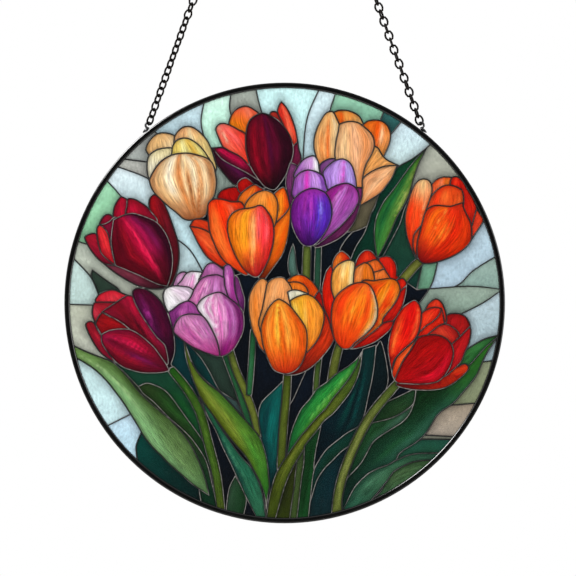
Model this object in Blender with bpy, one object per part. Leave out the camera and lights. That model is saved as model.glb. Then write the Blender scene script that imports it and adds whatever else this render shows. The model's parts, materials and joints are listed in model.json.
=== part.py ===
"""A stained glass suncatcher: a round panel of leaded tulips in a black channel rim, hung on a chain.

The panel stands upright in the XZ plane, its face towards -Y. The origin is where the hook carries the
middle link of the chain. The picture is drawn in millimetres from the panel's centre, x to the right and
z up, as a full-size cartoon is drawn for a glass cutter.
"""
import math

import bmesh
import bpy
import numpy as np
from mathutils import Vector
from mathutils.geometry import delaunay_2d_cdt

MM = 0.001

# Driving dimensions, in millimetres.
PANEL_RADIUS = 100.0
GLASS_THICKNESS = 3.0
SEAM_WIDTH = 0.9
SEAM_PROUD = 0.4
GAP = 0.3
RIM_FACE = 2.4
RIM_WEB = 0.6
RIM_FLANGE = 0.7
RIM_STEPS = 72
LINK_WIRE = 0.8
LINK_LENGTH = 5.0
LINK_WIDTH = 4.1
LINKS_PER_SIDE = 53
LOOP_ANGLE = math.radians(37.5)
LOOP_WIRE = 0.8
LOOP_RADIUS = 1.1
LOOP_FOOT = 4.6
ROD_SIDES = 8
SMALLEST_PANE = 205.0
SMALLEST_PLATE = 20.0
SHADE_CENTRE = (5, -35)
SHADE_RADIUS = 62.0
OUTLINE_TOLERANCE = 0.6
OUTLINE_STEPS = 14
EDGE_STEPS = 4
BORDER_TOLERANCE = 0.05
MERGE_DISTANCE = 0.01

# Worked out from them, in millimetres.
RIM_HALF_DEPTH = GLASS_THICKNESS / 2 + GAP + RIM_FLANGE
FLANGE_RADIUS = PANEL_RADIUS - RIM_FACE
GLASS_RADIUS = PANEL_RADIUS - RIM_WEB - GAP - 0.1
NETWORK_RADIUS = FLANGE_RADIUS - GAP
LINK_BEND = (LINK_WIDTH - LINK_WIRE) / 2
LINK_STRAIGHT = (LINK_LENGTH - LINK_WIDTH) / 2
LINK_PITCH = LINK_LENGTH - 2 * LINK_WIRE
LOOP_FOOT_RADIUS = PANEL_RADIUS + GAP + LOOP_WIRE / 2
LOOP_CENTRE_RADIUS = LOOP_FOOT_RADIUS + 1.1
LOOP_X = LOOP_CENTRE_RADIUS * math.sin(LOOP_ANGLE)
LOOP_Z = LOOP_CENTRE_RADIUS * math.cos(LOOP_ANGLE)
# The chain pulls straight from the hanging link's bend to the loop on the rim.
CHAIN_REACH = LINK_BEND + LINKS_PER_SIDE * LINK_PITCH + LOOP_RADIUS - (LINK_WIRE + LOOP_WIRE) / 2
CHAIN_LEAN = math.asin((LOOP_X - LINK_STRAIGHT) / CHAIN_REACH)
LINK_Z = LINK_WIRE - LINK_WIDTH / 2
PANEL_Z = LINK_Z - CHAIN_REACH * math.cos(CHAIN_LEAN) - LOOP_Z


# The drawing. A petal is an edge through a few points, smooth except at a corner, which has a third number.
# A leaf or a stem is a spine with a width.

def leaf(spine, width, belly=0.5, sharp=0.9, heel=0.6):
    return {"spine": spine, "width": width, "belly": belly, "sharp": sharp, "heel": heel}


def stem(spine, width):
    return leaf(spine, width, sharp=0.06, heel=0.06)


# Flower heads, back petals first.
TULIPS = {
    "cream": [
        [(-62.3, 68), (-62.6, 71.5), (-60, 75.4), (-56.5, 77.2), (-52.2, 76.9), (-48, 75, 0),
         (-46, 66), (-55, 60)],
        [(-50.3, 73.5), (-49.6, 76.5), (-47, 79.4), (-44, 80.2), (-41, 79.4), (-36.9, 76),
         (-34, 71.5), (-32, 65.5), (-31.5, 60), (-40, 55), (-50, 62)],
        [(-61.6, 55.9, 0), (-62.5, 60), (-62.3, 65), (-61, 67.7), (-57.5, 69.8), (-53.2, 70.5),
         (-50, 70.3, 0), (-48, 62), (-55, 52)],
        [(-52, 64, 0), (-51.3, 68), (-50.9, 71.2), (-49.4, 73.6), (-46.8, 74.8), (-43.5, 74.6),
         (-39.5, 72.2), (-36.5, 68.8), (-34, 65, 0), (-40, 60)],
        [(-61.6, 55.9, 0), (-59.3, 60.5), (-56.3, 64.3), (-52.2, 66.9), (-48.1, 67.9),
         (-44.5, 68.1), (-41, 67.6), (-35.4, 65.8), (-32.6, 63), (-31.4, 58.5), (-31, 54),
         (-32, 48.8), (-34.5, 45), (-36, 39.5), (-41, 37.8), (-45.5, 38), (-49.6, 41.4),
         (-53.2, 44.2), (-58.3, 49), (-60.6, 52.4)],
    ],
    "crimson_top": [
        [(-25, 80.5), (-24.7, 84.3), (-22.5, 87.6), (-19, 89.3), (-16, 89), (-12.1, 86.6, 0),
         (-13, 80), (-20, 76)],
        [(-27.7, 70.5), (-30.2, 75.5), (-31.3, 79), (-30, 81.1), (-27.7, 81.6), (-24.9, 80.8),
         (-21, 78.7), (-17.5, 76.3), (-15, 68), (-17, 62), (-22, 67)],
        [(-33.2, 70.2, 0), (-32, 66.8), (-31, 63.2), (-28.5, 59.8), (-25, 55.6), (-22.5, 53.6),
         (-18, 52), (-8, 52.5), (-8, 58), (-20, 64)],
        [(-32.4, 70.4, 0), (-28.2, 70.7), (-25, 69), (-21.5, 67.3), (-18.5, 65), (-12, 58, 0),
         (-12, 55.7, 0), (-15.5, 58.1), (-19.6, 60.4), (-23.6, 62.4), (-27.2, 64.4), (-29.4, 66.2),
         (-31.2, 68.4)],
        [(-6.6, 86.3), (-5, 87), (-3.2, 86.3), (-0.5, 83.4), (2, 79), (0, 76), (-6, 84)],
        [(5.7, 74.4), (6.4, 70), (7.5, 65.3), (5, 61), (0, 60), (1, 70), (4.3, 73)],
        [(-1.6, 91.4, 0), (0.5, 89.2), (2.7, 85.3), (4.4, 80.7), (5.4, 76.5), (5.7, 73.3),
         (4.2, 71.6, 0), (2, 70), (1.4, 76), (-0.9, 81.5), (-3.2, 86.6), (-2.6, 89.8)],
        [(-9.9, 86.2), (-5.5, 84.6), (-1.7, 81.7), (1.5, 77.5), (3.4, 73), (3.9, 68.5), (2.7, 63.4),
         (0.5, 58), (-2.5, 53.5), (-4.9, 51.4), (-8.9, 52.7), (-12.4, 56.8), (-15.3, 61.4),
         (-17.1, 67), (-17.8, 72.6), (-17.4, 78.7), (-16, 82.8), (-13.2, 85.2)],
    ],
    "peach": [
        [(22.2, 86.6, 0), (24.5, 87.5), (28.5, 87.4), (32.1, 86.1), (34.3, 84.2), (35.9, 81, 0),
         (30, 76), (24, 79)],
        [(35.4, 81, 0), (37.7, 82.6), (40.7, 83.1), (43.8, 82.7), (46.3, 81), (47.8, 78.3),
         (48.1, 75.5), (47.4, 72), (46.1, 69), (44.8, 66, 0), (41, 69), (38, 75)],
        [(21.1, 87.1), (22.6, 86), (23.8, 83.3), (24.8, 81, 0), (27, 75), (26, 60), (15.8, 61),
         (14.4, 66), (13.3, 70.1), (13.4, 75), (14.7, 79.5), (16.5, 83.1), (18.6, 86.1)],
        [(40.7, 71.4, 0), (42.5, 70.2), (44.4, 67), (46.5, 65), (49, 63.7), (51.6, 62.6, 0),
         (46, 58), (36, 52), (34, 58), (38, 66)],
        [(51, 62.5, 0), (49, 57.4), (46.3, 53.3), (43.8, 50.2), (40.7, 48), (37.7, 46.2),
         (34.4, 44.4, 0), (34.8, 49), (35.2, 53.5), (35.5, 56.5), (38.2, 59), (41.8, 60.9),
         (45.8, 62.2)],
        [(24.8, 81.2, 0), (27.5, 82.2), (30.5, 82.5), (33.6, 81.8), (36.6, 79.6), (39.2, 77.1),
         (40.5, 74.5), (40.7, 71.1), (39.4, 67.4), (37.2, 63.5), (35.9, 59.4), (35.2, 55.3),
         (35.1, 51.5), (32, 50), (26, 56), (22.9, 65.8), (23.3, 73.5), (24.3, 78)],
    ],
    "violet": [
        [(34, 46), (33.3, 41), (31.2, 36), (27, 31), (21, 27.3), (14, 25.2), (14, 30), (28, 40)],
        [(2.6, 63.8, 0), (5.6, 62.2), (7, 58), (5, 46), (2.4, 44.5), (1.3, 49.2), (0.4, 54),
         (1, 59)],
        [(22.9, 65.6, 0), (20.4, 65.5), (17.8, 64.4), (15.8, 62.5), (15.8, 59.5, 0), (18, 57),
         (24, 62)],
        [(13.6, 66.7), (10.7, 66.4), (8.2, 64.9), (6.2, 62.5), (4.7, 59.8), (4.4, 57), (10, 55),
         (16, 57), (15.6, 61), (15.3, 64)],
        [(32, 52), (35.1, 52.4, 0), (35.2, 48.7), (34.1, 44.6, 0), (32, 46)],
        [(26.5, 65.4), (29.1, 64.2), (30.7, 61.9), (31.7, 58.9), (32.4, 55.3), (32.6, 51, 0),
         (26, 48), (19, 50), (18.6, 55), (17.3, 59), (19.3, 62), (21.9, 64.2), (24, 65.1)],
        [(10.2, 60.4), (13.2, 60), (15.8, 58.9), (17.7, 57.2), (18.7, 53.8), (19, 50), (12, 46),
         (3.8, 48), (3.8, 53.8), (4.7, 56.9), (7, 59.2)],
        [(27.5, 54.4), (30.6, 53.6), (32.8, 51.6), (33.7, 49), (33.5, 46), (31.5, 42), (28.6, 38.3),
         (24.5, 34), (19, 29.6), (13.5, 26.3), (12, 32), (16, 46), (19, 50.6), (22.9, 53.2)],
        [(13.2, 52.1), (16, 51.4), (18.5, 50), (20.3, 47.3), (21.4, 43.3), (21.3, 39), (19.8, 34.5),
         (17, 30), (14, 26.8), (11.2, 25.7), (8, 26.6), (5.2, 30.5), (3.4, 35), (2.6, 40),
         (3.1, 44.6), (4.7, 47.9), (7.2, 50.1), (10.2, 51.6)],
    ],
    "orange_right": [
        [(87, 43.2, 0), (88.9, 40.1), (90.2, 37.5), (88.7, 34.6), (86.9, 32), (84.6, 28.4, 0),
         (82, 34), (84, 40)],
        [(75.8, 57, 0), (78, 57.4), (80.3, 55.8), (83, 51.5), (85.6, 47.2), (87.2, 43.2),
         (86.6, 41), (85.1, 35.2, 0), (80, 36), (78, 50), (74.2, 53.5)],
        [(66.5, 53.5, 0), (68.7, 55.9), (72, 57.2), (75.9, 57.1, 0), (75.2, 55), (74, 52), (66, 48)],
        [(63.8, 56.3), (65.7, 55.4), (66.8, 53.2), (66.9, 50.5), (65.8, 46.6), (64, 42.3),
         (62.9, 37.9), (62, 33), (61, 24), (60.2, 20), (58.4, 22.5), (55.9, 28.8), (54.8, 34.6),
         (54.8, 40.1), (56.1, 46.1), (57.5, 50.5), (59.3, 54.2), (61.5, 56)],
        [(62.3, 35.5, 0), (60.3, 33.2), (58.9, 31.2), (58.2, 27.3), (58.7, 23.4), (60.2, 20.2, 0),
         (62, 24), (63, 32)],
        [(66.8, 48.6), (69.3, 51.5), (71.5, 52.9), (74.2, 53.6), (77.5, 53), (80.6, 51.3, 0),
         (81.2, 48.6), (81.3, 45, 0), (74, 40), (64, 38), (64, 41.3), (65.3, 45.3)],
        [(63.6, 40.6), (65.3, 43), (68.2, 44.3), (71.5, 44.2), (75.3, 43.9), (78.3, 44.8),
         (81, 45.6, 0), (81.3, 43.2), (82.7, 40), (84.4, 36.5), (85, 32.4), (84.6, 28.4),
         (82.2, 25.2), (78, 22.1), (72.5, 19.6), (66.5, 18), (62.4, 18.2), (60.4, 20.6), (60, 24.3),
         (60.3, 28.1), (61.4, 32.4), (62.5, 36.8)],
    ],
    "crimson_left": [
        [(-59.4, 49.2), (-57.2, 48), (-55.2, 45.7), (-53.2, 41.7), (-51.5, 37.2), (-49.8, 32.3),
         (-48.4, 27.3), (-47.9, 22), (-48.4, 16.7), (-49.8, 11.8), (-51.8, 7.7), (-54, 8),
         (-54, 20), (-56, 30), (-60.5, 40), (-61.7, 44.5), (-61.2, 47.6)],
        [(-77.8, 38), (-77.7, 42.5), (-76.4, 45.8), (-74.4, 48.2), (-71.8, 47.2, 0), (-70, 42),
         (-70, 38), (-75, 36)],
        [(-72.1, 40), (-71.7, 44), (-71.3, 47.2), (-68.5, 47.2), (-65.5, 45.7), (-62.6, 43.7),
         (-60.2, 40.8), (-57.8, 37.4), (-60, 34), (-68, 36)],
        [(-84.2, 36, 0), (-83, 38.5), (-81.3, 40.1), (-79.3, 40.1), (-77.4, 38.4, 0), (-76, 35),
         (-80, 34)],
        [(-84.2, 35.7, 0), (-82, 35.8), (-79.8, 36.8), (-76, 38), (-75, 20), (-79, 20), (-83, 30)],
        [(-90.8, 29.7), (-89.6, 30.9), (-87.2, 31.7), (-85.2, 31.3, 0), (-83, 30), (-78, 20),
         (-76.5, 16.7, 0), (-79, 17.2), (-82, 17.9), (-85.2, 20.4), (-88.1, 24.1), (-89.8, 27)],
        [(-85.4, 32.9), (-85, 34.7), (-84, 35.4), (-82, 34), (-80.3, 31.4), (-79.1, 26.5),
         (-77.8, 20.6), (-76.8, 17, 0), (-80.3, 19.6), (-83.2, 22.6), (-84.5, 26.5), (-85.2, 30)],
        [(-82.2, 17.8, 0), (-79, 17.2), (-75, 16.3), (-60, 10), (-52.5, 7.4, 0), (-56.2, 6.4),
         (-61.6, 6.5), (-67, 8), (-71.9, 10.5), (-76.9, 13.6), (-80.3, 16.2)],
        [(-77.7, 37.7, 0), (-75.4, 38.9), (-72.4, 40.1), (-69, 40.7), (-65.6, 39.9), (-61.6, 38.4),
         (-58.4, 36.8), (-55.7, 34), (-53.3, 30), (-51.7, 25.2), (-50.9, 20.2), (-51.2, 15),
         (-52.2, 10.6), (-53.3, 7.6, 0), (-57, 8.3), (-61.6, 10.3), (-66.5, 12.8), (-71.5, 15.3),
         (-76.4, 17), (-77.5, 20), (-78.4, 24.5), (-78.8, 28.5), (-78.4, 33)],
    ],
    "orange_centre": [
        [(-30.6, 47), (-29.7, 50.2), (-27.3, 51.8), (-24.2, 52.6), (-21, 52.6), (-18, 51.6, 0),
         (-18, 46), (-28, 44)],
        [(-21.6, 53.6), (-20, 56), (-17.8, 56.8), (-16, 55.9), (-13.6, 53.6, 0), (-14, 50),
         (-20, 50)],
        [(-21.2, 46), (-19.7, 49.7), (-16.3, 52.6), (-13.6, 53.8), (-11.2, 52.6), (-9, 51.2, 0),
         (-10, 44), (-18, 40)],
        [(-4.5, 50), (-1.2, 52.5), (0.2, 51.8), (1.1, 49.6), (2, 45.8), (2.1, 43.4), (0.1, 40.4),
         (-4.1, 36.2), (-6, 34), (-7, 46)],
        [(-18.3, 43.2), (-16.8, 46.8), (-14.7, 48.9), (-12, 50.5), (-8.9, 51.2), (-6.2, 50.4),
         (-4.4, 48.7), (-3.2, 45.8), (-3.1, 42), (-3.9, 37.3), (-5.4, 33.4), (-10, 34), (-18, 38)],
        [(2.3, 42.8, 0), (2.6, 40), (2.2, 34.7), (1.1, 28.4), (-1, 22), (-4.7, 16.6), (-8.8, 11, 0),
         (-12, 12), (-10, 22), (-5.4, 33.6), (-2.6, 37.4), (0.5, 40.4)],
        [(-43.1, 34.9, 0), (-41.8, 37.3), (-40, 38.2), (-37.3, 37.9), (-34.5, 36.8), (-32, 33),
         (-32, 30), (-36, 31)],
        [(-43.1, 34.7, 0), (-41, 30.5), (-38.9, 26.3), (-35.8, 21.5), (-32.1, 18.4), (-28.2, 16.3),
         (-25, 17), (-29, 23), (-31.5, 28), (-33.2, 31.2), (-36.3, 33.2), (-39.8, 34.3)],
        [(-18.1, 43.6, 0), (-19.7, 45.8), (-22.1, 46), (-24.7, 46.1), (-27.9, 47), (-31, 47.3),
         (-33.1, 46.8), (-34.7, 45.2), (-35, 42.1), (-34.7, 37.9), (-34.2, 33.1), (-32.6, 28.4),
         (-30, 22.6), (-26.8, 18.4), (-21.5, 14.7), (-17, 12.6), (-15, 18), (-20, 38)],
        [(-18.4, 42.9), (-21.5, 42.1), (-24.2, 40.2), (-25.8, 37.3), (-26, 33.1), (-25.2, 28.9),
         (-23.6, 24.2), (-21, 18.9), (-18.4, 15.2), (-15.7, 12.6), (-13.1, 11.7), (-11, 12.8),
         (-8.4, 17.3), (-6.5, 22), (-5.2, 27.3), (-4.9, 33.1), (-5.7, 37.9), (-7.6, 41.3),
         (-9.7, 43.8), (-11.5, 44.4), (-13.6, 43.7), (-16.1, 43.1)],
    ],
    "pink": [
        [(-50.6, 7), (-49.7, 11.2), (-48.1, 13.4), (-45.5, 14.1), (-43, 12), (-46, 6)],
        [(-48.5, 7.2), (-46.7, 10.5), (-45, 13.1), (-42.4, 14.4), (-39.1, 14.1), (-36, 13.8, 0),
         (-37, 8), (-41, 3)],
        [(-39, 9.6), (-37.4, 13.8), (-35.8, 16.9), (-33.9, 18.1), (-31.5, 17.9), (-29.2, 16.2),
         (-27.4, 14.8, 0), (-26, 10), (-34, 8)],
        [(-22.8, 12.8, 0), (-21, 11.1), (-19.5, 6.5), (-18.2, 1.8), (-18.3, -2.5), (-18.8, -5, 0),
         (-22, -2), (-24, 5)],
        [(-27.7, 15.8), (-26.8, 17.1), (-25.4, 17.5), (-24, 16.2), (-23, 13.6), (-22.8, 8.4),
         (-22.1, 3.7), (-20.8, -0.6, 0), (-25, 0), (-27, 4), (-27.6, 9)],
        [(-42, 5), (-39.1, 9.8), (-37.2, 11.5), (-34.4, 12.5), (-30.6, 12.8), (-27.4, 11.5, 0),
         (-27.2, 7.9), (-25.8, 3, 0), (-32, 0), (-39, -4), (-44, 1), (-42.6, 3.2)],
        [(-55.3, 2.7), (-54.7, 5.6), (-52.8, 7.2), (-49.5, 7.8), (-46.2, 7.6), (-43.3, 7.1),
         (-41.5, 5.9, 0), (-42.2, 3.7), (-44.5, 0.6), (-47.6, -0.3), (-50.9, -2.9), (-53, -4.3, 0),
         (-54.4, -1.2)],
        [(-53, -4.3, 0), (-50, -2.5), (-47.1, -0.1), (-43.8, 0.9), (-41.5, -0.1), (-39.8, -1.8),
         (-37.5, -5.5, 0), (-40, -9), (-48, -10), (-50.7, -12.4, 0), (-51.9, -8.1)],
        [(-50.6, -12.9), (-50.2, -10.5), (-48.8, -7.7), (-46.7, -5.8), (-43.3, -5), (-40, -5.2),
         (-37.5, -5.8), (-35.3, -8.1), (-32.9, -12.4), (-30.8, -17.1), (-29.4, -22.8), (-30, -24.3),
         (-33.4, -23.5), (-37.7, -21.9), (-42.4, -19.7), (-46.7, -16.7), (-49.5, -14.3)],
        [(-40, -1.5, 0), (-38.6, 0.8), (-36.7, 2.5), (-33.4, 4.1), (-30.1, 4.9), (-27.7, 4.1),
         (-24.9, 2), (-22.1, -0.1), (-20.2, -2), (-18.8, -4.8), (-18.4, -9.1), (-19, -13.3),
         (-20.7, -17.1), (-23, -20.9), (-25.9, -23.3), (-29.2, -24.3), (-29.6, -22.3),
         (-30.6, -17.6), (-32, -13.8), (-33.9, -10), (-36.7, -6.3), (-39.1, -3.7)],
    ],
    "crimson_low": [
        [(-69.2, 3.4), (-68.6, 6), (-65.8, 6.8), (-62.6, 6), (-59.5, 4), (-56.3, 0.8), (-54, -2.8),
         (-52.2, -7.4), (-50.8, -12.4), (-50, -17.4), (-50, -22.4), (-51.2, -26.5), (-52.6, -28.8),
         (-54.5, -26), (-55, -20), (-60.4, -12.4), (-63.5, -7.8), (-66.3, -3.3), (-68.3, 0.4)],
        [(-85.7, 0.2), (-85.2, 2.9), (-83.1, 4.7), (-79.9, 5.8), (-77.2, 5.8), (-74.5, 4.8),
         (-71.4, 3.5, 0), (-74, -2), (-80, -3)],
        [(-85.7, 0.4, 0), (-86.8, -0.4), (-87.5, -4.2), (-86.8, -7.4), (-85.8, -9.4, 0), (-82, -8),
         (-76, -4), (-77, 0.4, 0)],
        [(-82.9, -3.9, 0), (-77.2, -0.1), (-74, 2), (-71.3, 3.4), (-69, 3.2, 0), (-67.9, -0.1),
         (-65.8, -4.2), (-63.1, -8.7), (-59.5, -14.2), (-55.8, -17.6), (-53.9, -20.5), (-53.2, -28),
         (-60, -22), (-70.8, -11.6), (-74.5, -8.7), (-79, -6.1)],
        [(-82.9, -4.3, 0), (-78.1, -6.9), (-74, -9.2), (-70.6, -11.7, 0), (-74, -14),
         (-83, -14.6, 0), (-84.9, -11.5), (-85.8, -9.2), (-84.4, -6)],
        [(-90.4, -10.1), (-89.7, -8.7), (-88.1, -8.3), (-86.5, -9.3), (-85.4, -11.5),
         (-83.1, -15.1), (-81, -19.6), (-77, -24), (-75.8, -27.3), (-80.4, -25.1), (-84.2, -21.9),
         (-87.2, -17.4), (-89.5, -12.8)],
        [(-83.1, -14.3, 0), (-80.4, -12.8), (-77.2, -12), (-74, -11.8), (-70.8, -12), (-68.1, -13),
         (-64.9, -15.1), (-61.7, -17.8), (-59, -20.5), (-56.3, -24.2), (-53.8, -27.8),
         (-52.4, -30.7, 0), (-55.4, -31.5), (-59.9, -31.8), (-64.9, -31.6), (-69.5, -30.5),
         (-73.1, -29.2), (-76.3, -27.1), (-79, -24.2), (-81.7, -20.5), (-83.2, -17.4)],
    ],
    "apricot": [
        [(10.5, 5.1, 0), (15.7, 5.4, 0), (16.8, 3.6), (17.4, -0.7), (19, -6.5), (24, -10),
         (23, -15.5), (20.4, -20.3), (16.9, -24.7), (13, -28.6), (8.1, -31.6), (3.2, -32.7),
         (0, -31), (8, -16)],
        [(0.6, 10.2, 0), (3.2, 11.9), (6.1, 12.9), (8.6, 12.5), (11.5, 10.7), (13.5, 8.7),
         (15.6, 5.6, 0), (12, 2), (4, 4)],
        [(1.6, 9.2, 0), (4, 9.6), (6.6, 9.3), (8.9, 8.1), (10.4, 6), (10.7, 4.2, 0), (6, 2), (2, 5)],
        [(-15.6, 4.8), (-13.4, 8.7), (-10.7, 11.1), (-8.8, 10.7), (-7.6, 9.4, 0), (-7, 0),
         (-9, -10), (-9.2, -22.6, 0), (-11.5, -19.8), (-13.1, -16.2), (-14.9, -11.9), (-16, -6.7),
         (-16.5, -1.5), (-16.3, 2)],
        [(-7.9, 8.7), (-5.7, 10.9), (-3.2, 11.7), (-0.7, 11.6), (0.8, 10.3), (2.3, 8.3),
         (3.4, 5.9, 0), (4, 0), (0, -4), (-8, -6), (-11.3, -12.6, 0), (-11.8, -8.5), (-10.2, -2.6),
         (-9, 3.5)],
        [(1.2, 5, 0), (3.2, 5.8), (6.1, 5.8), (10.3, 4.4, 0), (8, 1), (2.6, -1, 0)],
        [(2.3, 1, 0), (5.6, 2.9), (9.6, 3.9), (12.2, 3.2), (14.5, 1.3), (16.4, -1.1), (17.7, -3.6),
         (17.9, -6.5), (17.4, -10), (15.9, -14.9), (13.5, -18.8), (10.2, -22.5, 0), (8, -16),
         (4, -6)],
        [(-2.7, 1.9, 0), (0, 0.5), (2.7, -1.6), (5.1, -4.6), (7.6, -8), (9.6, -11.5), (10.2, -15.4),
         (10, -20.3), (9.1, -24.2), (7.6, -27.7), (5.1, -30.6), (1.7, -32.1), (-1.7, -31.9),
         (-5.2, -30.1), (-7.6, -25.7), (-9.6, -20.3), (-10.5, -15.4), (-10.8, -11.5), (-9.8, -7.5),
         (-7.6, -2.6), (-5.2, 0.4)],
    ],
    "orange_yellow": [
        [(20.8, 17, 0), (18.8, 14.3), (17.7, 10.5), (16.9, 6.3), (17.1, 1.5), (17.9, -2.7),
         (19.8, -7), (21, -11.2), (22.4, -16.4, 0), (24, -8), (25, 4), (22.5, 14)],
        [(21.8, 14.6), (21.7, 18.1), (23.1, 21.4), (25.5, 23.5), (27.3, 22.9), (29.4, 20.9),
         (30, 19, 0), (28, 16), (24, 14)],
        [(32, 14.6), (32.3, 18.5), (34, 21.9), (36.3, 23.8), (38.7, 23.8), (40.6, 22.2),
         (42, 20, 0), (40, 16), (36, 14)],
        [(42.8, 20.5, 0), (45.3, 21.2), (47.7, 21), (49.8, 19), (50.8, 16.2), (50.8, 12.4),
         (50.2, 10, 0), (46, 9), (43, 16)],
        [(37.3, 18.4, 0), (40.6, 19.6), (42.5, 19.3), (44.5, 17.1), (45.4, 15.3, 0), (44, 12),
         (40, 11)],
        [(40.5, 14, 0), (42.9, 14.6), (45.3, 15.6, 0), (46.7, 13.3), (48, 11.2, 0), (44, 8),
         (40, 9)],
        [(31.5, 8), (31.5, 13.8), (32.5, 16.2), (34.9, 17.7), (36.8, 18.3), (38.8, 17),
         (40.2, 14.2), (40.7, 10), (38, 7)],
        [(50.8, 10.2, 0), (53.3, 11.3), (54.9, 10), (55.3, 8), (52.4, 5, 0), (50, 6)],
        [(55.3, 7.8, 0), (55, 4.4), (53.8, -0.4), (51.9, -4.6), (49.4, -8.1, 0), (47.2, -8.5),
         (44.2, -9.3, 0), (43, -6), (48, 0), (51, 4)],
        [(44.2, -9.4, 0), (46.7, -8.5), (49.5, -8.2, 0), (48.6, -11.2), (45.8, -14.1),
         (41.5, -17.4), (36.8, -19.5), (32.5, -20.7), (29.5, -20.9, 0), (34, -15)],
        [(34, 8.6), (40.6, 10.1), (44.4, 10.8), (48.1, 11.1), (50.6, 10.3), (52, 8.1), (52.4, 5.3),
         (51.2, 2), (49.2, -1.3), (46.4, -4.6), (44.7, -7), (44.3, -9.4, 0), (40.6, -12.8),
         (35.9, -16.2), (30, -20.8, 0), (30, -10)],
        [(22.5, 1.6, 0), (21.4, 5.3), (21.1, 10), (21.8, 14.3), (24, 17.2), (26.9, 18.9),
         (29.2, 19.5), (31.5, 18.8), (31.9, 17.1), (31.4, 12.9), (31.2, 8, 0), (26, 3)],
        [(22.6, 1.8), (24.5, 4.4), (27.3, 6.7), (30.7, 8.6), (34, 9.3), (36.8, 9.1), (38.9, 7.7),
         (40.7, 4.4), (41.8, 0.6), (42.3, -3.2), (41.8, -7.5), (39.6, -11.2), (35.9, -15),
         (32.1, -17.9), (29.5, -20.6), (26.4, -20.8), (24, -18.8), (22.4, -16), (21.4, -11.7),
         (21.1, -7), (21.4, -2.3)],
    ],
    "red": [
        [(72.8, -6, 0), (75.2, -4.9), (78, -4.7), (80.9, -5.4), (82.9, -7.1), (84.2, -10),
         (84, -11.2, 0), (80, -16), (72, -14)],
        [(63.4, -4, 0), (64.8, -1), (66.7, 0.9), (68.8, 1.8), (70.9, 0.7), (72.4, -1.9),
         (73.4, -5.7), (73.4, -8.6), (72.2, -9.6, 0), (68, -10)],
        [(61, -14, 0), (61.8, -8), (62.2, -4.8), (64.8, -2.9), (68.1, -1.9), (71.3, -2.5, 0),
         (70, -5.7), (67.2, -8.5), (63.9, -10.7)],
        [(60, -15.4, 0), (61.5, -13), (65.3, -10.4), (69.1, -7.1), (71.4, -2.8, 0), (72.2, -6.2),
         (72.6, -9.3, 0), (69.5, -10.7), (65.3, -14, 0), (63, -16)],
        [(65, -14.4, 0), (68.1, -11.9), (70.5, -10.2), (73.3, -9.6), (76.1, -10.8), (78.8, -13.3),
         (79.4, -15.6, 0), (76, -20), (68, -18)],
        [(84.2, -10.7, 0), (84.6, -13.3), (83.8, -18), (81.9, -22.3), (80.2, -26.5), (77.1, -29.9),
         (72.8, -33.6, 0), (73, -26), (75.6, -18.9, 0), (79.5, -15.4), (81.8, -13.1)],
        [(58.7, 1.2), (60.5, 0.2), (61.8, -2.4), (62.1, -5.7), (61.6, -10), (60.4, -14.2),
         (58.2, -17.5), (54.4, -20.8), (51.1, -24.1), (49.4, -27), (48.6, -31.5, 0), (47.5, -26),
         (46.9, -21.3), (47.3, -16.6), (48.3, -12.8), (50.1, -7.6), (53, -2.9), (55.8, -0.3)],
        [(51, -36, 0), (59.6, -36), (69.5, -34), (72.8, -33.3, 0), (76.6, -30.8), (79.5, -28.4),
         (81.8, -27.6), (83.3, -28.6), (83.3, -30.5), (80.9, -33.1), (77.1, -36.2), (72.4, -38.6),
         (67.6, -39.5), (62, -39.6), (56.3, -39.1), (51, -37.6)],
        [(60.4, -14.8, 0), (58.2, -17.8), (54.4, -21.1), (50.8, -24.9), (49.2, -28.9),
         (48.7, -32.2), (49.9, -35.2, 0), (52, -32), (56, -24), (60, -18)],
        [(49.8, -35, 0), (51.6, -30.8), (53.9, -26), (57.2, -21.3), (59.6, -17.1), (61.2, -15.4),
         (64.3, -14.6), (68.1, -14.4), (71.4, -15.1), (74.3, -17), (76.2, -19.9), (76.6, -23.2),
         (75.8, -27), (74.4, -30.3), (72.4, -33.2), (69.5, -35.6), (65.3, -36.6), (59.6, -36.9),
         (54.4, -36.6), (51.6, -36.4)],
    ],
}

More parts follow.
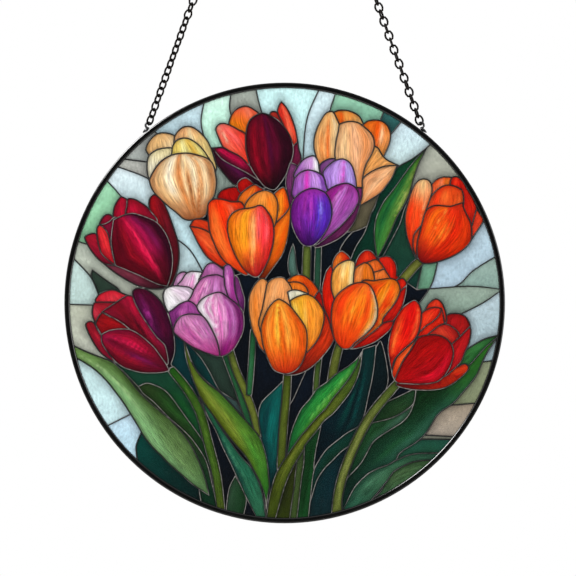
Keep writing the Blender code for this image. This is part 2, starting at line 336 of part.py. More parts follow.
# Leaves and stems, back ones first. The flower heads lie over them.
GREENERY = {
    "shaded_leaf_right": leaf([(55, 8), (53, 26), (55, 48)], 13),
    "tall_leaf_dark_half": [
        (64.5, 70.5, 0), (58.4, 65.7), (51.8, 62), (46, 57), (43, 50), (41, 44), (39, 40),
        (37.8, 36), (35.8, 31), (32.6, 26), (30.2, 20.5), (29, 16, 0), (42, 19, 0), (43, 34),
        (47, 47), (54, 57)],
    "tall_leaf": [(64.5, 70.5, 0), (60.3, 66), (56.2, 61), (52.6, 56), (49, 51), (45.3, 46.4),
                  (42.8, 41.7), (41.2, 37), (40.7, 30), (42, 20, 0), (45.4, 26.4), (48.2, 32.4),
                  (51, 39), (54, 44), (56.6, 49.6), (58.5, 56.5), (61, 63.5)],
    "stem_orange_right": stem([(62.5, 20), (57, 14.5), (46, 1)], 4.2),
    "broad_leaf_right": [
        (97.5, -14.5, 0), (92.5, -21.5), (89.6, -27.2), (87.4, -32.3), (84.8, -36.1), (81, -40.5),
        (76.5, -45.6), (72.1, -48.5), (68.9, -51.4), (66.7, -55.2), (63.8, -59.6), (59.4, -63.5),
        (54.3, -66.6), (51.7, -68.9), (50.6, -71.4, 0), (46.6, -73.6), (41.5, -75.5),
        (37.1, -78.1), (31.7, -83.7), (26, -95, 0), (26, -80, 0), (36, -66), (46, -55), (56, -47),
        (58, -38, 0), (80, -26), (90, -19)],
    "folded_leaf_right": [
        (59.7, -38.5, 0), (59.2, -43), (58.3, -46.5), (56.5, -50.6), (53.5, -54), (48.9, -57),
        (43.8, -60.2), (40, -63.4), (37.5, -67.8), (34.9, -72.3), (31.7, -76.1), (27.5, -80.3, 0),
        (32, -68), (38, -54.6), (44, -47), (48.9, -43.8), (54, -41.5)],
    "sage_leaf_upper": [
        (75, -68, 0), (65, -68.2), (60.6, -68.3), (55.5, -69.3), (50.8, -71.6), (46.6, -73.6),
        (41.5, -75.5), (37.1, -78.1), (31.7, -83.7), (28, -90), (24, -99, 0), (34, -96, 0),
        (44, -84), (52, -75), (62, -71.5), (74, -71, 0)],
    "sage_leaf_lower": [
        (74, -71, 0), (66, -71.3), (60, -71.8), (55.6, -73.2), (50.2, -76.1), (47.6, -79.3),
        (45.1, -83.1), (42.5, -86.9), (36, -92, 0), (44, -96, 0), (70, -78, 0)],
    "shaded_leaf_left": [
        (-76, -28, 0), (-62, -28), (-52, -27, 0), (-46, -38), (-40, -50), (-36, -62), (-32, -76),
        (-30, -95, 0), (-38, -90, 0), (-44, -74), (-56, -56), (-70, -38)],
    "pale_leaf": [
        (-99, -18, 0), (-91, -21.7), (-85.3, -24), (-78.9, -26.5), (-75, -29.5), (-70.6, -34.5),
        (-66.2, -40.2), (-62.4, -44), (-57.3, -48.5), (-53.5, -51.6), (-49.6, -55.5),
        (-45.2, -60.5), (-42, -65.6), (-39.5, -70.7), (-37.5, -75.8), (-35.8, -80.9),
        (-34.3, -87.4, 0), (-42, -82.2), (-47.1, -77.7), (-52.2, -73.3), (-56.6, -68.8),
        (-60.5, -65), (-64.3, -59.9), (-66.8, -55.5), (-70, -50.4), (-73.2, -45.3), (-77, -40.2),
        (-81.1, -35.1), (-85.3, -31), (-89.7, -27.8), (-98, -23, 0)],
    "stem_crimson_low": stem([
        (-52, -29.5), (-44, -39.5), (-38.3, -50), (-34.6, -64), (-31, -78), (-28.6, -97)], 4.1),
    "teal_leaf_left": [
        (-38.6, -42.5, 0), (-36, -45.3), (-30.6, -54.2), (-25.5, -61.8), (-20.5, -68.8),
        (-15.4, -74.5), (-12.2, -80.3), (-10.3, -86), (-9.2, -92), (-8.5, -99, 0), (-12, -99, 0),
        (-17.9, -87.3), (-21.1, -80.3), (-24.3, -73.3), (-28.1, -65.6), (-31.3, -58), (-35.1, -51)],
    "stem_pink": stem([
        (-25.5, -19), (-22.3, -30), (-19.4, -36.5), (-16.8, -43), (-14.3, -50), (-11.6, -61)], 3.5),
    "olive_leaf_left": [
        (-46, -15, 0), (-43.9, -22.4), (-42, -27.5), (-38.2, -33.2), (-34.4, -37), (-30.2, -40),
        (-24.9, -45.3), (-19.8, -51), (-14.7, -56.7), (-11.2, -61.2), (-9.3, -66.3), (-8, -71.4),
        (-7.1, -77.1), (-6.8, -82.2), (-7.7, -87.3), (-8.4, -93.5, 0), (-9, -87.9), (-10.9, -82.2),
        (-14.1, -75.8), (-17.9, -69.5), (-22.4, -64.4), (-27.5, -58), (-32.5, -51), (-36.8, -45.2),
        (-40.2, -38.5), (-43.3, -30), (-44.9, -24.3)],
    "teal_leaf_centre": [
        (-0.3, -35, 0), (-5.8, -40.4), (-9, -43.4), (-11, -46.2), (-12, -51), (-11.3, -57.5),
        (-10.2, -63), (-8, -72), (-6.6, -86, 0), (-1, -76), (1, -50)],
    "stem_apricot": stem([
        (1.4, -29), (0.8, -41.5), (-0.2, -51.6), (-1, -62), (-1.8, -76)], 3.9),
    "fresh_leaf": [
        (34.9, -22.2, 0), (32.4, -25.8), (28.5, -29), (23.5, -32.2), (19, -36), (14.5, -39.2),
        (11.4, -43.6), (7.5, -48.1), (5, -53.2), (3.1, -58.3), (1.9, -63.4), (0.9, -69.6, 0),
        (4.4, -64.6), (7.5, -60.2), (11.4, -55.7), (15.2, -51.3), (19, -47.5), (22.2, -43),
        (26, -38.5), (29.8, -33.5), (32.6, -28.6)],
    "olive_leaf_right": [
        (35.2, -22, 0), (34.4, -29), (32.7, -34.7), (29.8, -40.5), (26, -45.5), (22.2, -50),
        (17.7, -53.8), (14.5, -58.3), (10.7, -62.7), (7.5, -67.2), (5, -71.6), (3.1, -76.1),
        (0.9, -80.5), (-0.9, -86.3), (-2.6, -92), (-4.8, -100, 0), (-8.5, -100, 0), (-7.4, -90.5),
        (-6.1, -84.7), (-4.5, -79), (-2, -73.9), (0.9, -69.6, 0), (4.4, -64.6), (7.5, -60.2),
        (11.4, -55.7), (15.2, -51.3), (19, -47.5), (22.2, -43), (26, -38.5), (29.8, -33.5),
        (32.6, -28.6)],
    "stem_red": stem([
        (51.5, -36), (46.7, -41.5), (42.2, -46.8), (38.4, -52), (35.2, -57.5), (31.5, -65),
        (29, -71), (26.3, -78.6), (24.3, -87), (22.8, -99)], 4.3),
}

# Seams that part the background. Each runs on beneath whatever covers its ends.
BACKGROUND_SEAMS = [
    [(-84, 59), (-74, 48), (-66, 36)],
    [(-79, 63), (-63, 57), (-54, 50)],
    [(-36, 94), (-38, 82), (-35, 70)],
    [(-36.5, 70.4), (-31, 70.4)],
    [(-13.5, 100), (-12, 92), (-9, 82)],
    [(17, 100), (10, 83), (8, 60)],
    [(24, 98), (21, 89), (18, 80)],
    [(47, 92), (43, 82), (40, 76)],
    [(56, 86), (47, 75), (42, 68)],
    [(70, 74.5), (64.4, 70.4), (58, 62)],
    [(86, 37.5), (99, 36.5)],
    [(99, 23), (86, 15), (80, 9), (75, 6.5)],
    [(100, 6), (84, 7.6), (60, 6)],
    [(100, 7), (90, 0), (78, -6)],
    [(70, 21), (66.5, 8), (58, -4)],
    [(-99, 30), (-91, 27), (-84, 26)],
    [(-99, 22.5), (-95.2, 19.5), (-91, 15.2), (-88, 11.6), (-85.9, 7.6), (-84, 2)],
    [(-101, -0.5), (-86, -1)],
    [(-83, -57), (-69, -50)],
    [(-63, -54), (-66.9, -63), (-67.5, -67), (-66.5, -75)],
    [(-52, 31), (-43, 24), (-36, 12)],
    [(-47, 42), (-44, 34), (-36, 20)],
    [(96, -26), (84, -27.5)],
    [(92, -45), (74, -46.6)],
    [(82, -61), (60, -59.8)],
    [(-78, 66), (-62, 64)],
    [(40, 36.2), (34.5, 33.5), (31, 32.4), (28.5, 32.2), (26, 32.5)],
    [(32, 33), (30.4, 31.8), (28.4, 29.6), (26.4, 26.8), (25, 24), (24.5, 20)],
    [(-24, 12), (-16, 14), (-8, 12)],
    [(-24, 98), (-25, 88), (-22, 80)],
    [(-64, 82), (-57, 76), (-52, 70)],
    [(-13.5, -46), (-11.2, -38.3), (-8, -24)],
    [(1, -48), (3.7, -44), (6.3, -38.3), (10, -30)],
]

# Each kind of glass: its colour, and what is cut from it.
GLASS = {
    "crimson": ((0.21, 0.02, 0.03), ("tulip_crimson_top", "tulip_crimson_left", "tulip_crimson_low")),
    "red": ((0.40, 0.01, 0.01), ("tulip_red",)),
    "orange": ((0.64, 0.13, 0.03), ("tulip_orange_centre", "tulip_orange_right", "tulip_orange_yellow")),
    "apricot": ((0.69, 0.23, 0.04), ("tulip_apricot",)),
    "peach": ((0.73, 0.39, 0.20), ("tulip_peach",)),
    "cream": ((0.68, 0.47, 0.25), ("tulip_cream",)),
    "violet": ((0.32, 0.13, 0.43), ("tulip_violet",)),
    "pink": ((0.58, 0.32, 0.53), ("tulip_pink",)),
    "pale_green": ((0.21, 0.39, 0.15), ("pale_leaf", "tall_leaf", "fresh_leaf")),
    "deep_green": ((0.02, 0.09, 0.04), ("broad_leaf_right", "folded_leaf_right", "shaded_leaf_left",
                                        "shaded_leaf_right",
                                        "tall_leaf_dark_half")),
    "olive": ((0.15, 0.24, 0.03), ("olive_leaf_left", "olive_leaf_right", "stem_crimson_low",
                                   "stem_apricot", "stem_red")),
    "teal": ((0.02, 0.15, 0.10), ("teal_leaf_centre", "teal_leaf_left", "sage_leaf_upper",
                                  "sage_leaf_lower")),
    "mist": ((0.32, 0.43, 0.42), ("sky_pane",)),
    "night": ((0.02, 0.05, 0.03), ("shade_pane",)),
}


# Plane geometry.

def between_knots(knots, steps):
    """The Catmull-Rom curve from the second knot up to, but not including, the last but one."""
    knots = [Vector(p[:2]) for p in knots]
    curve = []
    for a, b, c, d in zip(knots, knots[1:], knots[2:], knots[3:]):
        for step in range(steps):
            t = step / steps
            curve.append(0.5 * (2 * b + (c - a) * t + (2 * a - 5 * b + 4 * c - d) * t * t
                                + (3 * b - a - 3 * c + d) * t ** 3))
    return curve


def smooth(points, steps=10):
    """A curve through the points, from the first to the last."""
    points = [Vector(p[:2]) for p in points]
    first, last = 2 * points[0] - points[1], 2 * points[-1] - points[-2]
    return between_knots([first, *points, last], steps) + [points[-1]]


def smooth_loop(points):
    """A closed curve through the points, with the corners kept."""
    corners = [k for k, point in enumerate(points) if len(point) == 3]
    if not corners:
        return between_knots([points[-1], *points, *points[:2]], EDGE_STEPS)
    points = points[corners[0]:] + points[:corners[0] + 1]
    corners = [k - corners[0] for k in corners] + [len(points) - 1]
    return [spot for start, end in zip(corners, corners[1:])
            for spot in smooth(points[start:end + 1], EDGE_STEPS)[:-1]]


def along(curve, fraction):
    """The point and the direction at a fraction of the curve's length."""
    lengths = [(b - a).length for a, b in zip(curve, curve[1:])]
    left = fraction * sum(lengths)
    for k, length in enumerate(lengths):
        if left <= length or k == len(lengths) - 1:
            break
        left -= length
    return curve[k].lerp(curve[k + 1], min(left / length, 1)), (curve[k + 1] - curve[k]).normalized()


def swell(shape, t):
    """How much of its full width a leaf has at a fraction of its length."""
    belly = shape["belly"]
    if t < belly:
        return max(0, 1 - ((belly - t) / belly) ** 2) ** shape["heel"]
    return max(0, 1 - ((t - belly) / (1 - belly)) ** 2) ** shape["sharp"]


def outline(shape):
    """The shape's edge as a closed loop of points."""
    if isinstance(shape, list):
        return smooth_loop(shape)
    curve = smooth(shape["spine"])
    right_side, left_side = [], []
    for step in range(OUTLINE_STEPS + 1):
        t = 0.5 - 0.5 * math.cos(math.pi * step / OUTLINE_STEPS)
        point, direction = along(curve, t)
        leftwards = Vector((-direction.y, direction.x)) * swell(shape, t) * shape["width"] / 2
        right_side.append(point - leftwards)
        left_side.append(point + leftwards)
    return right_side[:-1] + left_side[:0:-1]


def circle(radius, steps, centre=(0, 0)):
    angles = [math.tau * step / steps for step in range(steps)]
    return [Vector((centre[0] + radius * math.cos(a), centre[1] + radius * math.sin(a))) for a in angles]


def cut_up(polygons, lines=()):
    """Triangles along every polygon and line: points, triangles with the polygons over each, line edges."""
    points, edges = [], []
    for line in lines:
        start = len(points)
        edges += [(start + k, start + k + 1) for k in range(len(line) - 1)]
        points += line
    line_edges = len(edges)
    for polygon in polygons:
        start, corners = len(points), len(polygon)
        edges += [(start + k, start + (k + 1) % corners) for k in range(corners)]
        points += polygon
    cut = delaunay_2d_cdt(points, edges, [], 0, MERGE_DISTANCE, True)
    spots = np.array(cut[0])
    middles = spots[np.array(cut[2])].mean(axis=1)
    over = [set() for _ in cut[2]]
    for number, polygon in enumerate(polygons):
        for k in np.flatnonzero(covers(polygon, middles)):
            over[k].add(number)
    on_line = {frozenset(edge) for edge, source in zip(cut[1], cut[4])
               if any(number < line_edges for number in source)}
    return cut[0], list(zip(map(tuple, cut[2]), over)), on_line


def covers(polygon, spots):
    """Which of the spots a polygon covers."""
    inside = np.zeros(len(spots), bool)
    for a, b in zip(polygon, polygon[1:] + polygon[:1]):
        if a.y != b.y:
            beside = (a.y > spots[:, 1]) != (b.y > spots[:, 1])
            inside ^= beside & (spots[:, 0] < a.x + (spots[:, 1] - a.y) * (b.x - a.x) / (b.y - a.y))
    return inside


def sides(triangle):
    return [frozenset((triangle[k], triangle[(k + 1) % 3])) for k in range(3)]


def touching(triangles):
    """The triangles on each edge."""
    table = {}
    for number, triangle in enumerate(triangles):
        for side in sides(triangle):
            table.setdefault(side, []).append(number)
    return table


def joined(count, pairs):
    """A group number for each of count things, where the pairs belong together."""
    parent = list(range(count))

    def root(number):
        while parent[number] != number:
            parent[number] = parent[parent[number]]
            number = parent[number]
        return number

    for a, b in pairs:
        parent[root(a)] = root(b)
    return [root(number) for number in range(count)]


def area(points, triangle):
    a, b, c = (points[k] for k in triangle)
    return abs((b - a).cross(c - a)) / 2


def simpler(line, tolerance):
    """The line with the points left out that lie within the tolerance of it."""
    if len(line) < 3:
        return line
    start, end = line[0], line[-1]
    chord = end - start
    if chord.length < tolerance:
        distances = [(p - start).length for p in line]
    else:
        distances = [abs(chord.cross(p - start)) / chord.length for p in line]
    furthest = max(range(len(line)), key=distances.__getitem__)
    if distances[furthest] < tolerance:
        return [start, end]
    return simpler(line[:furthest + 1], tolerance)[:-1] + simpler(line[furthest:], tolerance)


# The cartoon: which pane every spot of the disc belongs to.

def pane_plan():
    """Points and triangles of the disc, with the pane of each triangle and a name for each pane."""
    shapes = [(name, shape) for name, shape in GREENERY.items()]
    shapes += [("tulip_" + name, shape) for name, petals in TULIPS.items() for shape in petals]
    disc = circle(GLASS_RADIUS, RIM_STEPS)
    points, faces, on_seam = cut_up([disc] + [outline(shape) for _, shape in shapes],
                                    [smooth(seam) for seam in BACKGROUND_SEAMS])
    faces = [(triangle, max(over)) for triangle, over in faces if 0 in over]
    triangles = [triangle for triangle, _ in faces]
    owners = ["background" if top == 0 else shapes[top - 1][0] for _, top in faces]
    pairs = [pair for side, pair in touching(triangles).items()
             if len(pair) == 2 and owners[pair[0]] == owners[pair[1]]
             and not (owners[pair[0]] == "background" and side in on_seam)]
    return points, triangles, merge_slivers(points, triangles, joined(len(triangles), pairs), owners)


def merge_slivers(points, triangles, panes, owners):
    """Panes too small to cut go to the neighbour with the longest shared edge, a background one if any."""
    name_of = {pane: owners[pane] for pane in set(panes)}
    edges = touching(triangles)
    while True:
        areas = {}
        for triangle, pane in zip(triangles, panes):
            areas[pane] = areas.get(pane, 0) + area(points, triangle)
        smallest = min(areas, key=areas.get)
        if areas[smallest] > SMALLEST_PANE:
            return panes, name_of
        shared = {}
        for side, pair in edges.items():
            found = {panes[number] for number in pair}
            if len(found) == 2 and smallest in found:
                other = (found - {smallest}).pop()
                a, b = side
                worth = 1 if name_of[other] == "background" else 0.1
                shared[other] = shared.get(other, 0) + worth * (points[a] - points[b]).length
        target = max(shared, key=shared.get)
        panes = [target if pane == smallest else pane for pane in panes]


def seam_lines(points, triangles, panes):
    """The lines between panes, each from one meeting point to the next."""
    neighbours = {}
    for side, pair in touching(triangles).items():
        if len(pair) == 2 and panes[pair[0]] != panes[pair[1]]:
            a, b = side
            neighbours.setdefault(a, set()).add(b)
            neighbours.setdefault(b, set()).add(a)
    meetings = [p for p in neighbours if len(neighbours[p]) != 2]
    lines, used = [], set()
    for start in meetings + list(neighbours):
        for step in sorted(neighbours[start]):
            if frozenset((start, step)) in used:
                continue
            line = [start, step]
            used.add(frozenset(line))
            while len(neighbours[line[-1]]) == 2 and line[-1] != start:
                onward = (neighbours[line[-1]] - {line[-2]}).pop()
                used.add(frozenset((line[-1], onward)))
                line.append(onward)
            lines.append(simpler([points[p] for p in line], OUTLINE_TOLERANCE))
    return lines, [points[p] for p in meetings]


def ribbon(line, half_width):
    """Polygons that cover one width along a line: mitred quads, and discs where it turns sharply."""
    left, right = [], []
    for k, point in enumerate(line):
        before = (point - line[k - 1]).normalized() if k else (line[1] - point).normalized()
        after = (line[k + 1] - point).normalized() if k < len(line) - 1 else before
        middle = before + after
        across = Vector((-middle.y, middle.x)).normalized() if middle.length > 0.2 else after
        reach = half_width / max(across.dot(Vector((-after.y, after.x))), 0.45)
        left.append(point + across * reach)
        right.append(point - across * reach)
    pieces = []
    for k, (start, end) in enumerate(zip(line, line[1:])):
        quad = [right[k], right[k + 1], left[k + 1], left[k]]
        turns = [(b - a).normalized().cross((c - b).normalized())
                 for a, b, c in zip(quad, quad[1:] + quad[:1], quad[2:] + quad[:2])]
        if min(turns) > 0.2:
            pieces.append(quad)
            continue
        aside = Vector((start.y - end.y, end.x - start.x)).normalized() * half_width
        pieces.append([start - aside, end - aside, end + aside, start + aside])
        pieces += [circle(half_width, 6, start), circle(half_width, 6, end)]
    return pieces


# Solids. Everything is placed in metres, hung below the origin.

def hung(x, y, z):
    """A point of the panel's drawing, in millimetres from its centre, in the part's own metres."""
    return Vector((x, y, z + PANEL_Z)) * MM


def material(name, colour, roughness=0.3, metallic=0.0):
    made = bpy.data.materials.get(name) or bpy.data.materials.new(name)
    made.use_nodes = True
    shader = made.node_tree.nodes["Principled BSDF"]
    shader.inputs["Base Color"].default_value = (*colour, 1)
    shader.inputs["Roughness"].default_value = roughness
    shader.inputs["Metallic"].default_value = metallic
    return made


def place(name, bm, finish):
    """Turn a bmesh into the named object of the scene."""
    bmesh.ops.recalc_face_normals(bm, faces=bm.faces)
    mesh = bpy.data.meshes.new(name)
    bm.to_mesh(mesh)
    bm.free()
    mesh.materials.append(finish)
    thing = bpy.data.objects.new(name, mesh)
    bpy.context.scene.collection.objects.link(thing)
    return thing


def edge_loops(triangles):
    """The closed borders of a patch of counter-clockwise triangles."""
    onward = {}
    borders = {side for side, pair in touching(triangles).items() if len(pair) == 1}
    for triangle in triangles:
        for k in range(3):
            a, b = triangle[k], triangle[(k + 1) % 3]
            if frozenset((a, b)) in borders:
                onward.setdefault(a, []).append(b)
    loops = []
    while onward:
        start = next(iter(onward))
        loop = [start]
        while True:
            choices = onward[loop[-1]]
            step = choices.pop()
            if not choices:
                del onward[loop[-1]]
            if step == start:
                break
            loop.append(step)
        loops.append(loop)
    return loops


def slab(name, points, triangles, half_thickness, finish):
    """A flat plate over a patch of the drawing, with as few points as its border needs."""
    loops = []
    for loop in edge_loops(triangles):
        ring = [points[p] for p in loop]
        half = max(range(len(ring)), key=lambda k: (ring[k] - ring[0]).length)
        ring = (simpler(ring[:half + 1], BORDER_TOLERANCE)[:-1]
                + simpler(ring[half:] + ring[:1], BORDER_TOLERANCE)[:-1])
        loops.append(ring)
    outer = [loop for loop in loops if signed_area(loop) > 0]
    holes = [loop[::-1] for loop in loops if signed_area(loop) < 0]
    corners, faces, _ = cut_up(outer + holes)
    bm = bmesh.new()
    front = [bm.verts.new(hung(p.x, -half_thickness, p.y)) for p in corners]
    for triangle, over in faces:
        if over and max(over) < len(outer):
            bm.faces.new([front[k] for k in triangle])
    bmesh.ops.delete(bm, geom=[v for v in bm.verts if not v.link_faces], context="VERTS")
    grown = bmesh.ops.extrude_face_region(bm, geom=bm.faces[:], use_keep_orig=True)
    moved = [item for item in grown["geom"] if isinstance(item, bmesh.types.BMVert)]
    bmesh.ops.translate(bm, verts=moved, vec=(0, 2 * half_thickness * MM, 0))
    return place(name, bm, finish)


def signed_area(loop):
    return sum(a.cross(b) for a, b in zip(loop, loop[1:] + loop[:1])) / 2


def wire(name, path, thickness, closed, finish):
    """A round wire along points given in metres."""
    curve = bpy.data.curves.new(name, "CURVE")
    curve.dimensions = "3D"
    curve.bevel_depth = thickness / 2 * MM
    curve.bevel_resolution = 1
    curve.use_fill_caps = not closed
    spline = curve.splines.new("POLY")
    spline.points.add(len(path) - 1)
    for point, place_at in zip(spline.points, path):
        point.co = (*place_at, 1)
    spline.use_cyclic_u = closed
    curve.materials.append(finish)
    thing = bpy.data.objects.new(name, curve)
    bpy.context.scene.collection.objects.link(thing)
    return thing


def make_rim(finish):
    """The channel: a web round the outside and a flange over each face of the glass."""
    outer, web, lip = PANEL_RADIUS, PANEL_RADIUS - RIM_WEB, FLANGE_RADIUS
    deep, inner = RIM_HALF_DEPTH, RIM_HALF_DEPTH - RIM_FLANGE
    profile = [(lip, -deep), (outer, -deep), (outer, deep), (lip, deep),
               (lip, inner), (web, inner), (web, -inner), (lip, -inner)]
    bm = bmesh.new()
    rings = []
    for step in range(RIM_STEPS):
        angle = math.tau * step / RIM_STEPS
        rings.append([bm.verts.new(hung(r * math.cos(angle), y, r * math.sin(angle))) for r, y in profile])
    for ring, following in zip(rings, rings[1:] + rings[:1]):
        for k in range(len(profile)):
            j = (k + 1) % len(profile)
            bm.faces.new([ring[k], ring[j], following[j], following[k]])
    rim = place("rim", bm, finish)
    rim.data.shade_smooth()
    rim.data.set_sharp_from_angle(angle=math.radians(30))


def pane_glass(name):
    """The material of a pane's glass."""
    kind = next(kind for kind, (_, panes) in GLASS.items() if name in panes)
    return material("glass_" + kind, GLASS[kind][0], 0.15)


def make_panel(seam_finish):
    """The solder network, and the glass plates between its seams."""
    points, triangles, (panes, pane_names) = pane_plan()
    lines, meetings = seam_lines(points, triangles, panes)
    polygons = [circle(GLASS_RADIUS, RIM_STEPS), circle(NETWORK_RADIUS, RIM_STEPS)]
    for half_width in (SEAM_WIDTH / 2, SEAM_WIDTH / 2 + GAP):
        polygons += [quad for line in lines for quad in ribbon(line, half_width)]
        polygons += [circle(half_width, 6, meeting) for meeting in meetings]
    in_seam = set(range(2, 2 + (len(polygons) - 2) // 2))
    corners, faces, _ = cut_up(polygons)
    network = [face for face, over in faces if 1 in over and over & in_seam]
    openings = [face for face, over in faces if 1 in over and not over & in_seam]
    plates = [face for face, over in faces if over in ({0}, {0, 1})]
    filled = too_small(corners, openings, set(plates))
    network = keep_largest(network + list(filled))
    slab("solder_network", corners, network, GLASS_THICKNESS / 2 + SEAM_PROUD, seam_finish)

    patches = [patch for patch in patches_of([face for face in plates if face not in filled])
               if sum(area(corners, face) for face in patch) > SMALLEST_PLATE]
    patches.sort(key=lambda patch: -sum(area(corners, face) for face in patch))
    widest = [max(patch, key=lambda face: area(corners, face)) for patch in patches]
    middles = np.array([corners[k] for face in widest for k in face]).reshape(-1, 3, 2).mean(axis=1)
    owners = [None] * len(patches)
    for triangle, pane in zip(triangles, panes):
        for k in np.flatnonzero(covers([points[p] for p in triangle], middles)):
            owners[k] = pane_names[pane]
    labels = [pane_label(owner, middle) for owner, middle in zip(owners, middles)]
    for k, (label, patch) in enumerate(zip(labels, patches)):
        name = label if labels.count(label) == 1 else f"{label}_{labels[:k + 1].count(label)}"
        slab(name, corners, patch, GLASS_THICKNESS / 2, pane_glass(label))


def pane_label(owner, middle):
    """What a pane is called: a background one after where it is."""
    if owner != "background":
        return owner
    return "shade_pane" if math.dist(middle, SHADE_CENTRE) < SHADE_RADIUS else "sky_pane"


def patches_of(triangles):
    """The connected patches that triangles form."""
    groups = joined(len(triangles), [pair for pair in touching(triangles).values() if len(pair) == 2])
    patches = {}
    for triangle, group in zip(triangles, groups):
        patches.setdefault(group, []).append(triangle)
    return list(patches.values())


def too_small(points, openings, plates):
    """The triangles of openings too small for a piece of glass, which are filled with solder."""
    found = set()
    for patch in patches_of(openings):
        if sum(area(points, face) for face in patch if face in plates) < SMALLEST_PLATE:
            found.update(patch)
    return found


def keep_largest(triangles):
    return max(patches_of(triangles), key=len)


def make_hanging_link(finish):
    path = []
    for side in (1, -1):
        for step in range(7):
            angle = math.pi * (step / 6 - 0.5)
            x = side * (LINK_STRAIGHT + LINK_BEND * math.cos(angle))
            path.append(Vector((x, 0, LINK_Z + side * LINK_BEND * math.sin(angle))) * MM)
    wire("hanging_link", path, LINK_WIRE, True, finish)


def make_hanging_loop(name, side, finish):
    """A wire bent to an eye, its two feet soldered along the rim."""
    eye = LOOP_CENTRE_RADIUS
    half = [(LOOP_FOOT, LOOP_FOOT_RADIUS), (1.9, LOOP_FOOT_RADIUS), (1.0, LOOP_FOOT_RADIUS + 0.02)]
    turn = [math.radians(a) for a in range(-62, 181, 22)]
    half += [(LOOP_RADIUS * math.cos(a), eye + LOOP_RADIUS * math.sin(a)) for a in turn]
    out = Vector((side * math.sin(LOOP_ANGLE), math.cos(LOOP_ANGLE)))
    on = Vector((side * math.cos(LOOP_ANGLE), -math.sin(LOOP_ANGLE)))
    flat = [on * t + out * r for t, r in half]
    wire(name, [hung(p.x, 0, p.y) for p in flat], LOOP_WIRE, False, finish)


def make_chain(name, side, finish):
    """A tapered rod of the chain's own thickness, for a run of links."""
    direction = Vector((side * math.sin(CHAIN_LEAN), 0, -math.cos(CHAIN_LEAN)))
    start = Vector((side * LINK_STRAIGHT, 0, LINK_Z))
    across = Vector((math.cos(CHAIN_LEAN), 0, side * math.sin(CHAIN_LEAN)))
    end = CHAIN_REACH - LOOP_RADIUS - LOOP_WIRE / 2 - GAP
    stations = [(LINK_WIDTH / 2 + GAP, 0.8), (6.0, LINK_WIDTH / 2), (end - 5.0, LINK_WIDTH / 2), (end, 0.9)]
    bm = bmesh.new()
    rings = []
    for distance, radius in stations:
        ring = []
        for step in range(ROD_SIDES):
            angle = math.tau * (step + 0.5) / ROD_SIDES
            spot = start + direction * distance
            spot += (across * math.cos(angle) + Vector((0, math.sin(angle), 0))) * radius
            ring.append(bm.verts.new(spot * MM))
        rings.append(ring)
    for ring, following in zip(rings, rings[1:]):
        for k in range(ROD_SIDES):
            j = (k + 1) % ROD_SIDES
            bm.faces.new([ring[k], ring[j], following[j], following[k]])
    bm.faces.new(rings[0])
    bm.faces.new(rings[-1])
    place(name, bm, finish)


def main():
    for thing in list(bpy.data.objects):
        bpy.data.objects.remove(thing)
    black = material("blackened_metal", (0.012, 0.012, 0.013), 0.35, 0.9)
    silvery = material("tinned_wire", (0.55, 0.55, 0.56), 0.3, 1.0)
    make_rim(black)
    make_panel(black)
    make_hanging_link(black)
    for side, label in ((-1, "left"), (1, "right")):
        make_hanging_loop("hanging_loop_" + label, side, silvery)
        make_chain("chain_" + label, side, black)


main()
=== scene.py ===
# %% [markdown]
# # A stained glass suncatcher
#
# The real object is a round panel, 200 mm across: a bunch of tulips cut from streaky coloured glass and
# joined by thin blackened solder seams, held in a black channel rim and hung on a light chain of open
# links. This lesson builds it in Blender around a imported CAD model of the same object. The CAD model says
# where everything is; each visible piece made here stands for one of its solids.
#
# First the CAD model is loaded, and its box is kept. Its box is kept, because nothing made here may grow
# beyond it.

# %% Load the CAD model
import json
import math

import bmesh
import bpy
import numpy as np
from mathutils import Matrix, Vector, noise
from mathutils.bvhtree import BVHTree
from mathutils.geometry import delaunay_2d_cdt
from mathutils.kdtree import KDTree


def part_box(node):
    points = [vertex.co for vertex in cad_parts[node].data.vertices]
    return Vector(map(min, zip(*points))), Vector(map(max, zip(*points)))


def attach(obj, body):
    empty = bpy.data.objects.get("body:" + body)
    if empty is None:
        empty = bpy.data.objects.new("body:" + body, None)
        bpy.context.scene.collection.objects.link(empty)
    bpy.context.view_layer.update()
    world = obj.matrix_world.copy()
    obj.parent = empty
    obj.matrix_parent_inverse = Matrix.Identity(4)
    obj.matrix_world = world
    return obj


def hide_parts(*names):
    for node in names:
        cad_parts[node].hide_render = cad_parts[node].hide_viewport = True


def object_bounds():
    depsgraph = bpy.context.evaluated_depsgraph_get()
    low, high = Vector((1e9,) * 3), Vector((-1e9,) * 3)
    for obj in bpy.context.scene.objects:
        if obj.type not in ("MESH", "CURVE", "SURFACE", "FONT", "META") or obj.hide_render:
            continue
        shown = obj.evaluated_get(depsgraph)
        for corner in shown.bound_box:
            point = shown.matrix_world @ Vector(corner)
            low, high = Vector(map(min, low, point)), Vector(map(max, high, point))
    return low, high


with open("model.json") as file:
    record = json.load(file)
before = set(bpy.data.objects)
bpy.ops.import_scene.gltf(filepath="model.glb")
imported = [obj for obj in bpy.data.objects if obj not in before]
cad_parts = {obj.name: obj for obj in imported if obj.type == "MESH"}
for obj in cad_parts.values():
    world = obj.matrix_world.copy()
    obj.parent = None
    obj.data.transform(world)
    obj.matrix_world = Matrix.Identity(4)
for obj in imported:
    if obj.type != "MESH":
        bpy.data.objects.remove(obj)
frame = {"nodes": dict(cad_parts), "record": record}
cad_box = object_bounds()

print(len(frame["nodes"]), "CAD nodes, box", cad_box)

# %% [markdown]
# The panel stands upright in the XZ plane and faces -Y. It is easiest to draw it in millimetres from its
# own centre, as a glazier draws a full-size cartoon, and to hang the finished drawing in the model's
# metres. The sizes come from the CAD solids.

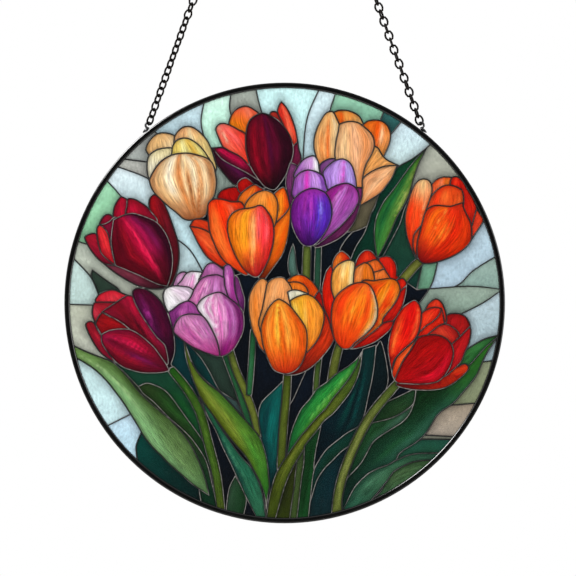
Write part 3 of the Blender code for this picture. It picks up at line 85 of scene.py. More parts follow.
# %% Where the panel hangs, and its sizes in millimetres
MM = 0.001
rim_low, rim_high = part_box("rim")
GLASS_HALF_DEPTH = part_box("tulip_violet")[1].y / MM
SEAM_HALF_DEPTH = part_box("solder_network")[1].y / MM
PANEL_RADIUS = (rim_high.x - rim_low.x) / 2 / MM
PANEL_Z = (rim_high.z + rim_low.z) / 2 / MM
RIM_HALF_DEPTH = rim_high.y / MM


def hung(x, y, z):
    """A point of the drawing, in millimetres from the panel's centre, in the model's metres."""
    return Vector((x, y, z + PANEL_Z)) * MM


print(f"panel radius {PANEL_RADIUS:.1f}, centre {PANEL_Z:.1f} below the hook,"
      f" glass {2 * GLASS_HALF_DEPTH:.1f} thick")

# %% [markdown]
# ## The cartoon
#
# A petal is an edge drawn through a few points, in order, smooth except where a third number marks a
# corner. A back petal's edge runs on beneath the petals that lie over it. A blade is drawn the same way
# along a bent spine. A small leaf or a stem is a spine with a width: `belly` says how far along it is
# widest, `sharp` how pointed its tip is and `heel` its foot.
# `glass` names four colours of the sheet: tip, left side, right side and foot, all seen from the foot.
# `streaks` are threads drawn out in the sheet: how far across each lies, from 1 on the left to -1 on the
# right, how broad it is, its colour, and how far along it starts and ends.


# %% Words to draw with
def blade(spine, edge, glass, streaks=()):
    return {"spine": spine, "edge": edge, "glass": glass, "streaks": streaks}


def petal(base, tip, edge, glass, streaks=()):
    return blade([base, tip], edge, glass, streaks)


def leaf(spine, width, glass, belly=0.5, sharp=0.9, heel=0.6, streaks=()):
    return {"spine": spine, "width": width, "belly": belly, "sharp": sharp, "heel": heel,
            "glass": glass, "streaks": streaks}


def stem(spine, width, glass, streaks=()):
    return leaf(spine, width, glass, sharp=0.06, heel=0.06, streaks=streaks)


# %% [markdown]
# The flower heads, each with its back petals first, because a later shape lies over an earlier one.

# %% Twelve tulips
TULIPS = {
 "cream": [
  petal((-52, 58), (-56, 77), [(-62.3, 68), (-62.6, 71.5), (-60, 75.4), (-56.5, 77.2), (-52.2, 76.9),
        (-48, 75, 0), (-46, 66), (-55, 60)], "e4b47c e9bd84 f7e6c0 efd09c", [(0.3, 0.25, "e8c088", 0,
        1.2)]),
  petal((-40, 56), (-44, 80), [(-50.3, 73.5), (-49.6, 76.5), (-47, 79.4), (-44, 80.2), (-41, 79.4),
        (-36.9, 76), (-34, 71.5), (-32, 65.5), (-31.5, 60), (-40, 55), (-50, 62)],
        "e2a878 edc088 f4dc98 f0cc88", [(-0.1, 0.2, "f6e4b8", 0, 1.2)]),
  petal((-53, 52), (-57, 70.5), [(-61.6, 55.9, 0), (-62.5, 60), (-62.3, 65), (-61, 67.7), (-57.5, 69.8),
        (-53.2, 70.5), (-50, 70.3, 0), (-48, 62), (-55, 52)], "efe0ae f4ecd2 f2e4b4 e8cf9c"),
  petal((-40, 58), (-46, 74.8), [(-52, 64, 0), (-51.3, 68), (-50.9, 71.2), (-49.4, 73.6), (-46.8, 74.8),
        (-43.5, 74.6), (-39.5, 72.2), (-36.5, 68.8), (-34, 65, 0), (-40, 60)],
        "eccb70 eed878 f6ea9c dcae54", [(0.2, 0.2, "f8f0b0", 0.2, 1.2), (-0.4, 0.2, "e4bc58", 0, 1.2)]),
  petal((-40, 37.6), (-46, 68), [(-61.6, 55.9, 0), (-59.3, 60.5), (-56.3, 64.3), (-52.2, 66.9),
        (-48.1, 67.9), (-44.5, 68.1), (-41, 67.6), (-35.4, 65.8), (-32.6, 63), (-31.4, 58.5), (-31, 54),
        (-32, 48.8), (-34.5, 45), (-36, 39.5), (-41, 37.8), (-45.5, 38), (-49.6, 41.4), (-53.2, 44.2),
        (-58.3, 49), (-60.6, 52.4)], "f4dcb4 efc690 ecc498 8e5030", [(0.95, 0.12, "d8a070", 0, 1.2),
        (0.5, 0.13, "fbf0d8", 0.3, 1.2), (0.22, 0.09, "cf8850", 0, 1.2), (0.0, 0.06, "a4602e", -0.2, 0.8),
        (0.1, 0.05, "f4dab0", 0.3, 1.2), (-0.22, 0.1, "f8e8c8", 0.3, 1.2),
        (-0.3, 0.05, "a86434", -0.2, 0.6), (-0.45, 0.06, "d89860", 0.2, 1.2),
        (-0.6, 0.1, "f4dcb4", 0.2, 1.2), (-0.85, 0.1, "c88a58", 0, 1.2)]),
 ],
 "crimson_top": [
  petal((-14, 72), (-18, 89), [(-25, 80.5), (-24.7, 84.3), (-22.5, 87.6), (-19, 89.3), (-16, 89),
        (-12.1, 86.6, 0), (-13, 80), (-20, 76)], "ee6a50 e4821c f06848 e07018", [(-0.2, 0.3, "f08468", 0.6,
        1.3)]),
  petal((-14, 60), (-30, 81), [(-27.7, 70.5), (-30.2, 75.5), (-31.3, 79), (-30, 81.1), (-27.7, 81.6),
        (-24.9, 80.8), (-21, 78.7), (-17.5, 76.3), (-15, 68), (-17, 62), (-22, 67)],
        "ee8a78 ee6a54 ee4a3c e0341e", [(0.3, 0.12, "f8c0a8", 0.5, 1.2), (-0.3, 0.2, "f4706c", 0.4, 1.2)]),
  petal((-10, 53), (-33, 70), [(-33.2, 70.2, 0), (-32, 66.8), (-31, 63.2), (-28.5, 59.8), (-25, 55.6),
        (-22.5, 53.6), (-18, 52), (-8, 52.5), (-8, 58), (-20, 64)], "3a1022 300a1c 4a1030 100408", [(0.2,
        0.2, "541440", 0.2, 0.9)]),
  petal((-12, 56), (-32, 70), [(-32.4, 70.4, 0), (-28.2, 70.7), (-25, 69), (-21.5, 67.3), (-18.5, 65),
        (-12, 58, 0), (-12, 55.7, 0), (-15.5, 58.1), (-19.6, 60.4), (-23.6, 62.4), (-27.2, 64.4),
        (-29.4, 66.2), (-31.2, 68.4)], "5a1024 4a0c24 8c1038 2c0614", [(-0.45, 0.3, "c0184c", 0.3, 1.1)]),
  petal((2, 74), (-5, 87), [(-6.6, 86.3), (-5, 87), (-3.2, 86.3), (-0.5, 83.4), (2, 79), (0, 76), (-6, 84)],
        "a83428 983028 8c1c24 701420"),
  petal((2, 58), (6, 74), [(5.7, 74.4), (6.4, 70), (7.5, 65.3), (5, 61), (0, 60), (1, 70), (4.3, 73)],
        "7c1c34 5c1030 6c2040 4c1434"),
  petal((4, 66), (-1.6, 91.4), [(-1.6, 91.4, 0), (0.5, 89.2), (2.7, 85.3), (4.4, 80.7), (5.4, 76.5),
        (5.7, 73.3), (4.2, 71.6, 0), (2, 70), (1.4, 76), (-0.9, 81.5), (-3.2, 86.6), (-2.6, 89.8)],
        "d83a2c c42c24 e8553c a02c2c", [(-0.3, 0.25, "ee7458", 0.2, 1.1)]),
  petal((-5, 51.4), (-9.9, 86.2), [(-9.9, 86.2), (-5.5, 84.6), (-1.7, 81.7), (1.5, 77.5), (3.4, 73),
        (3.9, 68.5), (2.7, 63.4), (0.5, 58), (-2.5, 53.5), (-4.9, 51.4), (-8.9, 52.7), (-12.4, 56.8),
        (-15.3, 61.4), (-17.1, 67), (-17.8, 72.6), (-17.4, 78.7), (-16, 82.8), (-13.2, 85.2)],
        "4c0c24 6c0a1c 34081a 14040a", [(0.95, 0.2, "540a1a", 0, 1.2), (0.6, 0.12, "8c0c24", 0.1, 1.0),
        (0.35, 0.08, "5c0a1c", 0, 1.2), (0.15, 0.1, "7c0c28", 0.1, 1.0), (-0.1, 0.1, "4c0c30", 0.2, 1.2),
        (-0.35, 0.1, "5c0c2c", 0.2, 1.1), (-0.7, 0.2, "2c0818", 0, 1.2)]),
 ],
 "peach": [
  petal((30, 70), (28, 88), [(22.2, 86.6, 0), (24.5, 87.5), (28.5, 87.4), (32.1, 86.1), (34.3, 84.2),
        (35.9, 81, 0), (30, 76), (24, 79)], "e88c3c ea7c28 f0c080 e8a050", [(0.45, 0.18, "e4601c", 0, 1.3),
        (0.05, 0.2, "f0a85c", 0, 1.3)]),
  petal((40, 66), (43, 83), [(35.4, 81, 0), (37.7, 82.6), (40.7, 83.1), (43.8, 82.7), (46.3, 81),
        (47.8, 78.3), (48.1, 75.5), (47.4, 72), (46.1, 69), (44.8, 66, 0), (41, 69), (38, 75)],
        "ec7424 ee7c2c f0a060 eca050", [(0.0, 0.3, "e45c18", 0.4, 1.3), (-0.35, 0.14, "f4c8a0", 0.3, 1.0),
        (-0.1, 0.12, "e8642c", 0, 0.6)]),
  petal((20, 56), (20.5, 87), [(21.1, 87.1), (22.6, 86), (23.8, 83.3), (24.8, 81, 0), (27, 75), (26, 60),
        (15.8, 61), (14.4, 66), (13.3, 70.1), (13.4, 75), (14.7, 79.5), (16.5, 83.1), (18.6, 86.1)],
        "efb878 eeb87c f4d4a0 e07c38", [(0.1, 0.12, "e07030", 0, 0.95), (0.5, 0.16, "e89858", 0.1, 0.8),
        (-0.5, 0.15, "f8dcb0", 0.2, 1.2)]),
  petal((36, 54), (48, 64), [(40.7, 71.4, 0), (42.5, 70.2), (44.4, 67), (46.5, 65), (49, 63.7),
        (51.6, 62.6, 0), (46, 58), (36, 52), (34, 58), (38, 66)], "eab070 eca864 f0b070 ea9850"),
  petal((34.6, 44.6), (50, 62), [(51, 62.5, 0), (49, 57.4), (46.3, 53.3), (43.8, 50.2), (40.7, 48),
        (37.7, 46.2), (34.4, 44.4, 0), (34.8, 49), (35.2, 53.5), (35.5, 56.5), (38.2, 59), (41.8, 60.9),
        (45.8, 62.2)], "ecb888 efb080 eaa470 d88c54", [(0.2, 0.2, "f4c498", 0, 1.0)]),
  petal((33, 50), (30.5, 82.5), [(24.8, 81.2, 0), (27.5, 82.2), (30.5, 82.5), (33.6, 81.8), (36.6, 79.6),
        (39.2, 77.1), (40.5, 74.5), (40.7, 71.1), (39.4, 67.4), (37.2, 63.5), (35.9, 59.4), (35.2, 55.3),
        (35.1, 51.5), (32, 50), (26, 56), (22.9, 65.8), (23.3, 73.5), (24.3, 78)],
        "ecb482 eec090 eaa878 e0925c", [(0.5, 0.2, "f4d0a0", 0.2, 1.0), (-0.1, 0.2, "f0bc94", 0.1, 1.1),
        (-0.6, 0.15, "e89c64", 0, 1.1)]),
 ],
 "violet": [
  petal((12, 25), (34, 45), [(34, 46), (33.3, 41), (31.2, 36), (27, 31), (21, 27.3), (14, 25.2), (14, 30),
        (28, 40)], "5c2450 4c1c44 6c2a58 280a28"),
  petal((4, 44), (3, 63.6), [(2.6, 63.8, 0), (5.6, 62.2), (7, 58), (5, 46), (2.4, 44.5), (1.3, 49.2),
        (0.4, 54), (1, 59)], "744068 6c3460 84487c 542048"),
  petal((20, 54), (20, 65.5), [(22.9, 65.6, 0), (20.4, 65.5), (17.8, 64.4), (15.8, 62.5), (15.8, 59.5, 0),
        (18, 57), (24, 62)], "8c5c94 7c4480 b080c0 7c4488"),
  petal((12, 50), (12, 66.6), [(13.6, 66.7), (10.7, 66.4), (8.2, 64.9), (6.2, 62.5), (4.7, 59.8), (4.4, 57),
        (10, 55), (16, 57), (15.6, 61), (15.3, 64)], "dcb4e4 b878cc fbf8fc b468c0", [(-0.65, 0.3, "ffffff",
        0.3, 1.3), (0.0, 0.2, "d8a0e0", 0, 1.2)]),
  petal((33, 45), (33.6, 52), [(32, 52), (35.1, 52.4, 0), (35.2, 48.7), (34.1, 44.6, 0), (32, 46)],
        "84346c 7c3068 8a3c74 6c2458"),
  petal((24, 44), (26.5, 65.4), [(26.5, 65.4), (29.1, 64.2), (30.7, 61.9), (31.7, 58.9), (32.4, 55.3),
        (32.6, 51, 0), (26, 48), (19, 50), (18.6, 55), (17.3, 59), (19.3, 62), (21.9, 64.2), (24, 65.1)],
        "c09ae0 b488dc b898e4 b864c0", [(0.35, 0.2, "cca8ec", 0.2, 1.2), (-0.15, 0.1, "dc60c8", 0.1, 1.1),
        (0.05, 0.12, "d89ce8", 0.2, 1.1), (-0.6, 0.2, "c4b0f0", 0.2, 1.2)]),
  petal((11, 44), (10.5, 60.4), [(10.2, 60.4), (13.2, 60), (15.8, 58.9), (17.7, 57.2), (18.7, 53.8),
        (19, 50), (12, 46), (3.8, 48), (3.8, 53.8), (4.7, 56.9), (7, 59.2)], "c878cc a864bc b894e0 8c4ca8",
        [(0.1, 0.16, "e44cc4", 0.1, 1.3), (-0.45, 0.2, "d8a8f0", 0.1, 1.2),
        (-0.85, 0.12, "8c4cb4", 0, 1.2)]),
  petal((14, 26), (28.5, 54), [(27.5, 54.4), (30.6, 53.6), (32.8, 51.6), (33.7, 49), (33.5, 46), (31.5, 42),
        (28.6, 38.3), (24.5, 34), (19, 29.6), (13.5, 26.3), (12, 32), (16, 46), (19, 50.6), (22.9, 53.2)],
        "a03c94 9c3088 b878c4 3c0a38", [(0.25, 0.07, "e0a0e0", 0.1, 1.1), (0.0, 0.12, "c888d4", 0.1, 1.1),
        (0.55, 0.15, "98288c", 0, 1.2), (-0.55, 0.2, "a050a4", 0, 1.1)]),
  petal((11.2, 25.7), (11.8, 52), [(13.2, 52.1), (16, 51.4), (18.5, 50), (20.3, 47.3), (21.4, 43.3),
        (21.3, 39), (19.8, 34.5), (17, 30), (14, 26.8), (11.2, 25.7), (8, 26.6), (5.2, 30.5), (3.4, 35),
        (2.6, 40), (3.1, 44.6), (4.7, 47.9), (7.2, 50.1), (10.2, 51.6)], "a83cac 702080 6c48c0 300848",
        [(0.3, 0.12, "a83cac", 0.45, 1.1), (0.1, 0.05, "7c2494", 0.2, 1.1),
        (-0.05, 0.08, "c04cc0", 0.4, 1.0), (-0.2, 0.06, "7420a0", 0.0, 1.0),
        (-0.5, 0.07, "988cec", 0.4, 0.9), (-0.38, 0.05, "5034b0", 0.1, 0.9),
        (-0.62, 0.05, "5c34b8", 0.1, 1.0), (-0.8, 0.1, "5828a8", 0, 1.0), (0.6, 0.06, "8c30a0", 0.1, 1.1)]),
 ],
 "orange_right": [
  petal((83, 30), (89, 40), [(87, 43.2, 0), (88.9, 40.1), (90.2, 37.5), (88.7, 34.6), (86.9, 32),
        (84.6, 28.4, 0), (82, 34), (84, 40)], "dc4428 d03820 e04c30 b82c18"),
  petal((80, 34), (79, 57), [(75.8, 57, 0), (78, 57.4), (80.3, 55.8), (83, 51.5), (85.6, 47.2),
        (87.2, 43.2), (86.6, 41), (85.1, 35.2, 0), (80, 36), (78, 50), (74.2, 53.5)],
        "d82818 cc2010 d42c18 b42012", [(-0.3, 0.2, "b81010", 0.4, 1.2), (0.3, 0.2, "e03c20", 0.2, 1.2)]),
  petal((72, 44), (72, 57), [(66.5, 53.5, 0), (68.7, 55.9), (72, 57.2), (75.9, 57.1, 0), (75.2, 55),
        (74, 52), (66, 48)], "ec5c28 f06a40 e88030 e04c20", [(0.2, 0.2, "f08860", 0.3, 1.2),
        (-0.5, 0.3, "e07830", 0.3, 1.2)]),
  petal((59.5, 20), (63.6, 56), [(63.8, 56.3), (65.7, 55.4), (66.8, 53.2), (66.9, 50.5), (65.8, 46.6),
        (64, 42.3), (62.9, 37.9), (62, 33), (61, 24), (60.2, 20), (58.4, 22.5), (55.9, 28.8), (54.8, 34.6),
        (54.8, 40.1), (56.1, 46.1), (57.5, 50.5), (59.3, 54.2), (61.5, 56)], "f4cc98 ee5c2c f0703c b81c0c",
        [(0.0, 0.5, "f0c890", 0.72, 1.4), (0.2, 0.2, "f04820", 0, 0.7), (-0.4, 0.15, "f8a878", 0.45, 1.1),
        (0.7, 0.15, "e03818", 0, 0.8)]),
  petal((60, 20), (62, 35), [(62.3, 35.5, 0), (60.3, 33.2), (58.9, 31.2), (58.2, 27.3), (58.7, 23.4),
        (60.2, 20.2, 0), (62, 24), (63, 32)], "e85c34 e04c24 e45c34 a82414"),
  petal((72, 36), (73.8, 53.5), [(66.8, 48.6), (69.3, 51.5), (71.5, 52.9), (74.2, 53.6), (77.5, 53),
        (80.6, 51.3, 0), (81.2, 48.6), (81.3, 45, 0), (74, 40), (64, 38), (64, 41.3), (65.3, 45.3)],
        "d83c18 ee5c30 e86830 e84c24", [(0.1, 0.3, "f07838", 0.5, 0.95), (-0.4, 0.2, "d85020", 0.4, 1.1),
        (0.6, 0.2, "e8401c", 0.3, 1.2)]),
  petal((61, 18.5), (76, 44.5), [(63.6, 40.6), (65.3, 43), (68.2, 44.3), (71.5, 44.2), (75.3, 43.9),
        (78.3, 44.8), (81, 45.6, 0), (81.3, 43.2), (82.7, 40), (84.4, 36.5), (85, 32.4), (84.6, 28.4),
        (82.2, 25.2), (78, 22.1), (72.5, 19.6), (66.5, 18), (62.4, 18.2), (60.4, 20.6), (60, 24.3),
        (60.3, 28.1), (61.4, 32.4), (62.5, 36.8)], "d8381c e2501e d0300e 6c0a10", [(0.5, 0.2, "f07020", 0.3,
        1.1), (0.15, 0.05, "f8a850", 0.35, 1.0), (0.0, 0.16, "ec6020", 0.2, 0.9),
        (-0.15, 0.05, "f09038", 0.3, 0.8), (-0.45, 0.14, "c82c10", 0.1, 1.1),
        (-0.3, 0.04, "f07830", 0.3, 0.9), (0.85, 0.1, "e04018", 0.1, 1.1),
        (-0.75, 0.15, "d84014", 0.3, 1.1)]),
 ],
 "crimson_left": [
  petal((-51, 8), (-60, 49), [(-59.4, 49.2), (-57.2, 48), (-55.2, 45.7), (-53.2, 41.7), (-51.5, 37.2),
        (-49.8, 32.3), (-48.4, 27.3), (-47.9, 22), (-48.4, 16.7), (-49.8, 11.8), (-51.8, 7.7), (-54, 8),
        (-54, 20), (-56, 30), (-60.5, 40), (-61.7, 44.5), (-61.2, 47.6)], "8c1420 74101c 5c1420 400c14",
        [(0.2, 0.3, "98141c", 0.5, 1.2)]),
  petal((-72, 34), (-74.5, 48), [(-77.8, 38), (-77.7, 42.5), (-76.4, 45.8), (-74.4, 48.2), (-71.8, 47.2, 0),
        (-70, 42), (-70, 38), (-75, 36)], "a0142c 98102c 80142c 6c0c20", [(0.1, 0.25, "c41c3c", 0.1, 1.0)]),
  petal((-62, 32), (-68, 47), [(-72.1, 40), (-71.7, 44), (-71.3, 47.2), (-68.5, 47.2), (-65.5, 45.7),
        (-62.6, 43.7), (-60.2, 40.8), (-57.8, 37.4), (-60, 34), (-68, 36)], "901428 ac1430 80102a 5c0c20",
        [(0.5, 0.25, "b8183c", 0.2, 1.0)]),
  petal((-78, 33), (-80.5, 40), [(-84.2, 36, 0), (-83, 38.5), (-81.3, 40.1), (-79.3, 40.1),
        (-77.4, 38.4, 0), (-76, 35), (-80, 34)], "901430 80102c 8c1430 700c28"),
  petal((-78, 20), (-80, 36.5), [(-84.2, 35.7, 0), (-82, 35.8), (-79.8, 36.8), (-76, 38), (-75, 20),
        (-79, 20), (-83, 30)], "7c1030 701030 601030 500c28"),
  petal((-77, 17), (-90, 30), [(-90.8, 29.7), (-89.6, 30.9), (-87.2, 31.7), (-85.2, 31.3, 0), (-83, 30),
        (-78, 20), (-76.5, 16.7, 0), (-79, 17.2), (-82, 17.9), (-85.2, 20.4), (-88.1, 24.1), (-89.8, 27)],
        "a01c30 80142c b01c34 5c1024"),
  petal((-77.5, 18), (-84.6, 35), [(-85.4, 32.9), (-85, 34.7), (-84, 35.4), (-82, 34), (-80.3, 31.4),
        (-79.1, 26.5), (-77.8, 20.6), (-76.8, 17, 0), (-80.3, 19.6), (-83.2, 22.6), (-84.5, 26.5),
        (-85.2, 30)], "d83838 b82430 cc2c38 b01c2c", [(-0.1, 0.4, "e03c40", 0.2, 1.0)]),
  petal((-53, 7), (-82, 18), [(-82.2, 17.8, 0), (-79, 17.2), (-75, 16.3), (-60, 10), (-52.5, 7.4, 0),
        (-56.2, 6.4), (-61.6, 6.5), (-67, 8), (-71.9, 10.5), (-76.9, 13.6), (-80.3, 16.2)],
        "6c3440 5c2434 6c2838 200a10", [(0.3, 0.3, "803c4c", 0.4, 1.0)]),
  petal((-53.3, 7.6), (-74, 40), [(-77.7, 37.7, 0), (-75.4, 38.9), (-72.4, 40.1), (-69, 40.7),
        (-65.6, 39.9), (-61.6, 38.4), (-58.4, 36.8), (-55.7, 34), (-53.3, 30), (-51.7, 25.2), (-50.9, 20.2),
        (-51.2, 15), (-52.2, 10.6), (-53.3, 7.6, 0), (-57, 8.3), (-61.6, 10.3), (-66.5, 12.8),
        (-71.5, 15.3), (-76.4, 17), (-77.5, 20), (-78.4, 24.5), (-78.8, 28.5), (-78.4, 33)],
        "8c1030 5c0818 5c0c28 3c0a14", [(-0.02, 0.09, "f03462", 0.1, 1.05), (0.12, 0.1, "b0143c", 0.0, 1.2),
        (-0.3, 0.14, "a81c50", 0.3, 1.1), (-0.55, 0.13, "701848", 0.3, 1.1),
        (-0.85, 0.15, "30081c", 0, 1.2), (0.4, 0.14, "8c1024", 0.2, 1.0),
        (0.65, 0.14, "540818", 0.1, 1.1)]),
 ],
 "orange_centre": [
  petal((-20, 42), (-24, 52.5), [(-30.6, 47), (-29.7, 50.2), (-27.3, 51.8), (-24.2, 52.6), (-21, 52.6),
        (-18, 51.6, 0), (-18, 46), (-28, 44)], "a81410 9c1010 a81412 80100c"),
  petal((-16, 48), (-18, 56.6), [(-21.6, 53.6), (-20, 56), (-17.8, 56.8), (-16, 55.9), (-13.6, 53.6, 0),
        (-14, 50), (-20, 50)], "b01c14 a81410 a81412 8c100c"),
  petal((-16, 40), (-13, 53.5), [(-21.2, 46), (-19.7, 49.7), (-16.3, 52.6), (-13.6, 53.8), (-11.2, 52.6),
        (-9, 51.2, 0), (-10, 44), (-18, 40)], "b82818 f07c2c c03018 e05c18", [(0.3, 0.4, "f08030", 0,
        1.1)]),
  petal((-2, 28), (-0.5, 52.4), [(-4.5, 50), (-1.2, 52.5), (0.2, 51.8), (1.1, 49.6), (2, 45.8), (2.1, 43.4),
        (0.1, 40.4), (-4.1, 36.2), (-6, 34), (-7, 46)], "e0581c f28c2c dc5014 c84810", [(0.2, 0.3, "f6942c",
        0.3, 1.0)]),
  petal((-8, 30), (-9, 51), [(-18.3, 43.2), (-16.8, 46.8), (-14.7, 48.9), (-12, 50.5), (-8.9, 51.2),
        (-6.2, 50.4), (-4.4, 48.7), (-3.2, 45.8), (-3.1, 42), (-3.9, 37.3), (-5.4, 33.4), (-10, 34),
        (-18, 38)], "f0984c f29038 f08c34 ee7c28", [(0.2, 0.2, "f4a450", 0.2, 1.0),
        (-0.3, 0.1, "ee7c28", 0.2, 1.0)]),
  petal((-10, 11.5), (2, 42), [(2.3, 42.8, 0), (2.6, 40), (2.2, 34.7), (1.1, 28.4), (-1, 22), (-4.7, 16.6),
        (-8.8, 11, 0), (-12, 12), (-10, 22), (-5.4, 33.6), (-2.6, 37.4), (0.5, 40.4)],
        "ec7c28 e46418 e0701c 6c200c", [(0.1, 0.2, "f08428", 0.3, 1.0), (-0.5, 0.2, "dc5c14", 0.2, 1.0)]),
  petal((-33, 31), (-41, 38), [(-43.1, 34.9, 0), (-41.8, 37.3), (-40, 38.2), (-37.3, 37.9), (-34.5, 36.8),
        (-32, 33), (-32, 30), (-36, 31)], "e04c2c d03c1c d84422 c03a1c"),
  petal((-26.5, 17.5), (-43, 34.7), [(-43.1, 34.7, 0), (-41, 30.5), (-38.9, 26.3), (-35.8, 21.5),
        (-32.1, 18.4), (-28.2, 16.3), (-25, 17), (-29, 23), (-31.5, 28), (-33.2, 31.2), (-36.3, 33.2),
        (-39.8, 34.3)], "d84828 d03c20 e46434 b83418", [(0.0, 0.2, "e86c3c", 0.2, 0.9)]),
  petal((-18, 13), (-30, 47.3), [(-18.1, 43.6, 0), (-19.7, 45.8), (-22.1, 46), (-24.7, 46.1), (-27.9, 47),
        (-31, 47.3), (-33.1, 46.8), (-34.7, 45.2), (-35, 42.1), (-34.7, 37.9), (-34.2, 33.1), (-32.6, 28.4),
        (-30, 22.6), (-26.8, 18.4), (-21.5, 14.7), (-17, 12.6), (-15, 18), (-20, 38)],
        "ec4018 f2682a ee4a28 dc4018", [(0.6, 0.2, "f47c38", 0.2, 1.0), (0.1, 0.14, "ee3814", 0.3, 1.1),
        (-0.4, 0.12, "f48060", 0.5, 1.0), (-0.2, 0.1, "f06424", 0, 0.6)]),
  petal((-13.2, 11.7), (-12.5, 44.3), [(-18.4, 42.9), (-21.5, 42.1), (-24.2, 40.2), (-25.8, 37.3),
        (-26, 33.1), (-25.2, 28.9), (-23.6, 24.2), (-21, 18.9), (-18.4, 15.2), (-15.7, 12.6), (-13.1, 11.7),
        (-11, 12.8), (-8.4, 17.3), (-6.5, 22), (-5.2, 27.3), (-4.9, 33.1), (-5.7, 37.9), (-7.6, 41.3),
        (-9.7, 43.8), (-11.5, 44.4), (-13.6, 43.7), (-16.1, 43.1)], "ee6048 f29428 e83c40 8c1418", [(0.9,
        0.15, "ec7c1c", 0.1, 1.1), (0.45, 0.2, "f6a830", 0.3, 1.1), (0.12, 0.08, "f8d090", 0.25, 0.95),
        (0.2, 0.07, "f4a058", 0.0, 0.9), (-0.12, 0.13, "f4686c", 0.4, 1.1),
        (-0.4, 0.14, "f0404c", 0.3, 1.1), (-0.6, 0.1, "f46870", 0.4, 1.0),
        (-0.85, 0.14, "dc3028", 0.1, 1.1), (0.05, 0.1, "c83838", -0.2, 0.35)]),
 ],
 "pink": [
  petal((-46, 7), (-47, 14), [(-50.6, 7), (-49.7, 11.2), (-48.1, 13.4), (-45.5, 14.1), (-43, 12), (-46, 6)],
        "c88cbc d8a0cc f0d0e8 c080b4"),
  petal((-42, 2), (-41, 14.3), [(-48.5, 7.2), (-46.7, 10.5), (-45, 13.1), (-42.4, 14.4), (-39.1, 14.1),
        (-36, 13.8, 0), (-37, 8), (-41, 3)], "faf0f8 ecb4dc f8ecf6 e0a0d0", [(0.1, 0.12, "ec9cd0", 0, 1.0),
        (-0.4, 0.2, "ffffff", 0.3, 1.2)]),
  petal((-32, 6), (-33, 18), [(-39, 9.6), (-37.4, 13.8), (-35.8, 16.9), (-33.9, 18.1), (-31.5, 17.9),
        (-29.2, 16.2), (-27.4, 14.8, 0), (-26, 10), (-34, 8)], "bc78b0 c070ac b878ac a86498", [(0.1, 0.12,
        "d890c4", 0.4, 1.1), (0.5, 0.07, "a45c98", 0, 1.1)]),
  petal((-19, -4), (-22, 12.5), [(-22.8, 12.8, 0), (-21, 11.1), (-19.5, 6.5), (-18.2, 1.8), (-18.3, -2.5),
        (-18.8, -5, 0), (-22, -2), (-24, 5)], "783470 904c88 6c2c68 501850"),
  petal((-23, -2), (-25.6, 17.4), [(-27.7, 15.8), (-26.8, 17.1), (-25.4, 17.5), (-24, 16.2), (-23, 13.6),
        (-22.8, 8.4), (-22.1, 3.7), (-20.8, -0.6, 0), (-25, 0), (-27, 4), (-27.6, 9)],
        "b468ac c070b4 a44c98 943c88", [(-0.1, 0.25, "b03c98", 0, 0.9), (0.4, 0.15, "dc98cc", 0.3, 1.0)]),
  petal((-38, -4), (-33, 12.5), [(-42, 5), (-39.1, 9.8), (-37.2, 11.5), (-34.4, 12.5), (-30.6, 12.8),
        (-27.4, 11.5, 0), (-27.2, 7.9), (-25.8, 3, 0), (-32, 0), (-39, -4), (-44, 1), (-42.6, 3.2)],
        "bc70ac d88cc0 c080b8 c470a8", [(0.55, 0.1, "ee98cc", 0, 0.9), (0.25, 0.05, "f8c8e4", 0, 0.95),
        (0.0, 0.05, "eab0d8", 0.3, 1.0), (0.4, 0.05, "b45c9c", 0.1, 1.0), (-0.4, 0.1, "cc90c8", 0.2, 1.0),
        (-0.2, 0.05, "a85c98", 0.1, 1.0), (-0.7, 0.1, "a05890", 0.1, 1.0)]),
  petal((-44, -2), (-52.5, 6.5), [(-55.3, 2.7), (-54.7, 5.6), (-52.8, 7.2), (-49.5, 7.8), (-46.2, 7.6),
        (-43.3, 7.1), (-41.5, 5.9, 0), (-42.2, 3.7), (-44.5, 0.6), (-47.6, -0.3), (-50.9, -2.9),
        (-53, -4.3, 0), (-54.4, -1.2)], "f8f6f4 ffffff f0e0f0 f8ecf6", [(0.0, 0.15, "e8e0e4", 0.2, 1.0),
        (-0.4, 0.25, "f0dcec", 0, 1.0)]),
  petal((-44, -8), (-44.5, 0.8), [(-53, -4.3, 0), (-50, -2.5), (-47.1, -0.1), (-43.8, 0.9), (-41.5, -0.1),
        (-39.8, -1.8), (-37.5, -5.5, 0), (-40, -9), (-48, -10), (-50.7, -12.4, 0), (-51.9, -8.1)],
        "a8509c 84387c b05ca4 84387c", [(0.35, 0.1, "e488cc", 0, 1.2), (0.5, 0.08, "8c3c84", 0, 1.2),
        (0.15, 0.1, "c468b4", 0, 1.2)]),
  petal((-30.5, -24), (-44, -5.2), [(-50.6, -12.9), (-50.2, -10.5), (-48.8, -7.7), (-46.7, -5.8),
        (-43.3, -5), (-40, -5.2), (-37.5, -5.8), (-35.3, -8.1), (-32.9, -12.4), (-30.8, -17.1),
        (-29.4, -22.8), (-30, -24.3), (-33.4, -23.5), (-37.7, -21.9), (-42.4, -19.7), (-46.7, -16.7),
        (-49.5, -14.3)], "cc8cb8 c4609c bc7cac a43c7c", [(0.15, 0.08, "e0a4cc", 0.3, 1.0),
        (0.45, 0.06, "b0589c", 0.1, 1.0), (-0.05, 0.05, "b46ca4", 0.2, 1.0),
        (-0.25, 0.09, "d498c4", 0.2, 1.0), (-0.45, 0.05, "ac609c", 0.2, 1.0),
        (-0.7, 0.1, "c080b4", 0.2, 1.0), (0.7, 0.08, "d484b8", 0.2, 1.0)]),
  petal((-29.3, -24.2), (-31, 5), [(-40, -1.5, 0), (-38.6, 0.8), (-36.7, 2.5), (-33.4, 4.1), (-30.1, 4.9),
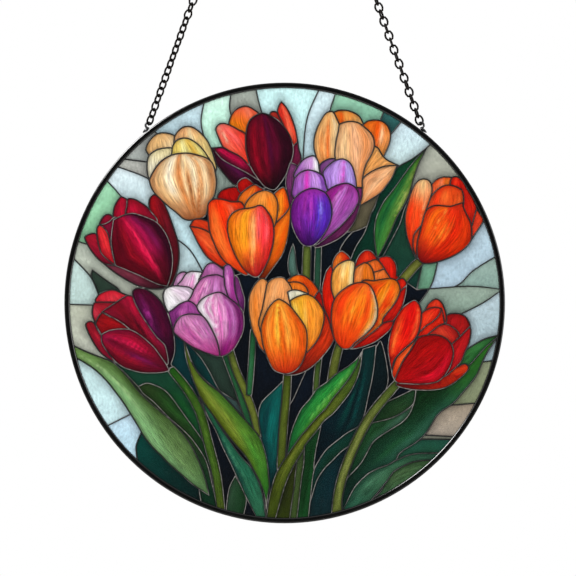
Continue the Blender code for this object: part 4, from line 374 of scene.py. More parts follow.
        (-27.7, 4.1), (-24.9, 2), (-22.1, -0.1), (-20.2, -2), (-18.8, -4.8), (-18.4, -9.1), (-19, -13.3),
        (-20.7, -17.1), (-23, -20.9), (-25.9, -23.3), (-29.2, -24.3), (-29.6, -22.3), (-30.6, -17.6),
        (-32, -13.8), (-33.9, -10), (-36.7, -6.3), (-39.1, -3.7)], "e8bcd8 fbeef6 a44c8c 9c3070", [(0.8,
        0.14, "fdf6fb", 0.2, 1.2), (0.55, 0.07, "dc88c0", 0.2, 1.1), (0.4, 0.09, "fbe8f4", 0.2, 1.0),
        (0.22, 0.08, "e080bc", 0.1, 1.1), (0.08, 0.08, "f8c8e4", 0.1, 1.0),
        (-0.1, 0.08, "d878b8", 0.1, 1.1), (-0.28, 0.09, "ecacd8", 0.2, 1.0),
        (-0.45, 0.08, "a84c98", 0.1, 1.1), (-0.62, 0.08, "c880c0", 0.2, 1.0),
        (-0.85, 0.12, "702064", 0.1, 1.1), (-0.35, 0.3, "70145c", -0.2, 0.3)]),
 ],
 "crimson_low": [
  petal((-52.5, -28.6), (-66, 6.5), [(-69.2, 3.4), (-68.6, 6), (-65.8, 6.8), (-62.6, 6), (-59.5, 4),
        (-56.3, 0.8), (-54, -2.8), (-52.2, -7.4), (-50.8, -12.4), (-50, -17.4), (-50, -22.4),
        (-51.2, -26.5), (-52.6, -28.8), (-54.5, -26), (-55, -20), (-60.4, -12.4), (-63.5, -7.8),
        (-66.3, -3.3), (-68.3, 0.4)], "480a24 541444 3c0a28 1c0812", [(0.15, 0.09, "7c2464", 0.4, 1.0),
        (0.45, 0.12, "84286c", 0.3, 0.9), (-0.02, 0.05, "a43c88", 0.5, 0.95),
        (-0.5, 0.2, "4c0c2c", 0.2, 1.2), (0.8, 0.15, "501440", 0.1, 1.0)]),
  petal((-76, -2), (-79, 5.8), [(-85.7, 0.2), (-85.2, 2.9), (-83.1, 4.7), (-79.9, 5.8), (-77.2, 5.8),
        (-74.5, 4.8), (-71.4, 3.5, 0), (-74, -2), (-80, -3)], "d02c3c c83040 cc3040 b82c3c", [(0.0, 0.3,
        "dc4450", 0.3, 0.8)]),
  petal((-80, -6), (-87, 0), [(-85.7, 0.4, 0), (-86.8, -0.4), (-87.5, -4.2), (-86.8, -7.4),
        (-85.8, -9.4, 0), (-82, -8), (-76, -4), (-77, 0.4, 0)], "9c2430 b83040 8c1c28 8c1828", [(0.6, 0.3,
        "c03c4c", 0.3, 1.0)]),
  petal((-53.5, -28), (-74, 3), [(-82.9, -3.9, 0), (-77.2, -0.1), (-74, 2), (-71.3, 3.4), (-69, 3.2, 0),
        (-67.9, -0.1), (-65.8, -4.2), (-63.1, -8.7), (-59.5, -14.2), (-55.8, -17.6), (-53.9, -20.5),
        (-53.2, -28), (-60, -22), (-70.8, -11.6), (-74.5, -8.7), (-79, -6.1)],
        "9c1a38 540c1c 901834 400a1a", [(-0.6, 0.2, "c01c40", 0.55, 1.2), (-0.2, 0.2, "9c1634", 0.2, 1.0),
        (-0.75, 0.2, "a0204c", 0.1, 0.7), (0.4, 0.25, "701020", 0.4, 1.2),
        (0.2, 0.12, "400a18", 0.2, 0.8)]),
  petal((-72, -12), (-83.5, -8), [(-82.9, -4.3, 0), (-78.1, -6.9), (-74, -9.2), (-70.6, -11.7, 0),
        (-74, -14), (-83, -14.6, 0), (-84.9, -11.5), (-85.8, -9.2), (-84.4, -6)],
        "8c141c 7c0c14 8c1418 74101c", [(-0.3, 0.3, "a41820", 0.2, 1.0)]),
  petal((-77, -26.5), (-88.5, -8.5), [(-90.4, -10.1), (-89.7, -8.7), (-88.1, -8.3), (-86.5, -9.3),
        (-85.4, -11.5), (-83.1, -15.1), (-81, -19.6), (-77, -24), (-75.8, -27.3), (-80.4, -25.1),
        (-84.2, -21.9), (-87.2, -17.4), (-89.5, -12.8)], "981c28 8c182c 7c1430 801434", [(0.2, 0.2,
        "a82434", 0.3, 0.9)]),
  petal((-52.6, -30.5), (-82.5, -16), [(-83.1, -14.3, 0), (-80.4, -12.8), (-77.2, -12), (-74, -11.8),
        (-70.8, -12), (-68.1, -13), (-64.9, -15.1), (-61.7, -17.8), (-59, -20.5), (-56.3, -24.2),
        (-53.8, -27.8), (-52.4, -30.7, 0), (-55.4, -31.5), (-59.9, -31.8), (-64.9, -31.6), (-69.5, -30.5),
        (-73.1, -29.2), (-76.3, -27.1), (-79, -24.2), (-81.7, -20.5), (-83.2, -17.4)],
        "84143a 6c1026 7c122c 4c0a20", [(-0.3, 0.06, "c82450", 0.3, 1.05), (-0.6, 0.12, "9c1634", 0.2, 1.1),
        (-0.05, 0.1, "640c24", 0.1, 1.0), (0.15, 0.16, "6c1848", 0.1, 0.7), (0.5, 0.1, "94182c", 0.3, 1.1),
        (0.8, 0.15, "5c0c1c", 0.1, 1.1), (-0.45, 0.05, "c01c48", 0.2, 0.9),
        (0.3, 0.06, "a01838", 0.3, 1.0)]),
 ],
 "apricot": [
  petal((3, -32), (18, 4), [(10.5, 5.1, 0), (15.7, 5.4, 0), (16.8, 3.6), (17.4, -0.7), (19, -6.5),
        (24, -10), (23, -15.5), (20.4, -20.3), (16.9, -24.7), (13, -28.6), (8.1, -31.6), (3.2, -32.7),
        (0, -31), (8, -16)], "a01814 a81c10 c03818 5c100c", [(-0.2, 0.25, "c43c1c", 0.2, 0.8)]),
  petal((8, 0), (6.5, 12.8), [(0.6, 10.2, 0), (3.2, 11.9), (6.1, 12.9), (8.6, 12.5), (11.5, 10.7),
        (13.5, 8.7), (15.6, 5.6, 0), (12, 2), (4, 4)], "ee7824 ec7424 dc5418 e06420", [(-0.5, 0.3, "d44c14",
        0.3, 1.2)]),
  petal((6, 0), (6, 9.4), [(1.6, 9.2, 0), (4, 9.6), (6.6, 9.3), (8.9, 8.1), (10.4, 6), (10.7, 4.2, 0),
        (6, 2), (2, 5)], "ee7c28 f09038 ec7c2c e86c24"),
  petal((-9.5, -22), (-11, 11), [(-15.6, 4.8), (-13.4, 8.7), (-10.7, 11.1), (-8.8, 10.7), (-7.6, 9.4, 0),
        (-7, 0), (-9, -10), (-9.2, -22.6, 0), (-11.5, -19.8), (-13.1, -16.2), (-14.9, -11.9), (-16, -6.7),
        (-16.5, -1.5), (-16.3, 2)], "ecA060 f0a05c ee9450 d85c18", [(-0.3, 0.2, "f4b478", 0.3, 1.0),
        (0.5, 0.2, "e88838", 0, 0.9)]),
  petal((-8, -12), (-2, 11.6), [(-7.9, 8.7), (-5.7, 10.9), (-3.2, 11.7), (-0.7, 11.6), (0.8, 10.3),
        (2.3, 8.3), (3.4, 5.9, 0), (4, 0), (0, -4), (-8, -6), (-11.3, -12.6, 0), (-11.8, -8.5),
        (-10.2, -2.6), (-9, 3.5)], "f0a86c f2a868 f0aa70 ec9850", [(0.2, 0.2, "f6b880", 0.2, 1.0)]),
  petal((4, 0), (5, 5.8), [(1.2, 5, 0), (3.2, 5.8), (6.1, 5.8), (10.3, 4.4, 0), (8, 1), (2.6, -1, 0)],
        "f8f4dc fbf8e4 f4ecc4 f4e4a4"),
  petal((10, -22.5), (9.5, 3.8), [(2.3, 1, 0), (5.6, 2.9), (9.6, 3.9), (12.2, 3.2), (14.5, 1.3),
        (16.4, -1.1), (17.7, -3.6), (17.9, -6.5), (17.4, -10), (15.9, -14.9), (13.5, -18.8),
        (10.2, -22.5, 0), (8, -16), (4, -6)], "f0a43c f6cc48 ee9030 dc6820", [(0.75, 0.2, "f8e084", 0.2,
        0.9), (0.35, 0.14, "f4b83c", 0.2, 1.1), (0.05, 0.1, "f8c468", 0.2, 0.9),
        (-0.2, 0.1, "ec8c34", 0.1, 1.1), (-0.6, 0.2, "f09c40", 0.1, 1.0)]),
  petal((0, -32), (-2.7, 1.8), [(-2.7, 1.9, 0), (0, 0.5), (2.7, -1.6), (5.1, -4.6), (7.6, -8), (9.6, -11.5),
        (10.2, -15.4), (10, -20.3), (9.1, -24.2), (7.6, -27.7), (5.1, -30.6), (1.7, -32.1), (-1.7, -31.9),
        (-5.2, -30.1), (-7.6, -25.7), (-9.6, -20.3), (-10.5, -15.4), (-10.8, -11.5), (-9.8, -7.5),
        (-7.6, -2.6), (-5.2, 0.4)], "f0a040 f08c34 ec7c28 b02c14", [(0.2, 0.1, "f8cc54", 0.3, 1.1),
        (0.05, 0.05, "d86c1c", 0.1, 1.0), (-0.08, 0.05, "cc4c10", 0.0, 0.75),
        (-0.25, 0.12, "f8b050", 0.25, 1.0), (0.45, 0.09, "ee8028", 0.2, 1.1),
        (0.65, 0.12, "f4a048", 0.3, 1.0), (0.85, 0.1, "dc5c18", 0.0, 1.0), (-0.5, 0.1, "ee8430", 0.2, 1.0),
        (-0.8, 0.12, "e05c1c", 0.1, 1.0)]),
 ],
 "orange_yellow": [
  petal((22, -14), (20, 16.5), [(20.8, 17, 0), (18.8, 14.3), (17.7, 10.5), (16.9, 6.3), (17.1, 1.5),
        (17.9, -2.7), (19.8, -7), (21, -11.2), (22.4, -16.4, 0), (24, -8), (25, 4), (22.5, 14)],
        "cc2c1c c8200c d82c1c a81c10", [(-0.2, 0.3, "e02c18", 0.2, 0.9)]),
  petal((27, 12), (25.5, 23.3), [(21.8, 14.6), (21.7, 18.1), (23.1, 21.4), (25.5, 23.5), (27.3, 22.9),
        (29.4, 20.9), (30, 19, 0), (28, 16), (24, 14)], "d84c1c e87430 c82414 dc5c20", [(0.4, 0.3, "ec8838",
        0, 1.0)]),
  petal((37, 12), (37, 23.8), [(32, 14.6), (32.3, 18.5), (34, 21.9), (36.3, 23.8), (38.7, 23.8),
        (40.6, 22.2), (42, 20, 0), (40, 16), (36, 14)], "c42818 bc2414 cc3018 a81c10", [(0.0, 0.3, "d83c20",
        0.2, 1.0)]),
  petal((47, 10), (46.5, 21), [(42.8, 20.5, 0), (45.3, 21.2), (47.7, 21), (49.8, 19), (50.8, 16.2),
        (50.8, 12.4), (50.2, 10, 0), (46, 9), (43, 16)], "d83020 e03020 c82010 d02818"),
  petal((42, 12), (41, 19.5), [(37.3, 18.4, 0), (40.6, 19.6), (42.5, 19.3), (44.5, 17.1), (45.4, 15.3, 0),
        (44, 12), (40, 11)], "e87434 e87838 e06424 dc6028"),
  petal((43, 8), (44, 14.5), [(40.5, 14, 0), (42.9, 14.6), (45.3, 15.6, 0), (46.7, 13.3), (48, 11.2, 0),
        (44, 8), (40, 9)], "ec8040 ee8844 e47030 e06c30"),
  petal((36, 6), (36.8, 18.2), [(31.5, 8), (31.5, 13.8), (32.5, 16.2), (34.9, 17.7), (36.8, 18.3),
        (38.8, 17), (40.2, 14.2), (40.7, 10), (38, 7)], "e87c34 ee8848 e07828 d8742c", [(0.0, 0.2, "d8741c",
        0.2, 1.0), (0.5, 0.2, "f09858", 0.2, 1.0)]),
  petal((51, 4), (53.5, 11), [(50.8, 10.2, 0), (53.3, 11.3), (54.9, 10), (55.3, 8), (52.4, 5, 0), (50, 6)],
        "cc2818 c02014 cc2818 a81c10"),
  petal((44.6, -9), (54.5, 7), [(55.3, 7.8, 0), (55, 4.4), (53.8, -0.4), (51.9, -4.6), (49.4, -8.1, 0),
        (47.2, -8.5), (44.2, -9.3, 0), (43, -6), (48, 0), (51, 4)], "b81c14 b41810 c42418 a81814", [(0.2,
        0.3, "cc2c1c", 0.2, 0.9)]),
  petal((31, -20.6), (49, -8.6), [(44.2, -9.4, 0), (46.7, -8.5), (49.5, -8.2, 0), (48.6, -11.2),
        (45.8, -14.1), (41.5, -17.4), (36.8, -19.5), (32.5, -20.7), (29.5, -20.9, 0), (34, -15)],
        "c02018 b01810 b81c12 8c1410", [(0.2, 0.3, "d03c28", 0.3, 1.0)]),
  petal((33, -19), (48, 11), [(34, 8.6), (40.6, 10.1), (44.4, 10.8), (48.1, 11.1), (50.6, 10.3), (52, 8.1),
        (52.4, 5.3), (51.2, 2), (49.2, -1.3), (46.4, -4.6), (44.7, -7), (44.3, -9.4, 0), (40.6, -12.8),
        (35.9, -16.2), (30, -20.8, 0), (30, -10)], "e07420 e4561c ec7028 d04012", [(0.4, 0.2, "e04c14", 0.2,
        1.0), (0.05, 0.12, "e88c20", 0.2, 1.1), (-0.15, 0.07, "f4a440", 0.3, 1.0),
        (-0.4, 0.1, "e84c18", 0.1, 1.0), (-0.85, 0.14, "f0a048", 0.2, 1.0),
        (-0.65, 0.1, "dc4410", 0.1, 0.9)]),
  petal((26, 2), (28, 19.4), [(22.5, 1.6, 0), (21.4, 5.3), (21.1, 10), (21.8, 14.3), (24, 17.2),
        (26.9, 18.9), (29.2, 19.5), (31.5, 18.8), (31.9, 17.1), (31.4, 12.9), (31.2, 8, 0), (26, 3)],
        "f6d088 f0a850 f4cc80 eeac5c", [(-0.75, 0.2, "fbeec0", 0.1, 1.1), (0.2, 0.2, "fae0a0", 0.4, 1.1),
        (0.5, 0.15, "eca04c", 0, 1.0), (-0.2, 0.15, "f0b45c", 0.1, 0.9)]),
  petal((27.5, -20.6), (37, 9), [(22.6, 1.8), (24.5, 4.4), (27.3, 6.7), (30.7, 8.6), (34, 9.3), (36.8, 9.1),
        (38.9, 7.7), (40.7, 4.4), (41.8, 0.6), (42.3, -3.2), (41.8, -7.5), (39.6, -11.2), (35.9, -15),
        (32.1, -17.9), (29.5, -20.6), (26.4, -20.8), (24, -18.8), (22.4, -16), (21.4, -11.7), (21.1, -7),
        (21.4, -2.3)], "e86830 ee5c20 ec6a20 c83412", [(-0.93, 0.13, "fbecc4", 0.12, 1.1),
        (-0.72, 0.1, "f0a84c", 0.2, 0.95), (-0.45, 0.1, "e8541c", 0.1, 0.9),
        (-0.2, 0.07, "f4902c", 0.3, 1.1), (0.05, 0.1, "f49028", 0.35, 1.05),
        (0.18, 0.05, "f8b444", 0.35, 0.9), (0.4, 0.12, "f07824", 0.2, 0.95),
        (0.7, 0.15, "e44418", 0.3, 1.1), (-0.02, 0.05, "dc5410", 0.1, 0.7)]),
 ],
 "red_low": [
  petal((74, -20), (79, -5), [(72.8, -6, 0), (75.2, -4.9), (78, -4.7), (80.9, -5.4), (82.9, -7.1),
        (84.2, -10), (84, -11.2, 0), (80, -16), (72, -14)], "8c1414 9c1418 a82020 8c1414", [(0.2, 0.3,
        "a41c20", 0.2, 1.0)]),
  petal((69, -10), (69, 1.7), [(63.4, -4, 0), (64.8, -1), (66.7, 0.9), (68.8, 1.8), (70.9, 0.7),
        (72.4, -1.9), (73.4, -5.7), (73.4, -8.6), (72.2, -9.6, 0), (68, -10)],
        "d83c24 d43820 dc3820 c02c18", [(0.0, 0.3, "e44830", 0.4, 1.0)]),
  petal((62, -13), (69, -2.4), [(61, -14, 0), (61.8, -8), (62.2, -4.8), (64.8, -2.9), (68.1, -1.9),
        (71.3, -2.5, 0), (70, -5.7), (67.2, -8.5), (63.9, -10.7)], "dc3020 e83a20 d42c18 d83820", [(0.1,
        0.3, "ee4c2c", 0.2, 0.9)]),
  petal((61, -16), (71, -3.4), [(60, -15.4, 0), (61.5, -13), (65.3, -10.4), (69.1, -7.1), (71.4, -2.8, 0),
        (72.2, -6.2), (72.6, -9.3, 0), (69.5, -10.7), (65.3, -14, 0), (63, -16)],
        "d8301c e43c20 dc2c18 cc2418"),
  petal((76, -21), (70, -10), [(65, -14.4, 0), (68.1, -11.9), (70.5, -10.2), (73.3, -9.6), (76.1, -10.8),
        (78.8, -13.3), (79.4, -15.6, 0), (76, -20), (68, -18)], "b82c24 c83c2c a82420 a41c1c", [(0.1, 0.4,
        "cc4430", 0.3, 1.0)]),
  petal((73, -33), (84, -12), [(84.2, -10.7, 0), (84.6, -13.3), (83.8, -18), (81.9, -22.3), (80.2, -26.5),
        (77.1, -29.9), (72.8, -33.6, 0), (73, -26), (75.6, -18.9, 0), (79.5, -15.4), (81.8, -13.1)],
        "b01c20 a01418 b42028 8c1014", [(-0.2, 0.3, "b82024", 0.3, 0.9)]),
  petal((48.6, -31), (59, 1), [(58.7, 1.2), (60.5, 0.2), (61.8, -2.4), (62.1, -5.7), (61.6, -10),
        (60.4, -14.2), (58.2, -17.5), (54.4, -20.8), (51.1, -24.1), (49.4, -27), (48.6, -31.5, 0),
        (47.5, -26), (46.9, -21.3), (47.3, -16.6), (48.3, -12.8), (50.1, -7.6), (53, -2.9), (55.8, -0.3)],
        "d02018 e04020 dc2818 a81014", [(0.1, 0.3, "cc1414", 0.4, 1.1), (-0.7, 0.14, "f4683c", 0.4, 1.1),
        (0.55, 0.13, "f47c3c", 0.1, 0.75), (0.3, 0.1, "ee4420", 0.1, 0.8), (0.9, 0.12, "c82014", 0, 1.1),
        (-0.3, 0.2, "d41c14", 0.3, 1.0)]),
  petal((58, -37), (83, -29), [(51, -36, 0), (59.6, -36), (69.5, -34), (72.8, -33.3, 0), (76.6, -30.8),
        (79.5, -28.4), (81.8, -27.6), (83.3, -28.6), (83.3, -30.5), (80.9, -33.1), (77.1, -36.2),
        (72.4, -38.6), (67.6, -39.5), (62, -39.6), (56.3, -39.1), (51, -37.6)],
        "cc4020 8c1010 c03018 701010", [(0.1, 0.3, "d84820", 0.5, 1.0), (-0.6, 0.3, "8c1010", 0.1, 0.9)]),
  petal((49.9, -35), (60, -15.5), [(60.4, -14.8, 0), (58.2, -17.8), (54.4, -21.1), (50.8, -24.9),
        (49.2, -28.9), (48.7, -32.2), (49.9, -35.2, 0), (52, -32), (56, -24), (60, -18)],
        "e44c20 ee5828 f06c34 cc3018", [(0.0, 0.3, "f47840", 0.2, 0.9)]),
  petal((50.5, -35.6), (74, -17), [(49.8, -35, 0), (51.6, -30.8), (53.9, -26), (57.2, -21.3), (59.6, -17.1),
        (61.2, -15.4), (64.3, -14.6), (68.1, -14.4), (71.4, -15.1), (74.3, -17), (76.2, -19.9),
        (76.6, -23.2), (75.8, -27), (74.4, -30.3), (72.4, -33.2), (69.5, -35.6), (65.3, -36.6),
        (59.6, -36.9), (54.4, -36.6), (51.6, -36.4)], "940c10 8c0c0c a80c18 a01010", [(0.3, 0.08, "b01414",
        0.2, 1.1), (0.5, 0.1, "8c0c0c", 0.2, 1.1), (0.0, 0.12, "9c1010", 0.2, 1.0),
        (-0.3, 0.16, "a41018", 0.1, 1.0), (-0.7, 0.2, "d01830", 0.2, 1.0), (0.8, 0.12, "a01010", 0.1, 1.0),
        (-0.5, 0.07, "7c080c", 0.2, 0.9)]),
 ],
}

# %% [markdown]
# Leaves and stems, back ones first. The flower heads lie over all of them.

# %% Leaves and stems
GREENERY = [
 # dark shapes behind everything
 ("right_back", blade([(50, 10), (52, 28), (56, 46)], [(58, 50, 0), (54.5, 43), (52.2, 35.8), (48.5, 28.5),
        (43, 18, 0), (60, 6, 0), (64, 30)], "2c5448 1c4838 244c3c 1c4c40")),
 ("right_back_edge", blade([(44, 18), (50, 34), (57, 50)], [(59.5, 54, 0), (54.5, 43), (52.2, 35.8),
        (48.5, 28.5), (43, 18, 0), (40, 24, 0), (48, 38)], "0c3c2c 0c3828 0c3428 0a2c24")),
 ("l5dark", petal((34, 18), (62, 69), [(64.5, 70.5, 0), (58.4, 65.7), (51.8, 62), (46, 57), (43, 50),
        (41, 44), (39, 40), (37.8, 36), (35.8, 31), (32.6, 26), (30.2, 20.5), (29, 16, 0), (42, 19, 0),
        (43, 34), (47, 47), (54, 57)], "1c5c34 0c4030 145034 0a3428", [(-0.6, 0.2, "1c6038", 0.3, 1.0)])),
 ("l5", petal((42, 20), (62.5, 70), [(64.5, 70.5, 0), (60.3, 66), (56.2, 61), (52.6, 56), (49, 51),
        (45.3, 46.4), (42.8, 41.7), (41.2, 37), (40.7, 30), (42, 20, 0), (45.4, 26.4), (48.2, 32.4),
        (51, 39), (54, 44), (56.6, 49.6), (58.5, 56.5), (61, 63.5)], "4c8430 3c8c40 94b454 4c9c48", [(-0.35,
        0.16, "c4d478", 0.15, 0.9), (0.15, 0.08, "90b858", 0.3, 0.9), (-0.8, 0.14, "6c9038", 0, 1),
        (0.6, 0.2, "24703c", 0.1, 0.9), (-0.1, 0.06, "4c8c38", 0.2, 0.9)])),
 ("mist_leaf", leaf([(6.5, 8), (3.5, 16), (3.8, 27)], 4, "6c9484 5c8478 6c8c80 4c6c60", belly=0.4)),
 ("stem_violet_b", stem([(15.4, 28), (14.6, 4)], 3.0, "2f5a44 2c5844 3a6a50 24483a")),
 ("stem_violet", stem([(10.2, 27), (9.6, 4)], 3.9, "6c7c38 62722f 6c7c38 5c6c30", [(0.0, 0.3, "84944c", 0,
        1)])),
 ("stem_orange_right", stem([(62.5, 20), (57, 14.5), (46, 1)], 4.2, "8c9444 7c8438 848c3c 6c7434", [(0.1,
        0.3, "a0a458", 0, 1)])),
 # right side, low
 ("dark_r1", blade([(40, -60), (42, -30)], [(41.5, -20, 0), (40.6, -28.4), (39.4, -36), (37.8, -43),
        (36, -51), (33, -58, 0), (44, -44, 0), (47, -34), (44, -18)], "0a1c20 08141a 0a181c 080e14")),
 ("dark_r2", blade([(16, -74), (28, -56), (37, -24)], [(35.5, -21, 0), (41.5, -19, 0), (40.6, -28.4),
        (39.4, -36), (37.8, -43), (36, -51), (33, -56.7, 0), (28.5, -58.9), (23.5, -62.7), (19, -66.5),
        (15.8, -71), (13.3, -76.1, 0), (13.5, -64), (17, -54), (26, -44), (33, -32)],
        "0c3434 08242c 0c2c2c 06141c", [(0.3, 0.12, "0c4c44", 0.3, 1.0), (-0.3, 0.1, "0f504c", 0.3, 1.0),
        (0.0, 0.08, "06181c", 0.2, 1.0)])),
 ("deep_r1", blade([(12, -88), (18, -71), (32, -60)], [(34, -56, 0), (28.5, -58.9), (23.5, -62.7),
        (19, -66.5), (15.8, -71), (13.3, -76.1), (12, -84), (10.5, -94, 0), (13.3, -84.4), (15.2, -79.3),
        (18.4, -74.8), (22.2, -71), (26, -67.2), (31, -64.5, 0)], "0f3c30 14443c 0f3828 0c3428")),
 ("deep_teal_r", blade([(17, -98), (20, -80), (29, -67)], [(31, -64, 0), (26, -67.2), (22.2, -71),
        (18.4, -74.8), (15.2, -79.3), (13.3, -84.4), (11.5, -92), (10.5, -100, 0), (24, -100, 0),
        (28, -78)], "0a2024 0c3034 0c2c34 102c30")),
 ("teal_low_r", blade([(51, -71), (62, -66), (76, -64)], [(50.8, -71.4, 0), (51.7, -68.9), (54.3, -66.6),
        (59.4, -63.5), (62.5, -61.9), (70, -61.9), (80, -62, 0), (76, -68.4, 0), (65, -68.2), (60.6, -68.3),
        (55.5, -69.3)], "2c6454 2c6450 24543f 24503c")),
 ("sage_1", blade([(28, -92), (42, -79), (54, -72.5), (72, -69.5)], [(75, -68, 0), (65, -68.2),
        (60.6, -68.3), (55.5, -69.3), (50.8, -71.6), (46.6, -73.6), (41.5, -75.5), (37.1, -78.1),
        (31.7, -83.7), (28, -90), (24, -99, 0), (34, -96, 0), (44, -84), (52, -75), (62, -71.5),
        (74, -71, 0)], "2c5040 3c6c50 4c7c5c 2c5c48", [(0.0, 0.2, "5c9070", 0.1, 0.6),
        (0.75, 0.2, "2c5844", 0.0, 0.8)])),
 ("sage_2", blade([(40, -91), (49, -79), (60, -74), (70, -72)], [(74, -71, 0), (66, -71.3), (60, -71.8),
        (55.6, -73.2), (50.2, -76.1), (47.6, -79.3), (45.1, -83.1), (42.5, -86.9), (36, -92, 0),
        (44, -96, 0), (70, -78, 0)], "4c6c48 3c5c38 4c704c 3c6448", [(0.0, 0.25, "54744c", 0.2, 0.8)])),
 ("big_right", blade([(27, -92), (40, -72), (60, -55), (78, -38), (95, -17)], [(97.5, -14.5, 0),
        (92.5, -21.5), (89.6, -27.2), (87.4, -32.3), (84.8, -36.1), (81, -40.5), (76.5, -45.6),
        (72.1, -48.5), (68.9, -51.4), (66.7, -55.2), (63.8, -59.6), (59.4, -63.5), (54.3, -66.6),
        (51.7, -68.9), (50.6, -71.4, 0), (46.6, -73.6), (41.5, -75.5), (37.1, -78.1), (31.7, -83.7),
        (26, -95, 0), (26, -80, 0), (36, -66), (46, -55), (56, -47), (58, -38, 0), (80, -26), (90, -19)],
        "4c9c34 10341c 30644c 0c2c24", [(-0.6, 0.25, "3c7058", 0.25, 0.65), (0.5, 0.4, "0c2c10", 0.45, 0.8),
        (-0.2, 0.2, "2c6c3c", 0.2, 0.5), (-0.3, 0.4, "2c6c24", 0.68, 1.0)])),
 ("big_right_lip", blade([(79, -28), (88, -21), (97, -15)], [(97.5, -14.5, 0), (91.2, -16.2), (86.1, -18.9),
        (81, -22.3), (76, -26, 0), (80, -30, 0), (83.6, -28.5), (88, -23.7), (91.2, -20.2)],
        "2c5c30 4c9450 2c6c34 3c7440")),
 ("mid_right", blade([(30, -78), (38, -63), (48, -54), (58.5, -43)], [(59.7, -38.5, 0), (59.2, -43),
        (58.3, -46.5), (56.5, -50.6), (53.5, -54), (48.9, -57), (43.8, -60.2), (40, -63.4), (37.5, -67.8),
        (34.9, -72.3), (31.7, -76.1), (27.5, -80.3, 0), (32, -68), (38, -54), (46, -45, 0), (52, -42.3)],
        "4c6c4c 24502c 38644a 0f3820", [(-0.5, 0.3, "48705a", 0.5, 1.0), (0.3, 0.2, "1c4424", 0.1, 0.7)])),
 ("mid_right_top", blade([(42, -51), (58, -42)], [(59.7, -38.5, 0), (54, -41.5), (48.9, -43.8),
        (44, -47, 0), (39, -54.6, 0), (42.5, -53.8), (47.6, -52.5), (52.1, -50.6), (55.9, -48.1),
        (58.7, -45)], "24482c 1c3c20 2c4c2c 1c3c20")),
 # left side, low
 ("dark_l1", blade([(-40, -42), (-50, -16)], [(-52, -16, 0), (-47.5, -10, 0), (-45.2, -19.2),
        (-44.9, -24.3), (-43.3, -30), (-40.7, -37), (-38, -44, 0), (-44, -38), (-50.5, -29)],
        "0a343c 0c3c40 0c3c40 0a2428")),
 ("dark_l2", blade([(-31, -38), (-42, -18)], [(-46, -16, 0), (-42.6, -19.8), (-38, -25), (-34, -31.5),
        (-31.2, -37), (-29, -41, 0), (-38, -33), (-42, -27)], "0f3c40 0c3434 104c4a 0c4440")),
 ("deep_l3", blade([(-34, -82), (-42, -52), (-58, -34)], [(-80, -24, 0), (-62, -28), (-52, -27, 0),
        (-46, -38), (-40, -50), (-36, -62), (-32, -76), (-30, -94, 0), (-35, -82), (-40, -66), (-50, -50),
        (-62, -41), (-72, -34), (-80, -26, 0)], "1c4c38 0f4428 1c5030 0a3420", [(0.0, 0.3, "1c5c2c", 0.4,
        0.9)])),
 ("deep_l2", blade([(-35, -72), (-45, -55), (-62, -38)], [(-66.5, -38, 0), (-62.4, -36.4), (-57.3, -38),
        (-54, -40), (-50.9, -43.4), (-47.7, -47.8), (-44.5, -52.3), (-40.7, -57.4), (-36.9, -63.1),
        (-34.4, -70), (-33, -80, 0), (-35.6, -72), (-38.8, -66.3), (-42.6, -61.2), (-47.1, -56.7),
        (-52.2, -52.3), (-56, -48.5), (-59.8, -44.6), (-64.5, -41)], "2c4420 24401c 2c5828 0c3018", [(0.0,
        0.25, "306028", 0.35, 0.9), (-0.8, 0.2, "1c4420", 0, 1)])),
 ("deep_l1", blade([(-34, -88), (-44, -62), (-66, -39)], [(-74, -30, 0), (-66.5, -38), (-64.3, -41),
        (-59.8, -44.6), (-56, -48.5), (-52.2, -52.3), (-47.1, -56.7), (-42.6, -61.2), (-38.8, -66.3),
        (-35.6, -72), (-33.5, -80), (-30, -95, 0), (-38, -90, 0), (-42, -72), (-56, -54), (-70, -38)],
        "3c5430 1c3420 34502c 0c3420", [(0.0, 0.3, "24401f", 0.3, 0.8)])),
 ("pale_leaf", blade([(-34.5, -87), (-50, -68), (-64, -48), (-80, -31), (-96, -21)], [(-99, -18, 0),
        (-91, -21.7), (-85.3, -24), (-78.9, -26.5), (-75, -29.5), (-70.6, -34.5), (-66.2, -40.2),
        (-62.4, -44), (-57.3, -48.5), (-53.5, -51.6), (-49.6, -55.5), (-45.2, -60.5), (-42, -65.6),
        (-39.5, -70.7), (-37.5, -75.8), (-35.8, -80.9), (-34.3, -87.4, 0), (-42, -82.2), (-47.1, -77.7),
        (-52.2, -73.3), (-56.6, -68.8), (-60.5, -65), (-64.3, -59.9), (-66.8, -55.5), (-70, -50.4),
        (-73.2, -45.3), (-77, -40.2), (-81.1, -35.1), (-85.3, -31), (-89.7, -27.8), (-98, -23, 0)],
        "8cb468 9ccc90 58783f 6c9460", [(0.3, 0.12, "d4f4b4", 0.45, 1.05), (0.6, 0.3, "a4d898", 0.2, 0.9),
        (-0.5, 0.5, "6c8c54", 0.05, 0.5), (-0.75, 0.25, "4c6834", 0.4, 0.9),
        (0.05, 0.3, "88ac70", 0.05, 0.4)])),
 ("stem_low_left", stem([(-52, -29.5), (-44, -39.5), (-38.3, -50), (-34.6, -64), (-31, -78), (-28.6, -97)],
        4.1, "5c6c24 3c5c1c 4c7428 24601c", [(-0.1, 0.3, "5c8030", 0, 0.9)])),
 ("moss_l", blade([(-23, -97), (-22, -80)], [(-22.5, -78.5, 0), (-25, -83.5), (-26.2, -90), (-26.8, -98, 0),
        (-19, -98, 0), (-17.5, -88)], "2c4c34 3c5c44 1c4424 1c3c24")),
 ("teal_leaf", blade([(-11, -97), (-19, -78), (-29, -60), (-37.5, -45)], [(-38.6, -42.5, 0), (-36, -45.3),
        (-30.6, -54.2), (-25.5, -61.8), (-20.5, -68.8), (-15.4, -74.5), (-12.2, -80.3), (-10.3, -86),
